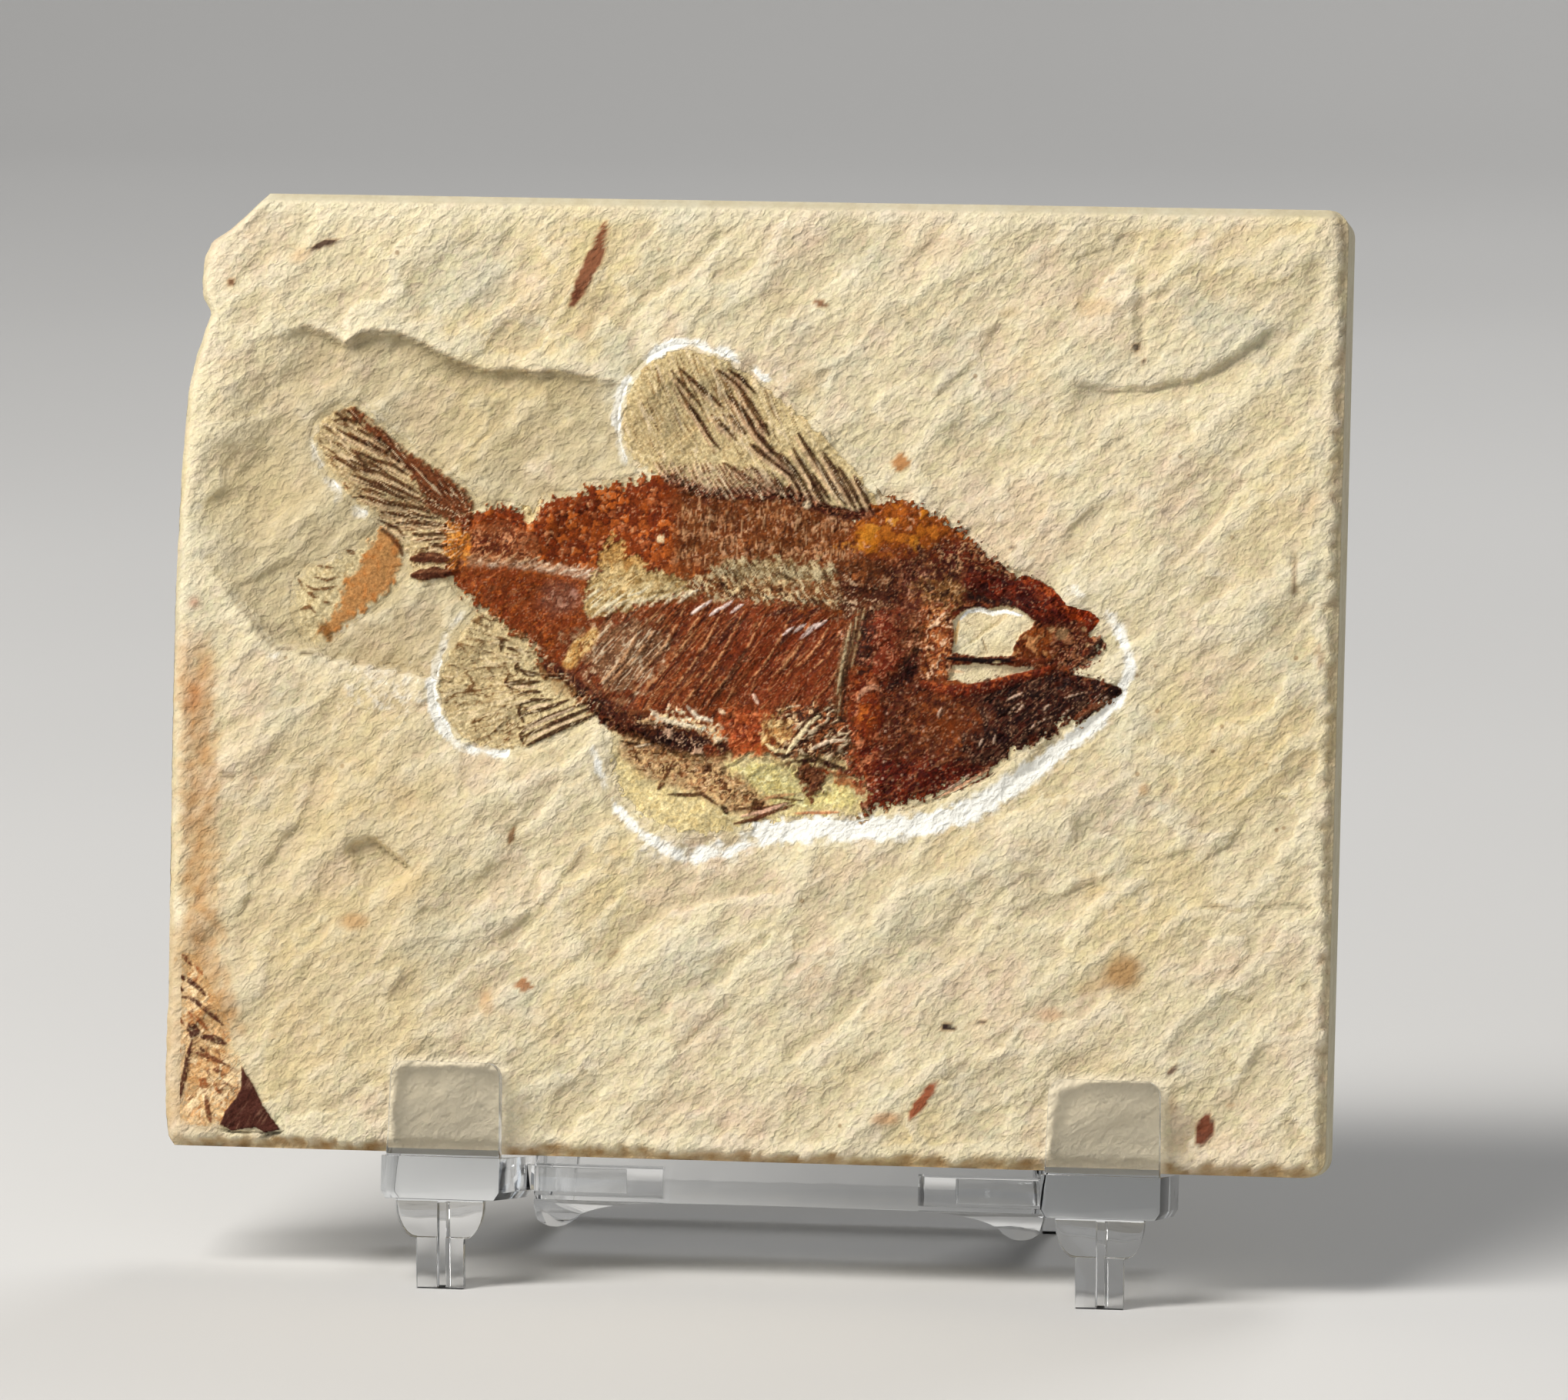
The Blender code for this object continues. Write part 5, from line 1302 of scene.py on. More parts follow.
        for k, (line, width, colour) in enumerate((
            ("-7.2 37.4 -7.8 36.2 -8.7 34.8", 0.3, "603e28"), ("-8.6 34.7 -8 35.4", 0.3, "603e28"),
            ("-7.6 34.3 -5.5 34.3 -4.4 34.4 -3.8 34 -2.9 33.4", 0.42, "46281a"),
            ("-2.5 33.4 -2 32.6", 0.55, "2c1c16"),
            ("-1.3 31.7 0.5 32.1 2.2 32.9 4.3 33.6", 0.46, "5c2c22"), ("-1 33.1 1.5 33.2 4.3 33.9", 0.36, "502c20"),
            ("1.6 34.3 3.2 34.2 5.1 34", 0.26, "543422"), ("-0.6 32.4 1.4 32.9 3.6 33.7", 0.34, "e2b296"),
            ("1 33.8 2.4 34.4 4.4 34.6", 0.3, "be8c60"), ("4.4 32.8 6.2 32.9 8.6 33", 0.3, "c8825a"),
            ("-12.2 39.2 -10.2 38.8 -8.2 39.5", 0.32, "341a10"), ("-10.8 38.7 -9.4 39", 0.2, "e2caa8"),
            ("-9.4 42.2 -8.6 41.4 -6.8 41 -5 40.6", 0.4, "ecdaba"), ("-6 42.6 -5 41.6 -3.6 41.3", 0.4, "f0e0c4"),
            ("1.6 39.2 2.6 38.6 3.8 38.6", 0.36, "e8d4a0"), ("2.4 38.3 3.4 38.1 4.4 38.6", 0.36, "341e14"),
            ("3.6 38.4 4.6 39.8 5.6 41.2 6.6 42", 0.5, "ecd8ac"), ("5.8 38.8 7.4 39.6 9 39.8", 0.36, "f0d6b6"),
            ("4.2 40 5.4 41.4 6.4 42.6", 0.3, "46281a"), ("8 42 9.4 41.6 10.4 40.6 10.4 39.4", 0.5, "3c221a"),
            ("0.2 43.9 0.7 43", 0.34, "e8c4aa"), ("-3 42.4 -2.4 42", 0.4, "e8c8a2"),
            ("4 37.6 6.4 37.9 8.6 37.1 10.6 36.2", 0.5, "341612"),
        )):
            art.stroke(line, width, colour, 0.92, 0.08, broken=0.25, seed=300 + k)

    def head(self, art: BonePaint) -> None:
        """The skull behind the jaws: gill covers, cheek, brow and the bare orbit."""
        x, s = art.x, art.s
        skull = art.area("8.8 56.8 12 57.2 17.6 58 20.2 58.8 22.4 57.2 24.6 55.2 28.6 52.8 31.6 51.4 32.6 49.2 31 "
                         "47 27 46.8 18 45.4 14 44 12.8 38 11 33.6 9.4 36.6 10 41 8.6 44 8.6 52", 0.5, 0.6)
        skull = skull * ease(self.torn, -0.05, 0.3)
        art.mosaic(skull, "863e1e 662e1a a46034 4c2216 c48e68 783218 94502a 3a1a14", (0.95, 0.5), 36, 681, 0.9, 0.5,
                   0.09)
        art.mosaic(skull * ease(art.small, -0.1, 0.4), "6e301a b06c40 3c1c14 d4a888 88421e", (0.55, 0.32), -35, 682,
                   0.7, 0.4, 0.06)
        art.patch("8 56.4 10.6 56.6 13.4 56 16 57.2 19.6 57 19.6 54.8 15 53.6 12.2 51.6 8 51.4", (0.6, 0.7),
                  "462216 60321e 321812 805032 c0a080 542c1c", (0.7, 0.36), 24, 683, 0.8, 0.45, 0.08)
        art.patch("8.4 56.4 10.6 56.9 12.6 56.2 12.2 55 9.4 54.6", (0.4, 0.4), "683a1a 7c4620 5a2e16 8e542a",
                  (1.0, 0.4), 20, 684, 0.85, 0.3)
        art.patch("13.8 55.8 16.8 55.8 18 54 16.2 52.4 15.4 50 15 47.4 13.8 50 14 53", (0.5, 0.7),
                  "844c3e 9e685c 602e26 ceac96 703a2e b08060", (0.8, 0.34), 62, 685, 0.8, 0.4, 0.08)
        art.patch("15.2 54.6 18.4 55.2 20.4 54.4 19.4 52.6 18.4 50.8 17 51.6", (0.5, 0.6),
                  "c4a66c 96703e 6e4426 dec898 aa844e 40261a", (0.75, 0.4), 55, 686, 0.85, 0.45, 0.08)
        art.patch("17 58.2 20 58.8 22.2 57 24 55.6 22.6 54.8 19.4 55.8 16.4 56.4", (0.5, 0.6), "6c281a 541e16 "
                  "924e2c bc9268 3a1814 7c321c ceb28c", (0.8, 0.36), -34, 687, 0.88, 0.45, 0.08)
        for k, line in enumerate((
            "9.9 52 9.3 48.6 8.7 45.4 8.3 42", "9.3 51 8.7 47.4 8.2 44", "10.5 52.2 10.1 49.6 9.5 46.6",
            "16.1 51.2 15.5 48.6 14.9 45.8", "15.6 50.8 15 48.2 14.3 45.2", "14.6 43.8 14.3 41.6 14.8 39.2",
        )):
            art.stroke(line, 0.34, "b09c78", 0.9, 0.11, broken=0.35, seed=320 + k)
            # Painted shade beside each bone: a dark copy on its right and a softer brown one on its left.
            art.stroke(moved(line, 0.34, 0), 0.34, "3c2218", 0.9, -0.03, broken=0.2, seed=330 + k)
            art.stroke(moved(line, -0.3, 0), 0.3, "70543a", 0.8, 0.04, broken=0.4, seed=340 + k)
        art.patch("10.4 50.6 11.8 51 12 47.6 11 46.4 9.8 47.4", (0.4, 0.5), "3a1c1a 542822 281214 78422e",
                  (0.8, 0.36), 72, 688, 0.85)
        art.patch("11.4 51.6 14 52 14.2 48 13 45.4 11.2 46 11.6 49", (0.4, 0.6), "9e4828 b66a4a 7c301c ce9676 8c3a22",
                  (0.8, 0.4), 50, 689, 0.75)
        cheek = art.patch("15.8 52.6 18.4 52.4 18.9 50 18.9 47.6 18.6 45.9 16.4 45.4 15.8 48", (0.7, 0.9),
                          "b06c38 9a5228 cc9a6c 7e3c1e dcb896 a65e30 6c2c18", (0.9, 0.36), 56, 690, 0.85, 0.5, 0.09)
        art.patch("13.4 51.6 15.6 52.4 15.8 49.4 15 47.4 13.6 48.6", (0.5, 0.8), "8a5034 a8724a 6a3420 c89c78 7c4428",
                  (0.9, 0.34), 60, 722, 0.6, 0.5, 0.06)
        art.bar("15.4 47.4 14.4 45.6 13.4 44.4 12.9 43", (1.7, 0.5, 0.3, 6), "321614 4a1e1a 241010 683222",
                (0.7, 0.4), 52, 691, 0.92, 0.4, 0.1)
        art.patch("9.6 46.2 11.6 46 12.8 42 12.8 38 13.4 35 11.2 34.2 10 38 9.4 42", (0.5, 0.6),
                  "843614 6e260e 5a1a0c a05024 7c2e14 b8744e", (0.9, 0.5), 74, 692, 0.85, 0.4, 0.08)
        spot = ease(away(x, s, 11.3, 42.3, 1.25, 2.0) + 0.2 * art.small, 1.05, 0.65)
        art.mosaic(spot, "a04c14 8c3c10 b66224 782e0e", (1.1, 0.8), 60, 693, 0.9, 0.25, 0.05)
        art.rise += 0.06 * spot
        art.stroke("10.1 43.6 10.6 44.5 11.6 44.9 12.4 44.4", 0.5, "e4ac88", 0.85, 0.06, broken=0.3, seed=348)
        art.patch("12.8 43.6 14.8 43.8 15.8 41 17.2 38.6 17 37 13.6 36.8 12.8 40", (0.5, 0.6), "68523a 422c22 "
                  "866c50 563828 30201c bca484 704226", (1.1, 0.34), -62, 694, 0.88, 0.4, 0.08)
        brow = art.bar("20.6 54.9 22 54.8 23.4 54.3 25.2 53.6 26.8 52.9 28.2 52.2 29.4 51.8", (2.5, 0.4, 0.3, 8),
                       "5e180a 4a120c 7c2810 3a0c0a 6c200e 984220", (1.5, 0.4), -27, 695, 0.97, 0.4, 0.1)
        art.rise += 0.14 * brow
        art.strands(brow, s + 0.5 * x, x, 0.5, 3.0, 696, "b05c38", 0.12, 0.55, 0.04)
        art.bar("25.6 55.2 26.6 54.7 27.8 54 28.6 53.2 29.6 52.5 30.6 52", (1.1, 0.25, 0.3, 10),
                "70240e 863212 5c1a0c 9e4a22", (1.1, 0.4), -36, 697, 0.95, 0.35, 0.1)
        art.bar("30.2 52 31.2 52.1 32 51.5 31.6 50.8", (1.2, 0.2, 0.3, 11), "882e0e a04016 74220c", (0.9, 0.5), -30,
                698, 0.95)
        art.patch("19.2 53.9 20.6 53.8 22 53.5 24.6 53.2 24.4 52.6 22.4 52.9 20.8 53", (0.22, 0.3),
                  "2e1816 3e221c 221212 604234", (0.7, 0.35), -14, 699, 0.92)
        art.patch("24.7 48 25 49.2 25.6 50.2 27 50.9 28.4 50.6 29.2 48.6 28.6 47.8", (0.25, 0.35),
                  "a8642c 924e1e be8248 763a1a b26e30 d2a670", (0.9, 0.5), 48, 700, 0.95, 0.45, 0.09)
        art.patch("28.6 47.2 28.6 50.2 30 51.2 31.4 50.2 32.9 49.6 32.4 48.2 31 46.8", (0.3, 0.45),
                  "783a2c b07a60 542820 ceaa8c 94543a 40201c c4966e", (0.75, 0.38), 30, 701, 0.95, 0.45, 0.1)
        for a, b, r in ((29.2, 50.2, 0.72), (28.2, 50.6, 0.4), (31.6, 49.3, 0.3), (31.2, 50.7, 0.3)):
            art.paint(0.9 * ease(away(x, s, a, b) + 0.2 * art.fine, r, 0.6 * r), "e2cc9e", -0.1)
        art.stroke("31.8 48.2 32.4 48.9 32.9 49.6", 0.9, "34201e", 0.9, 0.12, broken=0.3, seed=350)
        art.stroke("30.6 47.2 31.4 47.9 32 48.4", 0.3, "462c22", 0.8, 0.06, seed=356)
        deepen(art.layer, skull * ease(x, 9.0, 14.0) * (1 - 0.85 * cheek), (0.52, 0.38, 0.32))
        self.orbit(art)

    def orbit(self, art: BonePaint) -> None:
        """The eye socket and the strip below it, where bare stone shows, with the black bone between them."""
        x, s = art.x, art.s
        for outline in (ORBIT, ORBIT_STRIP):
            bare = ease(depth_inside(x, s, outline) + 0.16 * art.small + 0.14 * art.fine, -0.10, 0.10)
            art.layer[..., 3] *= 1 - bare
            art.rise *= 1 - bare
            art.gloss *= 1 - bare
            art.paint(bare * 0.35, "e2d2ac", 0.02)
            art.paint(bare * 0.35 * ease(-art.broad, 0.0, 0.8), "c8b486")
        for line, width, colour, strength, lift, broken, seed in (
            ("19.6 51.4 20.2 52.1 21.4 52.3 22.6 52 23.8 52.2 25.4 51.8", 0.42, "faf8f0", 0.85, 0.03, 0.2, 351),
            ("19.4 51.2 19.2 50 19.2 49", 0.3, "cea05c", 0.6, 0.02, 0, 357),
            ("21.7 49.6 22 48.8 22.2 48.2", 0.16, "967c54", 0.7, -0.02, 0, 352),
            ("20 51.2 20.6 50.8", 0.14, "aa9268", 0.6, -0.02, 0, 358),
            ("18.2 47.7 19.4 47.6 22 47.5 25.2 47.6", 0.46, "180808", 1.0, 0.14, 0, 353),
            ("24.6 47.6 26.4 47.6 28.8 47.8", 0.42, "78381e", 0.95, 0.1, 0, 354),
            ("22.8 47.35 23.5 47.4", 0.22, "c4b088", 0.9, 0.03, 0, 355),
            ("18.4 46.6 20 46.4", 0.3, "d8b48c", 0.7, 0.05, 0, 359),
        ):
            art.stroke(line, width, colour, strength, lift, broken=broken, seed=seed)

    def jaws(self, art: BonePaint) -> None:
        """The long lower jaw: purple-black at the front, rust at the hinge, with splinters along its length."""
        x, s = art.x, art.s
        torn = ease(self.torn, -0.05, 0.3)
        jaw = torn * art.area("12.6 44.2 15.4 45.6 19.6 44.9 23.4 45.6 27 46.6 30 46.4 33.8 45.7 35.2 45 33.6 43.4 "
                              "31.6 41.7 28.6 40.2 24.4 38.4 22.4 36.5 17.4 34.4 12.4 33.1 10 32 11.4 35.4 12.6 40",
                              0.3, 0.4)
        art.mosaic(jaw, "6a2e16 582214 803e1c 461a12 94522a 602a18 70462e", (1.1, 0.46), 30, 711, 0.95, 0.5, 0.09)
        warm = art.area("15 43.6 18 43.8 22.4 43 22.8 40.6 20 38.4 16.6 38.4 14.8 41", 1.0, 1.0) * jaw
        art.mosaic(warm, "8c4a20 76381a a8622c 622c18 b8743c 7e5436", (0.9, 0.5), 20, 712, 0.75, 0.4, 0.07)
        amber = ease(away(x, s, 18.6, 41.2, 2.2, 0.9) + 0.25 * art.small, 1.1, 0.5) * jaw
        art.paint(amber * 0.65, "ac6022")
        red = art.area("10.6 38.4 14.4 37.8 20.4 38.2 22.6 37.6 19 35.2 13.4 33.2 10.6 32.6", 0.6, 0.7) * jaw
        art.mosaic(red, "7a240a 62180c 8c3412 50140e 70200e 9c4822 441616", (1.0, 0.42), 26, 713, 0.88, 0.45, 0.09)
        front = jaw * art.area("21.6 45.4 26.6 46.8 30 46.6 33.8 45.8 35.2 45 32.8 42.8 30.6 41.4 28.4 40 24 38.2 "
                               "20.4 38.2 21 40.4 23 42.2 21.4 43.6", 0.8, 0.8)
        art.mosaic(front, "2e1212 401c18 220c0e 562a20 361a1c 684c40 281010 78402c", (1.2, 0.40), 40, 714, 0.95, 0.45,
                   0.1)
        art.mosaic(front * ease(art.small, 0.0, 0.45), "46322c 261012 967662 5c2c22 341818", (0.7, 0.28), 52, 715,
                   0.8, 0.4, 0.07)
        art.strands(front, s - 0.8 * x, x, 0.8, 2.2, 716, "d6beac", 0.10, 0.8, 0.08)
        art.strands(jaw * (1 - front), s - 0.5 * x, x, 0.9, 2.6, 717, "ce9a74", 0.10, 0.65, 0.07)
        gap, _, pick, *_ = cells(x, s, 20, 0.8, 0.7, 718)
        speck = jaw * ease(gap, 0.24, 0.10) * (pick > 0.72)
        art.paint(speck * 0.8, "debea6", 0.06, 0.4)
        upper = art.bar("16.4 45.2 18.4 44.7 20.4 44.7 22.6 45.1 25.6 46.1 28 46.8", (1.0, 0.3, 0.3, 12),
                        "943e1a 7a2e14 b05a2e 682614", (1.2, 0.36), 14, 719, 0.92, 0.4, 0.08)
        art.rise += 0.1 * upper
        art.bar("28.6 46.5 31 45.7 33 45.3 34.5 44.95", (1.1, 0.25, 0.4, 13), "421c16 2c1210 623022 88583e 220c0c",
                (0.8, 0.34), -10, 720, 0.9, 0.4, 0.1)
        nose = ease(away(x, s, 34.2, 44.9, 0.8, 0.5) + 0.2 * art.fine, 1.1, 0.7)
        art.paint(nose * 0.95, "1a0808", 0.1)
        deepen(art.layer, jaw * ease(x, 10.0, 14.0) * (1 - 0.8 * ease(x, 31.5, 33.0)), (0.56, 0.45, 0.42))
        deepen(art.layer, front * ease(x, 32.0, 30.5), (0.66, 0.56, 0.54))
        for k, line in enumerate((
            "24.4 42.6 25 43.3 25.6 43.8", "25.2 42.8 25.9 43.7", "26.4 41.2 27.4 42 28.4 42.4", "23 39.6 23.2 40.6",
            "17.6 42.2 18 43",
            "30.9 42.2 32 43.2 33.2 43.9", "18.4 35.2 19.8 36 21 37", "24.2 43.9 25.6 44.6", "29.6 44.2 31.4 44.8",
            "27.6 43 28.2 43.6",
            "21.6 39.4 22 40.2", "29.4 42.6 30.4 43.3",
        )):
            art.stroke(line, 0.22, "d2b29a", 0.8, 0.09, broken=0.8, seed=360 + k)
            # Painted shadow: a dark copy of each splinter below and to its right.
            art.stroke(moved(line, 0.2, -0.24), 0.24, "1e0c0c", 0.7, -0.03, broken=0.2, seed=375 + k)
        art.stroke("30.6 42.3 32 43.3 33.2 43.8", 0.6, "7e462c", 0.85, 0.05, broken=0.4, seed=390)
        art.stroke("17.6 34.5 19.4 35.4 21.4 36.6 22.6 37.3", 0.3, "deaa84", 0.85, 0.07, broken=0.15, seed=391)
        art.stroke("18 34.3 19.8 35.2 21.8 36.3 23 37", 0.26, "6e3220", 0.85, 0.04, broken=0.15, seed=392)
        crumbs = ease(self.torn, 0.0, -0.4) * ease(self.torn, -1.5, -0.6) * ease(x, 9.5, 11) * ease(s, 46, 44.5)
        art.mosaic(crumbs * ease(art.small, 0.15, 0.45), "cea474 96603a e0c296 703e26", (0.6, 0.34), 30, 721, 0.85,
                   0.3, 0.07)

    def fan(self, base: Line, margin: Line, count: int, bow: float) -> list[Line]:
        """Rays from a fin's base to its margin, spread evenly along both, each bowed to one side.

        Args:
            base: The fin's base.
            margin: Its far edge.
            count: How many rays.
            bow: How far a ray's middle leans aside.

        Returns:
            The rays' lines.
        """
        starts, ends = (smooth_line(line, 8) for line in (base, margin))
        pick = np.linspace(0, 1, count)[:, None]
        rows = []
        for points in (starts, ends):
            along = np.linspace(0, 1, len(points))
            rows.append(np.column_stack([np.interp(pick[:, 0], along, points[:, k]) for k in (0, 1)]))
        a, b = rows
        side = np.column_stack([a[:, 1] - b[:, 1], b[:, 0] - a[:, 0]])
        mid = (a + b) / 2 + bow * side
        return [smooth_line(np.array(row), 4) for row in zip(a, mid, b)]

    def dorsal_fin(self, art: BonePaint) -> None:
        """Strong front rays, long branching middle rays and short slanting stubs at the back."""
        x, s = art.x, art.s
        dark, brown = "3a1e14", "704a2e"
        lines = (
            ("10.8 61.6 9.9 63.4 9.2 64.6", 0.5), ("10 61.6 8.7 63.9 7.7 65.4", 0.45),
            ("9.3 61.7 7.6 64.5 6.2 66.7", 0.62),
            ("8.4 61.9 6 65.2 3.8 68.5", 0.46), ("7 62.2 5.6 64.2 5.2 64.8", 0.36),
            ("6.4 62.2 4.9 64.6 3.3 67.1", 0.44),
            ("6.1 62.2 5.4 63.2 5.1 64.4", 0.3), ("5.3 62.4 3.9 64.4 2.2 66.6", 0.5),
            ("4.4 62.6 3.2 64.6 1.2 66.6 -0.7 67.4", 0.42), ("3.2 64.6 1.8 65.6 0 66.8 -0.6 67.3", 0.42),
            ("3.6 65 1.4 66.8 -0.6 69 -2 70.9 -3.4 72.4", 0.44), ("1.2 66.9 -0.2 68.5 -1.4 70.4 -2.6 71.8", 0.5),
            ("1 68.4 0 69.9 -1.2 71.6 -2.2 73.2 -3.9 74.3", 0.5), ("0.8 68.6 0.2 69.4", 0.7),
            ("-0.4 72.2 -1.2 73 -2 74", 0.34), ("-0.8 72.6 -1.8 73.6 -3 74.4", 0.3),
            ("-1.2 68.4 -2.2 69.4 -2.8 70.2", 0.46), ("-3 68.7 -3.8 69.2", 0.55),
            ("-2.2 67.8 -3.2 69 -4.6 70.2", 0.3),
            ("-3.4 70.8 -4.6 71.8 -6.2 73.2 -7.6 74.4", 0.36), ("-3.6 66.9 -4.6 68 -6 70.2 -7 71.4 -8 73", 0.34),
            ("-4.2 67.4 -5.4 69.3 -6.4 70.6", 0.3), ("-5.6 71 -7 72.6 -8.4 74.2", 0.3),
            ("0.4 63.6 -1.2 64.4 -3.2 65.6", 0.34),
            ("1.9 63.2 0.6 64.2 -0.6 65.4", 0.3), ("2.4 63.6 1.2 64.1", 0.3), ("2.6 63.2 1.4 64.8", 0.26),
        )
        for k, (line, width) in enumerate(lines):
            art.stroke(line, width * 1.15, dark, 0.95, 0.14, 0.12, broken=0.22, seed=400 + k)
            # Painted highlight: a pale copy of each ray below and to its left.
            art.stroke(moved(line, -0.3, -0.26), width * 0.9, "d0ac8a", 0.55, 0.03, seed=450 + k)
        for k, line in enumerate(self.fan("3.6 62.9 0 62.8 -4 62.9 -8 63.9", "1 64.9 -2.8 65.6 -5.6 65.6 -9.6 65.6",
                                          21, 0.05)):
            art.stroke(line, 0.28, "5c3422", 0.85, 0.1, broken=0.9, seed=500 + k)
            # Painted highlight: a pale copy of each ray to its left and a little below.
            art.stroke(moved(line, -0.26, -0.12), 0.2, "d6b092", 0.7, 0.05, broken=0.4, seed=530 + k)
        rays = self.fan("1 67.4 -3 66.8 -7 66.4 -10.4 66.2", "-2.4 74.4 -7.4 75.6 -11.2 73 -12.2 68", 24, 0.03)
        for k, line in enumerate(rays):
            fade = 1 - 0.45 * k / len(rays)
            art.stroke(line, 0.24, brown, 0.5 * fade, 0.05, broken=1.6, seed=560 + k)
        fin = art.area(DORSAL_FIN, 0.3, 0.1)
        across = x + 0.66 * (s - 62) - 0.012 * (s - 62) ** 2
        art.strands(fin * ease(s, 63.4, 65.0), across, s, 0.75, 9.0, 421, "64422a", 0.075, 0.62, 0.08)
        art.strands(fin * ease(s, 64.0, 66.0) * ease(x, 3.0, 0.0), across, s, 0.5, 5.0, 422, "8c6c46", 0.07, 0.45,
                    0.05)
        art.strands(fin, across + 0.2, s, 0.8, 7.0, 423, "e4ceaa", 0.08, 0.7, 0.06)
        zone = fin * ease(s, 64.6, 66.0)
        dash = fibres(x, s, 128, 1.3, 0.3, 271)
        back = ease(x, 0.5, -3.0)
        art.paint(zone * back * 0.5 * ease(dash, 0.30, 0.6), "8c6a42", 0.05)
        art.paint(zone * 0.5 * ease(-dash, 0.3, 0.7), "d0b88a", 0.0)
        light = stroke_mask(x, s, "-0.9 67.2 -2.2 68.4 -3.6 70 -5 70.6", 1.6, 0.6)
        art.paint(light * 0.45 * ease(art.fine, -0.2, 0.4), "dcc8a8", 0.02)
        knob = ease(away(x, s, 4.8, 61.8), 0.5, 0.25)
        art.paint(knob * 0.9, "e8d0aa", 0.1)
        art.paint(ease(away(x, s, 11.9, 63.2) + 0.3 * art.small, 0.8, 0.3) * 0.6, "8c744c", 0.05)

    def spokes(self, art: BonePaint, cx: float, cs: float) -> tuple[Array, Array]:
        """Turn about a fin's root, as a length 11 mm out, and distance from the root."""
        return np.arctan2(art.s - cs, -(art.x - cx)) * 11, away(art.x, art.s, cx, cs)

    def tail(self, art: BonePaint) -> None:
        """The tail's dark upper edge and rays, and the ochre lower lobe."""
        x, s = art.x, art.s
        band = art.area("-27.4 60.2 -27.5 61.7 -28.1 62.5 -30 63.9 -32 65.2 -34 66.3 -36 67.9 -37.6 69.2 -38.6 70.2 "
                        "-39.6 69.9 -37 67.6 -35 66 -34 64.9 -33 63.6 -32.1 61.9 -31.4 60.6 -30 59.9", 0.2, 0.25)
        art.paint(band * 0.92, "76381c", 0.14, 0.3)
        streak = fibres(x, s, 139, 2.6, 0.3, 281)
        art.paint(band * 0.6 * ease(streak, 0.15, 0.6), "a46038", 0.06)
        art.paint(band * 0.75 * ease(-streak, 0.15, 0.6), "3c180e", -0.04)
        lines = (
            ("-34 65.2 -36.5 67.3 -38.5 68.2", 0.42), ("-33 64.4 -35.6 66 -37.6 67 -39.8 67.8", 0.36),
            ("-32.5 62.3 -35 63.6 -36.5 64.3 -39.5 65.4", 0.42), ("-31.9 61.4 -34.4 62.6 -36.8 63.2 -39 63.9", 0.36),
            ("-31.5 60.5 -33 61 -35.5 61.3 -38 61.9", 0.42), ("-30.8 60 -32.4 60.1 -36 60.4", 0.4),
            ("-29.8 59.3 -32 59.5 -34.6 59.4", 0.42), ("-29.8 58.6 -32 58.3 -33 58.4", 0.42),
            ("-29.8 57.3 -31.4 57.5", 0.4),
            ("-33.6 64 -35 64.9 -37 65.4 -38.6 66.1", 0.34), ("-36.2 66.2 -38 67 -40.6 68.2", 0.3),
            ("-35.6 62 -37.6 62.6", 0.3), ("-38.4 68.8 -39.6 69.2 -40.8 69", 0.3),
            ("-36.4 59.7 -34.4 58.9 -33.8 58", 0.28),
        )
        for k, (line, width) in enumerate(lines):
            art.stroke(line, width * 1.1, "422214", 0.92, 0.13, broken=0.25, seed=600 + k)
            # Painted highlight: a pale copy of each ray just below it.
            art.stroke(moved(line, -0.1, -0.42), width * 0.9, "d6b690", 0.6, 0.03, seed=640 + k)
        rays = self.fan("-34.4 65.6 -32.4 62.4 -31.6 60.2 -31.8 58", "-39.8 69.4 -42 67 -39.8 63.6 -36.4 60.2", 17,
                        0.02)
        for k, line in enumerate(rays):
            art.stroke(line, 0.24, "704a2e", 0.5, 0.05, broken=1.4, seed=680 + k)
        fin = art.area(TAIL_UPPER, 0.25, 0.1)
        turn, far = self.spokes(art, -26.0, 58.4)
        art.strands(fin, turn, far, 0.62, 6.0, 621, "4a2a1a", 0.12, 0.9, 0.10)
        art.strands(fin, turn, far, 0.42, 4.0, 622, "765032", 0.10, 0.8, 0.06)
        art.strands(fin, turn + 0.25, far, 0.6, 5.0, 623, "dec49e", 0.09, 0.75, 0.06)
        for line, width in (("-29.4 56 -31.2 56.2 -33 56", 1.0), ("-29.2 54.7 -31 54.7 -32.8 54.4", 1.15)):
            art.stroke(line, width, "56281c", 0.95, 0.18, seed=700)
            # Painted highlight: a pale line along the top of each dark bar.
            art.stroke(moved(line, 0, 0.22), 0.25, "9e7058", 0.6, 0.03, broken=0.5, seed=701)
        lobe = art.area("-36 58.9 -35 58.2 -34.2 57.3 -34 56 -35 53.2 -36.5 51.8 -38 50.8 -39.5 49.5 -40.9 48.3 "
                        "-41.6 49.2 -40.5 50.4 -39.4 51.6 -39.7 52.6 -39.4 53.6 -38.4 54.6 -37.8 55.8 -37 57.2", 0.3,
                        0.3)
        art.paint(lobe * 0.85, "ac7238", 0.1)
        art.paint(lobe * 0.7 * ease(art.small + 0.4 * art.broad, 0.0, 0.7), "a4622a")
        art.paint(lobe * 0.6 * ease(-art.small, 0.1, 0.8), "c49458")
        edge = stroke_mask(x, s, "-36 58.8 -35 58.1 -34.2 57.2 -33.9 56.3", 0.5, 0.2)
        art.paint(edge * 0.8, "603a22", 0.05)
        foot = stroke_mask(x, s, "-41.6 49.6 -40.9 48.9 -40.6 48.3", 1.2, 0.5)
        art.paint(foot * 0.6, "7e5c32")
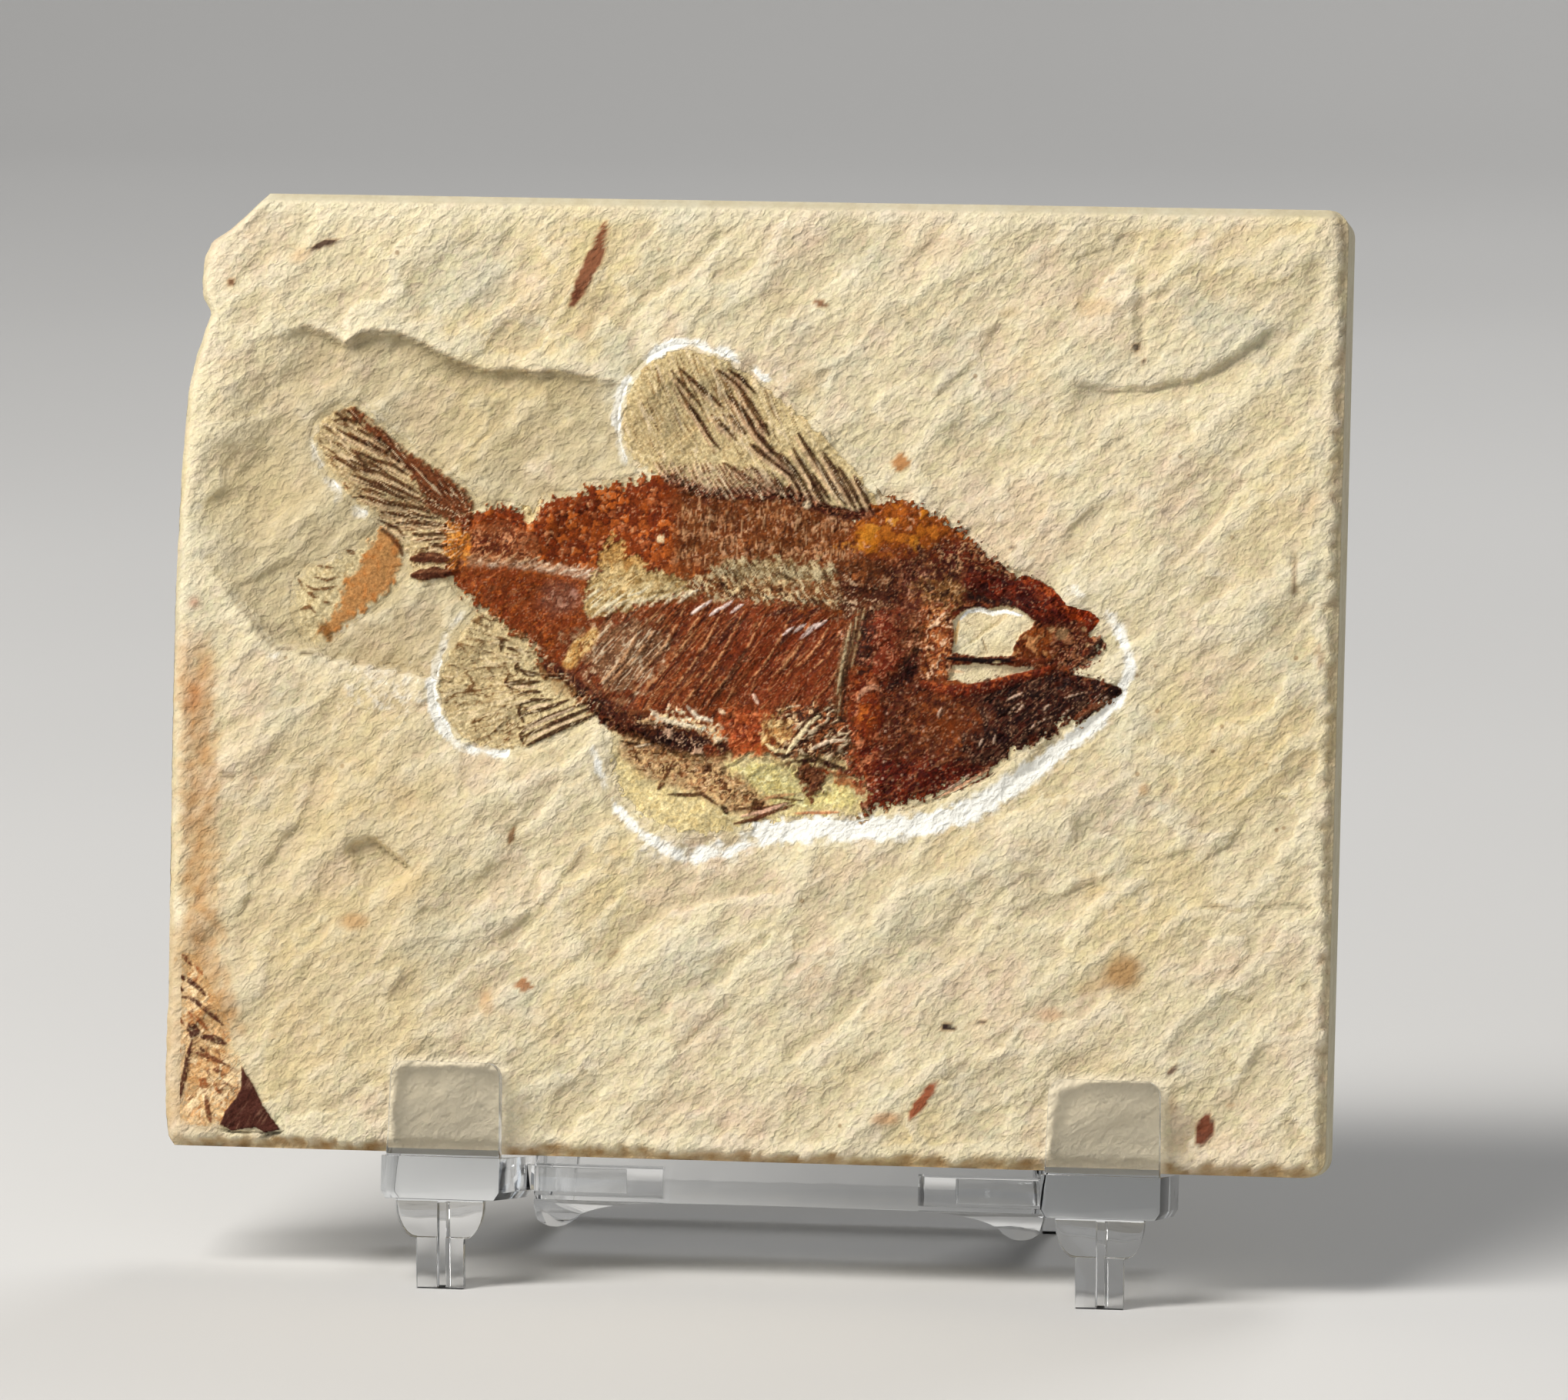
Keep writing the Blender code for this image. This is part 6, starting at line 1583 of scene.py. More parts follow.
        for k, (line, width) in enumerate((
            ("-43.6 51 -42.6 51.3 -42 50.7", 0.36), ("-43 53.3 -42.2 52.9 -41.2 53 -40 53.3", 0.34),
            ("-42.8 52.6 -41.8 52.2", 0.5),
            ("-42.2 54.1 -41 53.8 -39.8 54.2", 0.3), ("-42 55.2 -40.4 55", 0.3), ("-43.8 53.9 -43.2 52.9", 0.26),
            ("-41.4 51.8 -40.4 51.6", 0.3),
            ("-39.2 56.7 -38.4 56.4", 0.45), ("-42.4 56.2 -41.2 56", 0.24),
        )):
            art.stroke(line, width, "6c482a", 0.85, 0.07, broken=0.5, seed=720 + k)

    def anal_fin(self, art: BonePaint) -> None:
        """Dark doubled front rays that break up into a pale speckled fan."""
        x, s = art.x, art.s
        lines = (
            ("-14.6 41.7 -17.6 40.4 -21.2 38.6", 0.42), ("-15.2 42.3 -18.4 40.9 -21.6 39.4", 0.42),
            ("-16.2 42.6 -18.8 41.5 -21.7 40.3", 0.36),
            ("-17.4 43 -19.6 42.1 -21.7 41.5", 0.36), ("-19 43 -20.8 42.9 -22.2 42.4", 0.32),
            ("-20.2 43.7 -22 43.7", 0.3),
            ("-20.4 44.7 -22 44.5 -23.6 44.5", 0.44), ("-20.4 45.4 -21.6 45.4 -22.5 45.9", 0.42),
            ("-22.5 46.3 -22.8 45.8", 0.4),
            ("-21.5 38.7 -21.9 39.6 -21.3 40.2", 0.3), ("-22 42.6 -22.1 41.6 -21.6 40.8", 0.3),
            ("-23.5 45.1 -23.7 44.5 -22.9 43.8", 0.3),
            ("-24.1 48.6 -24.2 47.6", 0.42), ("-23.6 47.8 -22.7 47.6", 0.28),
        )
        for k, (line, width) in enumerate(lines):
            art.stroke(line, width * 1.1, "361c14", 0.95, 0.13, broken=0.15, seed=800 + k)
        for k, line in enumerate(("-16 41.5 -18.8 40.3 -21.2 39", "-16.8 42.2 -19.4 41.1 -21.6 39.9",
                                  "-19.2 42.6 -21.6 42", "-20.6 44.2 -23 44.1")):
            art.stroke(line, 0.28, "dec09e", 0.8, 0.05, seed=820 + k)
        rays = self.fan("-21.4 39.6 -22.2 42.4 -23.4 45 -24.2 48.6", "-25.4 38.6 -28.8 40.8 -29.2 45.4 -27.2 49.8",
                        15, 0.0)
        for k, line in enumerate(rays):
            art.stroke(line, 0.26, "84623c", 0.4, 0.05, broken=1.7, seed=840 + k)
        fin = art.area(ANAL_FIN, 0.3, 0.1)
        turn, far = self.spokes(art, -13.0, 45.6)
        art.strands(fin * ease(x, -19.5, -22.0), turn, far, 0.9, 3.4, 861, "7c5c3a", 0.10, 0.8, 0.07)
        art.strands(fin * ease(x, -16.5, -19.0), turn, far, 0.7, 2.4, 862, "5c3c26", 0.08, 0.75, 0.07)
        art.strands(fin, turn + 0.3, far, 0.8, 4.0, 863, "e2cca4", 0.09, 0.7, 0.06)
        zone = fin * ease(x, -20.5, -23.0)
        dash = fibres(x, s, 168, 0.9, 0.34, 291)
        art.paint(zone * 0.6 * ease(dash, 0.25, 0.65), "88683e", 0.05)
        art.paint(zone * 0.55 * ease(-dash, 0.25, 0.7), "d6c092")
        root = art.area("-20.4 46.2 -19.6 45.2 -18 44.8 -16.4 43.6 -17.6 43.2 -20 44.6", 0.3, 0.3)
        art.paint(root * 0.6, "96764c")

    def grain(self, art: BonePaint) -> None:
        """The last pass: a fine tooth over all the bone, and a little light and dark at grain size."""
        cover = art.layer[..., 3]
        art.rise += cover * (0.03 * art.fine + 0.03 * art.small)
        tough = ease(art.layer[..., 0], 0.42, 0.25) * cover
        grit = ripple(art.x, art.s, 0.22, 205, 2)
        shade = 1 + 0.38 * art.fine + 0.30 * art.small
        deep = 1 - tough[..., None] * (1 - np.array([0.74, 0.62, 0.46]))
        art.layer[..., :3] = np.clip(art.layer[..., :3] * shade[..., None] * deep, 0, 1)
        art.paint(0.36 * tough * ease(grit + 0.5 * art.small, 0.34, 0.54), "c69874", 0.03, 0.3)
        art.paint(0.50 * tough * ease(-grit - 0.4 * art.swirl, 0.20, 0.42), "2e140c", -0.03)


# ---------------------------------------------------------------- finishes


def add_node(tree: bpy.types.NodeTree, kind: str, inputs: dict[str | int, object] | None = None,
             **settings: object) -> bpy.types.Node:
    """Add a node, set its options, and fill or link its inputs.

    Args:
        tree: The node tree.
        kind: Its type without the ShaderNode in front.
        inputs: Values or sockets by input name or place.
        settings: Options by name.

    Returns:
        The node.
    """
    made = tree.nodes.new("ShaderNode" + kind)
    for key, value in settings.items():
        setattr(made, key, value)
    for key, value in (inputs or {}).items():
        if isinstance(value, bpy.types.NodeSocket):
            tree.links.new(value, made.inputs[key])
        else:
            made.inputs[key].default_value = value
    return made


def rgba(code: str) -> tuple[float, ...]:
    """A screen colour in linear light with full alpha, as a socket takes it."""
    return (*srgb(code).tolist(), 1.0)


def mixed(tree: bpy.types.NodeTree, amount: object, first: object, second: object, mode: str = "MIX") -> Socket:
    """Mix two colours, or their sockets, by an amount: all of the first at 0, all of the second at 1."""
    return add_node(tree, "Mix", {0: amount, 6: first, 7: second}, data_type="RGBA", blend_type=mode).outputs[2]


def toned(tree: bpy.types.NodeTree, colour: Socket, shade: Socket) -> Socket:
    """A colour multiplied by one number."""
    grey = add_node(tree, "CombineColor", {0: shade, 1: shade, 2: shade}).outputs[0]
    return mixed(tree, 1.0, colour, grey, "MULTIPLY")


def math_of(tree: bpy.types.NodeTree, operation: str, *values: object, clamp: bool = False) -> Socket:
    """One Math node on numbers or sockets."""
    return add_node(tree, "Math", dict(enumerate(values)), operation=operation, use_clamp=clamp).outputs[0]


def vector_of(tree: bpy.types.NodeTree, operation: str, first: object, second: object) -> Socket:
    """One Vector Math node on vectors or sockets; a dot product comes from its number."""
    made = add_node(tree, "VectorMath", {0: first, 1: second}, operation=operation)
    return made.outputs["Value" if operation == "DOT_PRODUCT" else "Vector"]


def ranged(tree: bpy.types.NodeTree, value: Socket, low: float, high: float, first: float = 0.0,
           second: float = 1.0) -> Socket:
    """Map a value from one span to another, eased and kept inside it."""
    return add_node(tree, "MapRange", {0: value, 1: low, 2: high, 3: first, 4: second},
                    interpolation_type="SMOOTHSTEP").outputs[0]


def noise_of(tree: bpy.types.NodeTree, vector: Socket, scale: float, detail: float = 2.0,
             rough: float = 0.5) -> Socket:
    """A Noise texture's value."""
    return add_node(tree, "TexNoise", {"Vector": vector, "Scale": scale, "Detail": detail,
                                       "Roughness": rough}).outputs[0]


def field_of(tree: bpy.types.NodeTree, name: str) -> Socket:
    """A vertex field as a number."""
    return add_node(tree, "Attribute", attribute_name=name).outputs["Fac"]


def bumped(tree: bpy.types.NodeTree, shader: bpy.types.Node, height: Socket, distance: float,
           strength: float) -> None:
    """Shape a shader's normal by a height, with its depth in metres."""
    bump = add_node(tree, "Bump", {"Strength": strength, "Distance": distance, "Height": height})
    tree.links.new(bump.outputs[0], shader.inputs["Normal"])


def new_group(name: str, inputs: dict[str, str], outputs: dict[str, str]) -> tuple[bpy.types.NodeTree, bpy.types.Node,
                                                                      bpy.types.Node]:
    """Start a shader node group.

    Args:
        name: Its name.
        inputs: Socket types by name.
        outputs: Socket types by name.

    Returns:
        The tree, its input node and its output node.
    """
    tree = bpy.data.node_groups.new(name, "ShaderNodeTree")
    for direction, sockets in (("INPUT", inputs), ("OUTPUT", outputs)):
        for key, kind in sockets.items():
            tree.interface.new_socket(name=key, in_out=direction, socket_type="NodeSocket" + kind)
    return tree, tree.nodes.new("NodeGroupInput"), tree.nodes.new("NodeGroupOutput")


@dataclass(frozen=True)
class Limestone:
    """Cream split limestone: its screen colours, the turn of its grain, its scars in metres and its saw marks."""

    cream: str = "e2d3ae"
    straw: str = "dfc996"
    rose: str = "e2cbac"
    ash: str = "cec7ac"
    # The hollow colour also paints shade in the stone's cavities, and the bloom colour paints light on its rises.
    hollow: str = "beae8a"
    bloom_and_highlight: str = "f1e7ca"
    powder_and_highlight: str = "fefcf2"
    cut: str = "c6bea4"
    worn: str = "bbb195"
    bruise_and_shade: str = "967042"
    grain: float = math.radians(40)
    scar: tuple[float, float] = (0.0017, 0.00080)
    chip: tuple[float, float] = (0.00075, 0.00036)
    wander: float = 0.0009
    saw: tuple[float, ...] = (35, 35, 1700)

    def facets(self, tree: bpy.types.NodeTree, vector: Socket, long: float, short: float) -> tuple[Socket, Socket]:
        """Small flake scars: the distance to the nearest centre of a stretched Voronoi pattern, so crisp ridges
        part shallow bowls, each with a little tilt of its own.

        Args:
            tree: The node tree.
            vector: Position, already turned along the grain.
            long: A scar's length in metres.
            short: Its width in metres.

        Returns:
            Height, about from 0 to 1, and the scar's own colour.
        """
        scaled = vector_of(tree, "MULTIPLY", vector, (1 / long, 1 / short, 1 / short))
        cells = add_node(tree, "TexVoronoi", {"Vector": scaled, "Scale": 1.0})
        aside = vector_of(tree, "SUBTRACT", scaled, cells.outputs["Position"])
        tilt = vector_of(tree, "SUBTRACT", cells.outputs["Color"], (0.5, 0.5, 0.36))
        lean = vector_of(tree, "DOT_PRODUCT", aside, tilt)
        return math_of(tree, "MULTIPLY_ADD", lean, 0.45, cells.outputs["Distance"]), cells.outputs["Color"]

    def group(self) -> bpy.types.NodeTree:
        """Build the stone's shared node group.

        Returns:
            A group that gives colour, roughness and grain height from a position and the stone's masks.
        """
        tree, start, end = new_group(
            "limestone_stone",
            {"Vector": "Vector", "Cavity": "Float", "Powder_And_Highlight": "Float", "Sawn": "Float", "Bruise_And_Shade": "Float"},
            {"Color": "Color", "Roughness": "Float", "Height": "Float"},
        )
        vector = start.outputs["Vector"]
        drift = add_node(tree, "TexNoise", {"Vector": vector, "Scale": 900.0, "Detail": 2.0})
        push = vector_of(tree, "MULTIPLY", drift.outputs["Color"], (self.wander,) * 3)
        turn = add_node(tree, "Mapping", {"Vector": vector, "Rotation": (0.0, self.grain, 0.0)},
                        vector_type="POINT").outputs[0]
        bent = vector_of(tree, "ADD", turn, push)
        large, shade = self.facets(tree, bent, *self.scar)
        small, speck = self.facets(tree, bent, *self.chip)
        broad = ranged(tree, noise_of(tree, vector, 52, 3, 0.55), 0.46, 0.66)
        rosy = ranged(tree, noise_of(tree, vector_of(tree, "ADD", vector, (0.31, 0.17, 0.23)), 110, 3, 0.6), 0.50,
                      0.66)
        ashen = ranged(tree, noise_of(tree, vector_of(tree, "ADD", vector, (0.11, 0.57, 0.83)), 85, 4, 0.62), 0.52,
                       0.68)
        middle = noise_of(tree, vector, 420, 4, 0.62)
        fine = noise_of(tree, vector, 3000, 3, 0.6)
        colour = mixed(tree, math_of(tree, "MULTIPLY", broad, 0.8), rgba(self.cream), rgba(self.straw))
        colour = mixed(tree, math_of(tree, "MULTIPLY", rosy, 0.8), colour, rgba(self.rose))
        colour = mixed(tree, math_of(tree, "MULTIPLY", ashen, 0.75), colour, rgba(self.ash))
        colour = mixed(tree, ranged(tree, middle, 0.50, 0.74, 0, 0.30), colour, rgba(self.hollow))
        colour = mixed(tree, ranged(tree, middle, 0.46, 0.28, 0, 0.35), colour, rgba(self.bloom_and_highlight))
        # Painted shade and light: darker where the stone lies below its surroundings, paler where it stands above
        # them.
        colour = mixed(tree, ranged(tree, start.outputs["Cavity"], 0.05, 0.9, 0, 0.45), colour, rgba(self.hollow))
        colour = mixed(tree, ranged(tree, start.outputs["Cavity"], -0.05, -0.9, 0, 0.35), colour, rgba(self.bloom_and_highlight))
        colour = mixed(tree, 0.05, colour, mixed(tree, 0.5, shade, speck), "OVERLAY")
        grain = ranged(tree, fine, 0.3, 0.7, 0.91, 1.07)
        colour = toned(tree, colour, grain)
        spots = add_node(tree, "TexVoronoi", {"Vector": vector, "Scale": 520.0})
        rare = ranged(tree, noise_of(tree, vector, 150, 1), 0.60, 0.66)
        dot = math_of(tree, "MULTIPLY", ranged(tree, spots.outputs["Distance"], 0.16, 0.08, 0, 0.6), rare)
        colour = mixed(tree, dot, colour, rgba("8c6842"))
        # Brown chipped rims, including painted shade on the slab's bottom bevel.
        colour = mixed(tree, start.outputs["Bruise_And_Shade"], colour, mixed(tree, middle, rgba(self.bruise_and_shade), rgba("c4a06c")))
        saw = noise_of(tree, vector_of(tree, "MULTIPLY", vector, self.saw), 1, 3, 0.6)
        rubbed = math_of(tree, "MULTIPLY_ADD", middle, 0.7, math_of(tree, "MULTIPLY", saw, 0.3))
        bare = mixed(tree, ranged(tree, rubbed, 0.40, 0.62), rgba(self.cut), rgba(self.worn))
        colour = mixed(tree, math_of(tree, "MULTIPLY", start.outputs["Sawn"], 0.80), colour, bare)
        dust_and_highlight = ranged(tree, math_of(tree, "ADD", start.outputs["Powder_And_Highlight"],
                                    math_of(tree, "MULTIPLY_ADD", fine, 0.6, -0.3)), 0.12, 0.75)
        colour = mixed(tree, dust_and_highlight, colour, rgba(self.powder_and_highlight))
        tree.links.new(colour, end.inputs["Color"])
        tree.links.new(ranged(tree, middle, 0.3, 0.7, 0.88, 0.98), end.inputs["Roughness"])
        rough = math_of(tree, "SUBTRACT", 1.0, math_of(tree, "MULTIPLY", start.outputs["Sawn"], 0.8))
        height = math_of(tree, "MULTIPLY_ADD", large, 0.85, math_of(tree, "MULTIPLY", small, 0.42))
        height = math_of(tree, "ADD", height, math_of(tree, "MULTIPLY", fine, 0.50))
        height = math_of(tree, "ADD", height, math_of(tree, "MULTIPLY", middle, 0.60))
        marks = math_of(tree, "MULTIPLY", start.outputs["Sawn"], math_of(tree, "MULTIPLY", saw, 0.6))
        tree.links.new(math_of(tree, "MULTIPLY_ADD", height, rough, marks), end.inputs["Height"])
        return tree

    def place(self, tree: bpy.types.NodeTree, group: bpy.types.NodeTree, sawn: bool) -> bpy.types.Node:
        """Put the group in a material and feed it the piece's fields.

        Args:
            tree: The material's tree.
            group: The stone's group.
            sawn: Whether the piece has sawn edges, and brown chipped edges with painted shade.

        Returns:
            The group node.
        """
        place = add_node(tree, "TexCoord").outputs["Object"]
        made = tree.nodes.new("ShaderNodeGroup")
        made.node_tree = group
        tree.links.new(place, made.inputs["Vector"])
        names = {"Cavity": "cavity", "Powder_And_Highlight": "powder_and_highlight"} | ({"Sawn": "sawn", "Bruise_And_Shade": "bruise_and_shade"} if sawn else {})
        for key, name in names.items():
            tree.links.new(field_of(tree, name), made.inputs[key])
        return made


def new_material(name: str) -> tuple[bpy.types.Material, bpy.types.NodeTree, bpy.types.Node]:
    """Start a material and return it with its tree and its Principled shader."""
    material = bpy.data.materials.new(name)
    material.use_nodes = True
    tree = material.node_tree
    return material, tree, tree.nodes["Principled BSDF"]


@dataclass(frozen=True)
class StoneFinish:
    """The slab's finish: limestone with its stains."""

    stone: Limestone
    bump: float = 0.00021
    shine: float = 0.35

    def build(self, group: bpy.types.NodeTree) -> bpy.types.Material:
        """Make the material.

        Args:
            group: The shared stone group.

        Returns:
            The material.
        """
        material, tree, shader = new_material("limestone")
        stone = self.stone.place(tree, group, True)
        tint = add_node(tree, "Attribute", attribute_name="tint")
        colour = mixed(tree, tint.outputs["Alpha"], stone.outputs["Color"], tint.outputs["Color"])
        tree.links.new(colour, shader.inputs["Base Color"])
        tree.links.new(stone.outputs["Roughness"], shader.inputs["Roughness"])
        shader.inputs["Specular IOR Level"].default_value = self.shine
        bumped(tree, shader, stone.outputs["Height"], self.bump, 1.0)
        return material


@dataclass(frozen=True)
class BoneFinish:
    """Mineralised bone and fin skin over the same limestone."""

    stone: Limestone
    name: str = "fossil_bone"
    bump: float = 0.00021
    shine: float = 0.13

    def build(self, group: bpy.types.NodeTree) -> bpy.types.Material:
        """Make the material.

        Args:
            group: The shared stone group.

        Returns:
            The material.
        """
        material, tree, shader = new_material(self.name)
        stone = self.stone.place(tree, group, False)
        place = add_node(tree, "TexCoord").outputs["Object"]
        bone = add_node(tree, "Attribute", attribute_name="bone")
        grit = noise_of(tree, place, 5200, 2, 0.6)
        shade = ranged(tree, grit, 0.3, 0.7, 0.80, 1.20)
        shaded = toned(tree, bone.outputs["Color"], shade)
        cover = math_of(tree, "ADD", bone.outputs["Alpha"], math_of(tree, "MULTIPLY_ADD", grit, 0.5, -0.25))
        cover = ranged(tree, cover, 0.06, 0.86)
        colour = mixed(tree, cover, stone.outputs["Color"], shaded)
        dust_and_highlight = ranged(tree, field_of(tree, "powder_and_highlight"), 0.35, 0.9, 0, 0.9)
        tree.links.new(mixed(tree, dust_and_highlight, colour, rgba(self.stone.powder_and_highlight)), shader.inputs["Base Color"])
        gloss = math_of(tree, "MULTIPLY", field_of(tree, "gloss"), ranged(tree, grit, 0.35, 0.65, 0.5, 1.0))
        tree.links.new(ranged(tree, gloss, 0.0, 1.0, 0.95, 0.48), shader.inputs["Roughness"])
        shader.inputs["Specular IOR Level"].default_value = self.shine
        bare = math_of(tree, "MULTIPLY", stone.outputs["Height"], math_of(tree, "MULTIPLY_ADD", cover, -0.65, 1.0))
        height = math_of(tree, "ADD", math_of(tree, "MULTIPLY", math_of(tree, "MULTIPLY", grit, cover), 0.25), bare)
        bumped(tree, shader, height, self.bump, 1.0)
        return material


@dataclass(frozen=True)
class ClearPlastic:
    """Clear moulded plastic, with a frosted patch on each front tab."""

    tint: tuple[float, ...] = (0.992, 0.996, 1.0)
    frost: float = 0.22
    frost_line: tuple[float, float] = (0.0145, 0.0168)
    index: float = 1.49
    soak: tuple[float, ...] = (0.80, 0.86, 0.90)
    density: float = 14.0
    wave: float = 0.0002

    def build(self, name: str, frosted: bool) -> bpy.types.Material:
        """Make the material.

        Args:
            name: Its name.
            frosted: Whether the upper part is frosted, as on the arms' tabs.

        Returns:
            The material.
        """
        material, tree, shader = new_material(name)
        shader.inputs["Base Color"].default_value = (*self.tint, 1)
        shader.inputs["Transmission Weight"].default_value = 1.0
        shader.inputs["IOR"].default_value = self.index
        place = add_node(tree, "TexCoord").outputs["Object"]
        wear = noise_of(tree, place, 700, 3, 0.6)
        fine = noise_of(tree, place, 160, 2, 0.5)
        rough = ranged(tree, wear, 0.45, 0.75, 0.03, 0.10)
        if frosted:
            up = add_node(tree, "SeparateXYZ", {0: place}).outputs[2]
            rough = math_of(tree, "MAXIMUM", rough, ranged(tree, up, *self.frost_line, 0.0, self.frost))
        tree.links.new(rough, shader.inputs["Roughness"])
        bumped(tree, shader, fine, self.wave, 0.35)
        soak = add_node(tree, "VolumeAbsorption", {"Color": (*self.soak, 1), "Density": self.density})
        tree.links.new(soak.outputs[0], tree.nodes["Material Output"].inputs["Volume"])
        return material


# ---------------------------------------------------------------- pieces


@dataclass
class Slab:
    """The stone: a fine grid over its face, dropped at its rim, with sawn sides and back."""

    face: SplitFace
    art: FishArt
    place: SlabFrame
    across: int = 314
    up: int = 258
    depths: tuple[float, ...] = (1.05, 1.5, 2.4, 3.8, 5.4, 7.0, 8.6, 9.8, 10.45, 10.8, 11.0)
    pocket: float = 1.2
    crisp: float = 0.006
    drawn_in: float = 0.0085
    crease: float = math.radians(50)

    def grid(self) -> tuple[Array, Array]:
        """Points of the face, across and up, in rows from the broken left edge to the right one."""
        s, share = np.meshgrid(spread(self.up, self.crisp) * self.face.height, spread(self.across, self.crisp),
                               indexing="ij")
        left, right = self.face.sides(s)
        return left + (right - left) * share, s

    def sides(self, x: Array, s: Array) -> Array:
        """Carry the rim's outline back through the stone, rough on the left and drawn in at the back.

        Args:
            x: Across, round the rim.
            s: Up, round the rim.

        Returns:
            Points in metres, one ring after another.
        """
        nx, ns = ring_normals(x, s)
        depths = np.array(self.depths)[:, None]
        shrink = 1 - self.drawn_in * ease(depths, 10.3, 11.0)
        rough = 0.16 * ease(x, -48, -53)[None, :] * ease(depths, 1.0, 2.0) * ease(depths, 10.6, 9.6)
        rough = rough * ripple(s[None, :] + 0 * depths, depths + x[None, :] * 0.2, 2.2, 121, 3)
        middle = self.face.height / 2
        across = (x[None, :] + nx[None, :] * rough) * shrink
        up = middle + (s[None, :] + ns[None, :] * rough - middle) * shrink
        return self.place.world(across, up, depths + 0 * across).reshape(-1, 3)

    def facing(self, x: Array, s: Array, shown: Array, pocket: Array) -> Array:
        """Directions that light the stone round the fossil as if it weren't sunk under it.

        Args:
            x: Across.
            s: Up.
            shown: Height of the stone before it is sunk.
            pocket: Share by which each point is sunk.

        Returns:
            A direction for each point, or zeros where the mesh's own is kept.
        """
        grid = self.place.world(x, s, -shown)
        across = np.gradient(grid, axis=1) / np.gradient(x, axis=1)[..., None]
        upward = np.gradient(grid, axis=0) / np.gradient(s, axis=0)[..., None]
        facing = np.cross(across, upward)
        facing /= np.maximum(np.linalg.norm(facing, axis=2, keepdims=True), 1e-12)
        facing[~((pocket > 0) & (self.face.rim(x, s)[Rim.LEFT] > 1.0))] = 0
        return facing.reshape(-1, 3)

    def build(self, material: bpy.types.Material) -> bpy.types.Object:
        """Build the stone: its face, sunk under the fossil's sheets, its sides and its back.

        Args:
            material: The stone's finish.

        Returns:
            The piece.
        """
        x, s = self.grid()
        shown, masks = self.face.front(x, s)
        pocket = np.maximum(ease(self.art.outside(x, s), -0.55, -0.15),
                            ease(depth_inside(x, s, BROKEN_SCALE), -0.4, 0.0))
        tint = self.face.stains_and_painted_light(x, s)
        bits_and_lip_shade = self.face.inclusions_and_lip_shade(x, s, tint)
        top = self.place.world(x, s, -(shown - self.pocket * pocket + 0.06 * bits_and_lip_shade)).reshape(-1, 3)
        number = np.arange(x.size).reshape(x.shape)
        ring = np.concatenate([number[0, :-1], number[:-1, -1], number[-1, :0:-1], number[:0:-1, 0]])
        rx, rs = x.ravel()[ring], s.ravel()[ring]
        sides = self.sides(rx, rs)
        layers = np.vstack([ring[None, :], x.size + np.arange(len(sides)).reshape(-1, len(ring))])
        a, b = layers[:-1], layers[1:]
        walls = np.stack([a, b, np.roll(b, -1, 1), np.roll(a, -1, 1)], axis=-1).reshape(-1, 4)
        faces = np.vstack([grid_quads(number), walls]).tolist() + [layers[-1][::-1].tolist()]
        mesh = mesh_of("slab_stone", np.vstack([top, sides]), faces)
        # The sides' front strip along the bottom is browned too, as painted shade under the slab's bottom edge.
        bottom = np.tile(ease(rs, 1.4, 0.3), (len(self.depths), 1)) * ease(np.array(self.depths)[:, None], 3.4,
                                                                           1.0) * 0.65
        plain = np.zeros(len(sides))
        fields = {
            "cavity": (cavity_of(shown, 4), plain), "powder_and_highlight": (self.face.grooves(x, s)[1], plain),
            "sawn": (masks["sawn"], plain + 1), "bruise_and_shade": (masks["bruise_and_shade"], bottom.ravel()),
        }
        for key, (front, side) in fields.items():
            add_field(mesh, key, np.concatenate([front.ravel(), side]))
        add_field(mesh, "tint", np.vstack([tint.reshape(-1, 4), np.zeros((len(sides), 4))]))
        mesh.set_sharp_from_angle(angle=self.crease)
        mesh.polygons[-1].use_smooth = False
        normals = np.vstack([self.facing(x, s, shown, pocket), np.zeros((len(sides), 3))])
        mesh.normals_split_custom_set_from_vertices(normals.tolist())
        return make_piece("slab_stone", mesh, material, "limestone", "slab")


def spread(count: int, end: float) -> Array:
    """Shares from 0 to 1, with the first and last steps drawn in to hold a crisp rim.

    Args:
        count: How many.
        end: The share at the second place.

    Returns:
        Rising numbers.
    """
    extra = np.array([0.0, 0.2, 0.5]) * end
    even = np.linspace(end, 1 - end, count - 2 * len(extra))
    return np.concatenate([extra, even, 1 - extra[::-1]])


def ring_normals(x: Array, s: Array) -> tuple[Array, Array]:
    """Outward directions round an anticlockwise ring: its tangent turned a quarter turn to the right."""
    tx, ts = np.roll(x, -1) - np.roll(x, 1), np.roll(s, -1) - np.roll(s, 1)
    size = np.maximum(np.hypot(tx, ts), 1e-9)
    return ts / size, -tx / size


def cavity_of(high: Array, cells: int) -> Array:
    """How far each point lies below its surroundings, scaled so that most values fall from -1 to 1."""
    scale = 7.0
    return np.clip((blurred(high, cells) - high) * scale, -1, 1)


def cell_middles(value: Array) -> Array:
    """A field's values at the middles of its grid's cells."""
    return (value[:-1, :-1] + value[1:, :-1] + value[:-1, 1:] + value[1:, 1:]) / 4


def sheet_heights(stone: Array, rise: Array, out: Array, span: tuple[float, float]) -> tuple[Array, Array]:
    """Heights of a sheet laid over the stone.

    Args:
        stone: The stone's height.
        rise: The bone's height above it.
        out: Depth inside the sheet's outline.
        span: The depths between which the sheet dips under the stone.

    Returns:
        Its height as it is shaded, and as it is built with its margin dipped.
    """
    proud, dip = 0.02, 0.4
    shown = stone + rise + proud
    return shown, shown - dip * ease(out, *span)


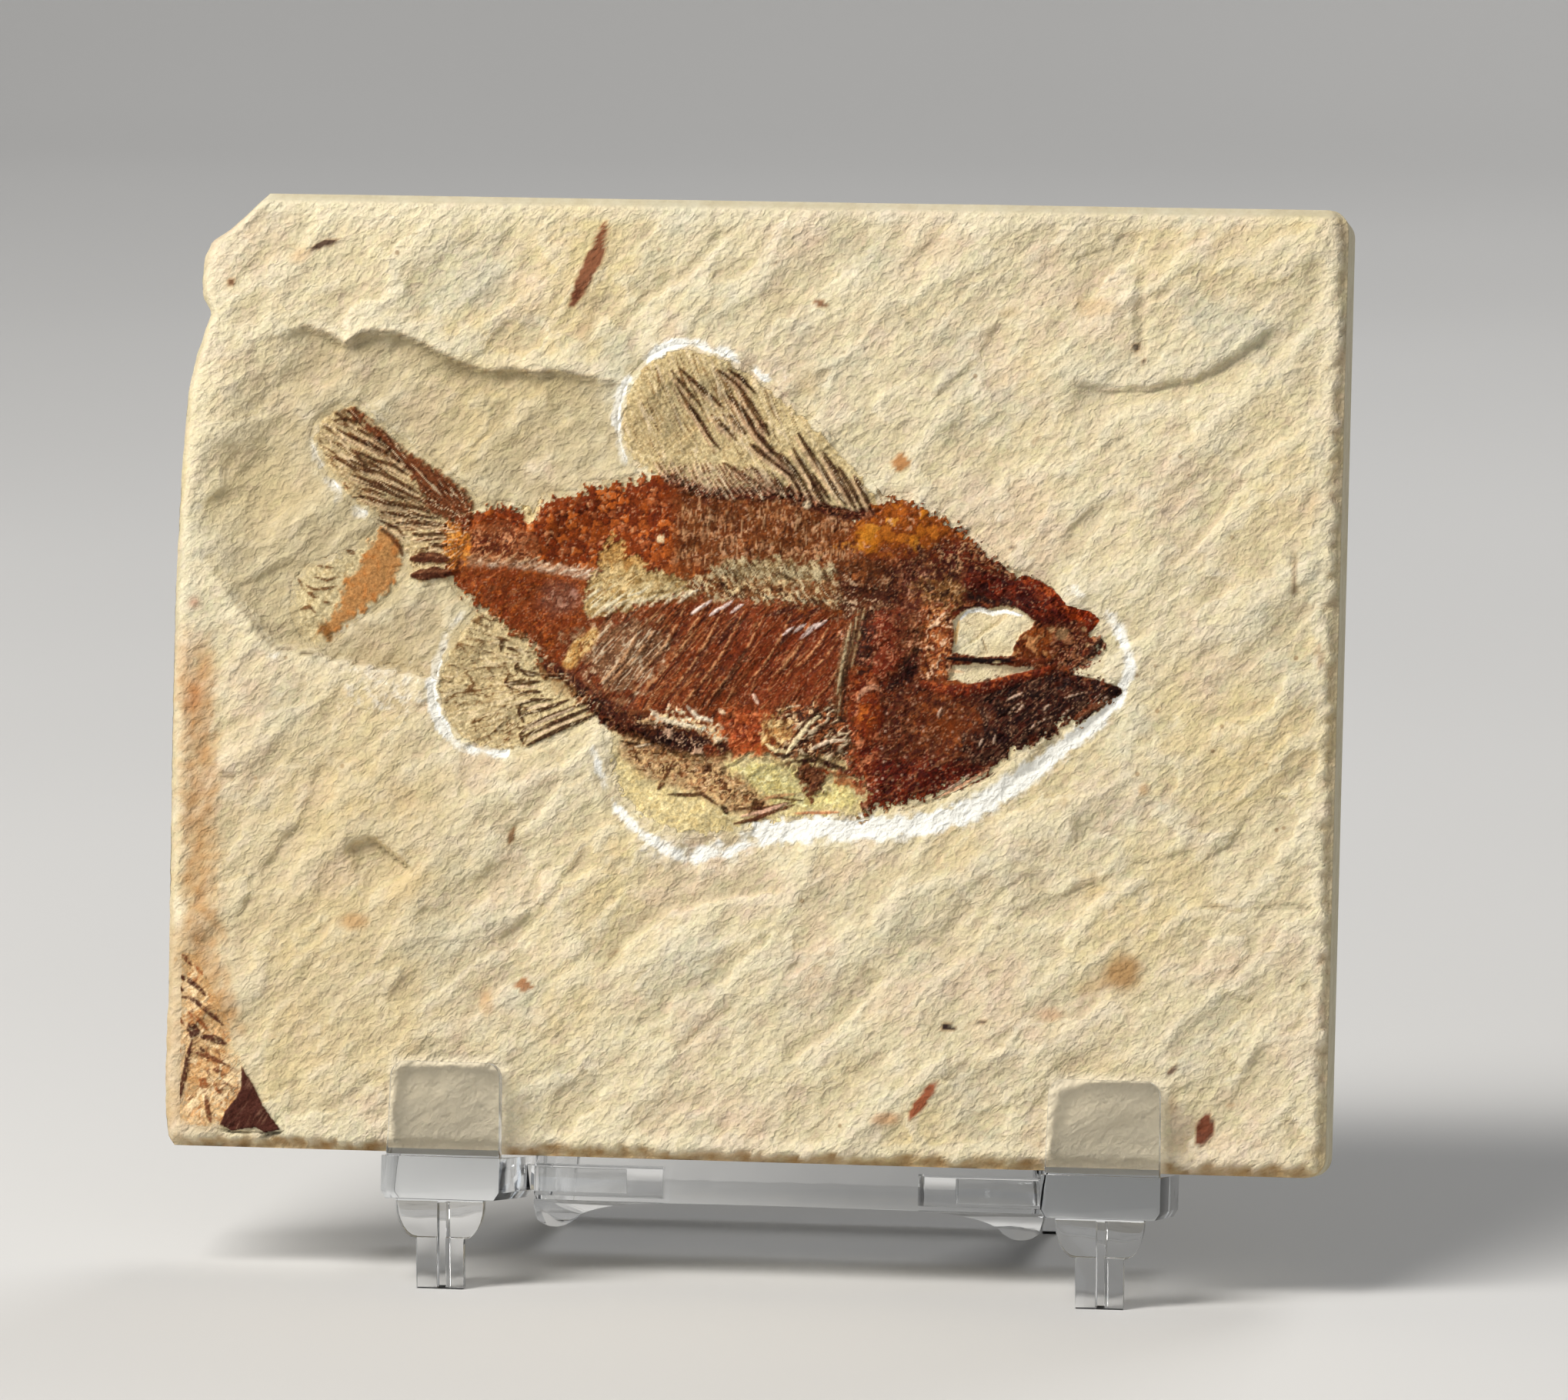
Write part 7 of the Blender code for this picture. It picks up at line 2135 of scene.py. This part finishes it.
@dataclass
class FossilSheet:
    """A fine sheet of fossil and nearby stone, laid over the slab's face."""

    face: SplitFace
    art: FishArt
    place: SlabFrame
    cell: float = 0.12
    low: tuple[float, float] = (-46.2, 26.6)
    high: tuple[float, float] = (37.4, 78.2)
    sunk: float = 3.2

    def build(self, bone: bpy.types.Material) -> list[bpy.types.Object]:
        """Build the fish as two sheets on one grid: the body, and the fins with the belly skin.

        The sheet follows the stone's relief plus the bone's, and dips under the stone at its margin.

        Args:
            bone: The finish.

        Returns:
            The two pieces.
        """
        xs = np.arange(self.low[0], self.high[0], self.cell)
        ss = np.arange(self.low[1], self.high[1], self.cell)
        x, s = np.meshgrid(xs, ss)
        out = self.art.outside(x, s)
        art = self.art.paint(x, s)
        stone = self.face.front(x, s)[0]
        calm = ease(out, -0.4, 0.6)
        flat = blurred(stone, 5)
        stone = stone + (flat - stone) * 0.65 * calm * art.layer[..., 3]
        margin = self.art.margin
        shown, level = sheet_heights(stone, art.rise, out, (0.25 - margin, -margin))
        powder_and_highlight = self.face.grooves(x, s)[1] * ease(art.layer[..., 3], 0.7, 0.1)
        fields = {
            "bone": over_stains_and_shade(art.layer, self.face.stains_and_painted_light(x, s)), "gloss": np.clip(art.gloss, 0, 1),
            "cavity": cavity_of(stone, 9), "powder_and_highlight": powder_and_highlight,
        }
        top = self.place.world(x, s, -level)
        under = self.place.world(x, s, np.full(x.shape, self.sunk))
        cell_out = cell_middles(out)
        cell_body = depth_inside(x[:-1, :-1] + self.cell / 2, s[:-1, :-1] + self.cell / 2, BODY)
        keep = cell_out > -margin
        body = keep & (cell_body > -0.3)
        pieces = []
        for name, mask in zip(("fish_body", "fish_fins"), joined(body, keep & ~body)):
            mesh = patch_mesh(name, top, under, mask, fields, self.place.world(x, s, -shown))
            pieces.append(make_piece(name, mesh, bone, "fossil_bone", "fossil_fish"))
        return pieces


@dataclass
class ScaleSheet:
    """The dark broken scale and the loose bones in the slab's lower left corner."""

    face: SplitFace
    place: SlabFrame
    cell: float = 0.11
    sunk: float = 2.4

    def bones(self) -> tuple[tuple[str, float, str], ...]:
        """The loose bones: line, width and screen colour."""
        dark, brown, rust = "4a2218", "744228", "965830"
        return (
            ("-54.3 18.1 -53.4 17.8 -52.8 17.1", 0.35, brown), ("-54.2 16.1 -52.9 15.6 -52 15 -51.2 14.2", 0.42,
                                                                dark),
            ("-53.5 14 -52.7 14 -51 12.8 -49.5 11.5", 0.4, dark), ("-52.8 12.6 -51.9 12 -51 11", 0.4, rust),
            ("-52.7 11.4 -52.2 10.8 -52.5 10.4", 0.9, dark), ("-52.4 10 -52.8 8.4 -53 7 -53.5 4.2", 0.42, dark),
            ("-51.5 10.3 -50.4 10.2 -49.2 9.7", 0.62, dark), ("-52 8.8 -50.6 8.4 -49.3 7.8", 0.4, brown),
            ("-50.3 7.3 -49.2 6.8", 0.4, brown), ("-50.9 4.8 -50.7 3.4 -50.4 2.3", 0.45, brown),
            ("-53.9 12.2 -53.2 11.4", 0.3, brown),
            ("-54.2 9.8 -53.6 9 -53.9 8.2", 0.3, rust), ("-51.5 6.2 -51 5.9", 0.9, rust),
            ("-53.9 15 -53.4 14.6", 0.3, dark),
            ("-52.4 17 -51.6 16.2", 0.3, rust), ("-51.8 9.4 -51.2 8.9", 0.3, dark), ("-50.2 5.9 -49.6 5", 0.3, rust),
        )

    def build(self, bone: bpy.types.Material) -> bpy.types.Object:
        """Build the corner's sheet: stone relief plus the bones', dipping under the stone at its margin.

        Args:
            bone: The finish.

        Returns:
            The piece.
        """
        x, s = np.meshgrid(np.arange(-54.3, -42.6, self.cell), np.arange(1.0, 19.4, self.cell))
        zone = (
            "-53.9 18.6 -52.2 18.2 -50.4 15 -48.6 11.6 -48.2 9.6 -46.6 8.6 -45 6 -43.3 2.6 -43.2 1.6 -47 1.4 -53.6 "
            "1.8"
        )
        out = depth_inside(x, s, zone)
        art = BonePaint(x, s)
        floor = ease(out + 0.8 * art.small, 0.2, 1.2) * ease(x + 0.28 * s, -44.6, -47.5)
        art.mosaic(floor * 0.8, "cea876 dec092 bc8a54 a86c3a d6b282 e8d0a6", (1.6, 0.6), 50, 902, 0.75, 0.3, 0.06)
        art.strands(floor, s - 0.9 * x, x, 1.0, 3.0, 903, "844e2e", 0.10, 0.8, 0.06)
        art.strands(floor, s + 0.4 * x, x, 1.0, 2.4, 904, "683822", 0.08, 0.7, 0.06)
        for k, (line, width, colour) in enumerate(self.bones()):
            art.stroke(line, 1.15 * width, colour, 0.95, 0.1, broken=0.35, seed=900 + k)
        scale = ease(depth_inside(x, s, BROKEN_SCALE) + 0.1 * art.fine, -0.1, 0.1)
        art.paint(scale, "4c261c", 0.24, 0.6)
        lines = fibres(x, s, 62, 2.2, 0.3, 301)
        art.paint(scale * 0.7 * ease(lines, 0.15, 0.6), "86604c", 0.04)
        art.paint(scale * 0.7 * ease(-lines, 0.2, 0.6), "2c100c", -0.03)
        stone = self.face.front(x, s)[0]
        shown, level = sheet_heights(stone, art.rise, out, (0.25, -0.05))
        layer = over_stains_and_shade(art.layer, self.face.stains_and_painted_light(x, s))
        fields = {"bone": layer, "gloss": np.clip(art.gloss, 0, 1), "cavity": cavity_of(stone, 9), "powder_and_highlight": 0 * x}
        cell_out = cell_middles(out)
        keep = joined(cell_out > 0, np.zeros(cell_out.shape, bool))[0]
        under = self.place.world(x, s, np.full(x.shape, self.sunk))
        mesh = patch_mesh("broken_scale", self.place.world(x, s, -level), under, keep, fields,
                          self.place.world(x, s, -shown))
        return make_piece("broken_scale", mesh, bone, "dark_scale", "fossil_fragment")


@dataclass
class Easel:
    """The clear easel: copies of its solids with their mould edges rounded."""

    radius: float = 0.00022
    steps: int = 3
    weld: float = 1e-6
    flat: float = math.radians(1)
    edge: float = math.radians(28)
    crease: float = math.radians(40)
    nodes: tuple[str, ...] = ("left_arm", "right_arm", "back_frame")

    def rounded(self, node: str) -> bpy.types.Mesh:
        """Round a solid's edges: its points are merged, flat triangles joined, and sharp edges bevelled.

        Args:
            node: The solid's name.

        Returns:
            The new mesh.
        """
        bm = bmesh.new()
        bm.from_mesh(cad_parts[node].data)
        bmesh.ops.remove_doubles(bm, verts=bm.verts, dist=self.weld)
        bmesh.ops.dissolve_limit(bm, angle_limit=self.flat, verts=bm.verts, edges=bm.edges)
        sharp = [edge for edge in bm.edges if len(edge.link_faces) == 2 and edge.calc_face_angle() > self.edge]
        bmesh.ops.bevel(bm, geom=sharp, offset=self.radius, offset_type="OFFSET", segments=self.steps, profile=0.5,
                        affect="EDGES", clamp_overlap=True)
        bmesh.ops.recalc_face_normals(bm, faces=bm.faces)
        mesh = bpy.data.meshes.new(node + "_clear")
        bm.to_mesh(mesh)
        bm.free()
        mesh.shade_smooth()
        mesh.set_sharp_from_angle(angle=self.crease)
        return mesh

    def build(self, plastic: ClearPlastic) -> list[bpy.types.Object]:
        """Build the three pieces in clear plastic, frosted on the arms' tabs."""
        finishes = {True: plastic.build("clear_plastic_arm", True),
                    False: plastic.build("clear_plastic_frame", False)}
        return [
            make_piece(node + "_clear", self.rounded(node), finishes[node.endswith("arm")], "clear_plastic", node)
            for node in self.nodes
        ]


@dataclass
class Studio:
    """A pale sweep, soft lamps and the camera. Lengths are in metres."""

    distance: float = 0.860
    azimuth: float = math.radians(7.5)
    elevation: float = math.radians(10)
    focal_pixels: float = 11862.4
    image_width: int = 2038
    target: Vector = field(default_factory=lambda: Vector((0.002726, 0.012 - 0.012765, 0.054141)))

    def sweep(self) -> None:
        """A floor that curves up into a wall: a profile of a line, a quarter circle and a line, carried across."""
        radius, turn = 0.5, np.linspace(0, math.pi / 2, 24)
        y = np.concatenate([[-2.2, 0.9], 0.9 + radius * np.sin(turn[1:]), [1.4]])
        z = np.concatenate([[0.0, 0.0], radius * (1 - np.cos(turn[1:])), [3.0]])
        x = np.linspace(-2.4, 2.4, 9)
        points = np.stack(np.broadcast_arrays(x[None, :], y[:, None], z[:, None]), axis=-1).reshape(-1, 3)
        number = np.arange(len(points)).reshape(len(y), len(x))
        mesh = mesh_of("studio_sweep", points, grid_quads(number).tolist())
        sweep = bpy.data.objects.new("studio_sweep", mesh)
        bpy.context.scene.collection.objects.link(sweep)
        material, tree, shader = new_material("studio_paper")
        place = add_node(tree, "TexCoord").outputs["Object"]
        colour = mixed(tree, ranged(tree, noise_of(tree, place, 3, 2), 0.3, 0.7), (0.60, 0.595, 0.585, 1),
                       (0.64, 0.635, 0.625, 1))
        tree.links.new(colour, shader.inputs["Base Color"])
        shader.inputs["Roughness"].default_value = 0.8
        mesh.materials.append(material)

    def lamp(self, name: str, place: tuple[float, float, float], size: tuple[float, float], watts: float,
             colour: tuple[float, float, float], along: tuple[float, float, float] = (0, 0, 1)) -> None:
        """A soft lamp aimed at the slab, its long side turned along a direction.

        Args:
            name: Its name.
            place: Where it stands.
            size: Its short and long sides.
            watts: Its power.
            colour: Its colour.
            along: The long side's direction.
        """
        data = bpy.data.lights.new(name, "AREA")
        data.shape = "RECTANGLE"
        data.size, data.size_y, data.energy, data.color = size[0], size[1], watts, colour
        lamp = bpy.data.objects.new(name, data)
        back = (Vector(place) - Vector((0, 0, 0.05))).normalized()
        long = (Vector(along) - Vector(along).dot(back) * back).normalized()
        lamp.location = place
        lamp.rotation_euler = Matrix((long.cross(back), long, back)).transposed().to_euler()
        bpy.context.scene.collection.objects.link(lamp)

    def build(self) -> None:
        """Set up the sweep, the lamps, the world and the camera."""
        self.sweep()
        self.lamp("key_lamp", (-0.57, -0.42, 0.78), (0.22, 1.0), 13.9, (1.0, 0.972, 0.93), (0.77, 0, 0.64))
        self.lamp("fill_lamp", (0.75, -0.9, 0.45), (0.7, 0.7), 1.2, (0.93, 0.965, 1.0))
        self.lamp("back_lamp", (0.35, 0.75, 0.85), (0.5, 0.5), 3.6, (1.0, 1.0, 1.0))
        world = bpy.data.worlds.new("studio_world")
        world.use_nodes = True
        glow = world.node_tree.nodes["Background"]
        glow.inputs["Color"].default_value, glow.inputs["Strength"].default_value = (0.92, 0.95, 1.0, 1), 0.17
        scene = bpy.context.scene
        scene.world = world
        scene.view_settings.view_transform = "Standard"
        data = bpy.data.cameras.new("camera")
        data.sensor_width = 36
        data.lens = 36 * self.focal_pixels / self.image_width
        data.clip_start, data.clip_end = 0.01, 20
        camera = bpy.data.objects.new("camera", data)
        level = math.cos(self.elevation)
        back = Vector((math.sin(self.azimuth) * level, -math.cos(self.azimuth) * level, math.sin(self.elevation)))
        camera.location = self.target + back * self.distance
        camera.rotation_euler = back.to_track_quat("Z", "Y").to_euler()
        scene.collection.objects.link(camera)
        scene.camera = camera


def main() -> None:
    """Build the stone, the fossil, the easel and the studio in order."""
    logging.basicConfig(level=logging.INFO, format="%(name)s: %(message)s")
    place, face, art, stone = SlabFrame(), SplitFace(), FishArt(), Limestone()
    group = stone.group()
    Slab(face, art, place).build(StoneFinish(stone).build(group))
    FossilSheet(face, art, place).build(BoneFinish(stone).build(group))
    ScaleSheet(face, place).build(BoneFinish(stone, "dark_scale").build(group))
    Easel().build(ClearPlastic())
    Studio().build()


if __name__ == "__main__":
    main()
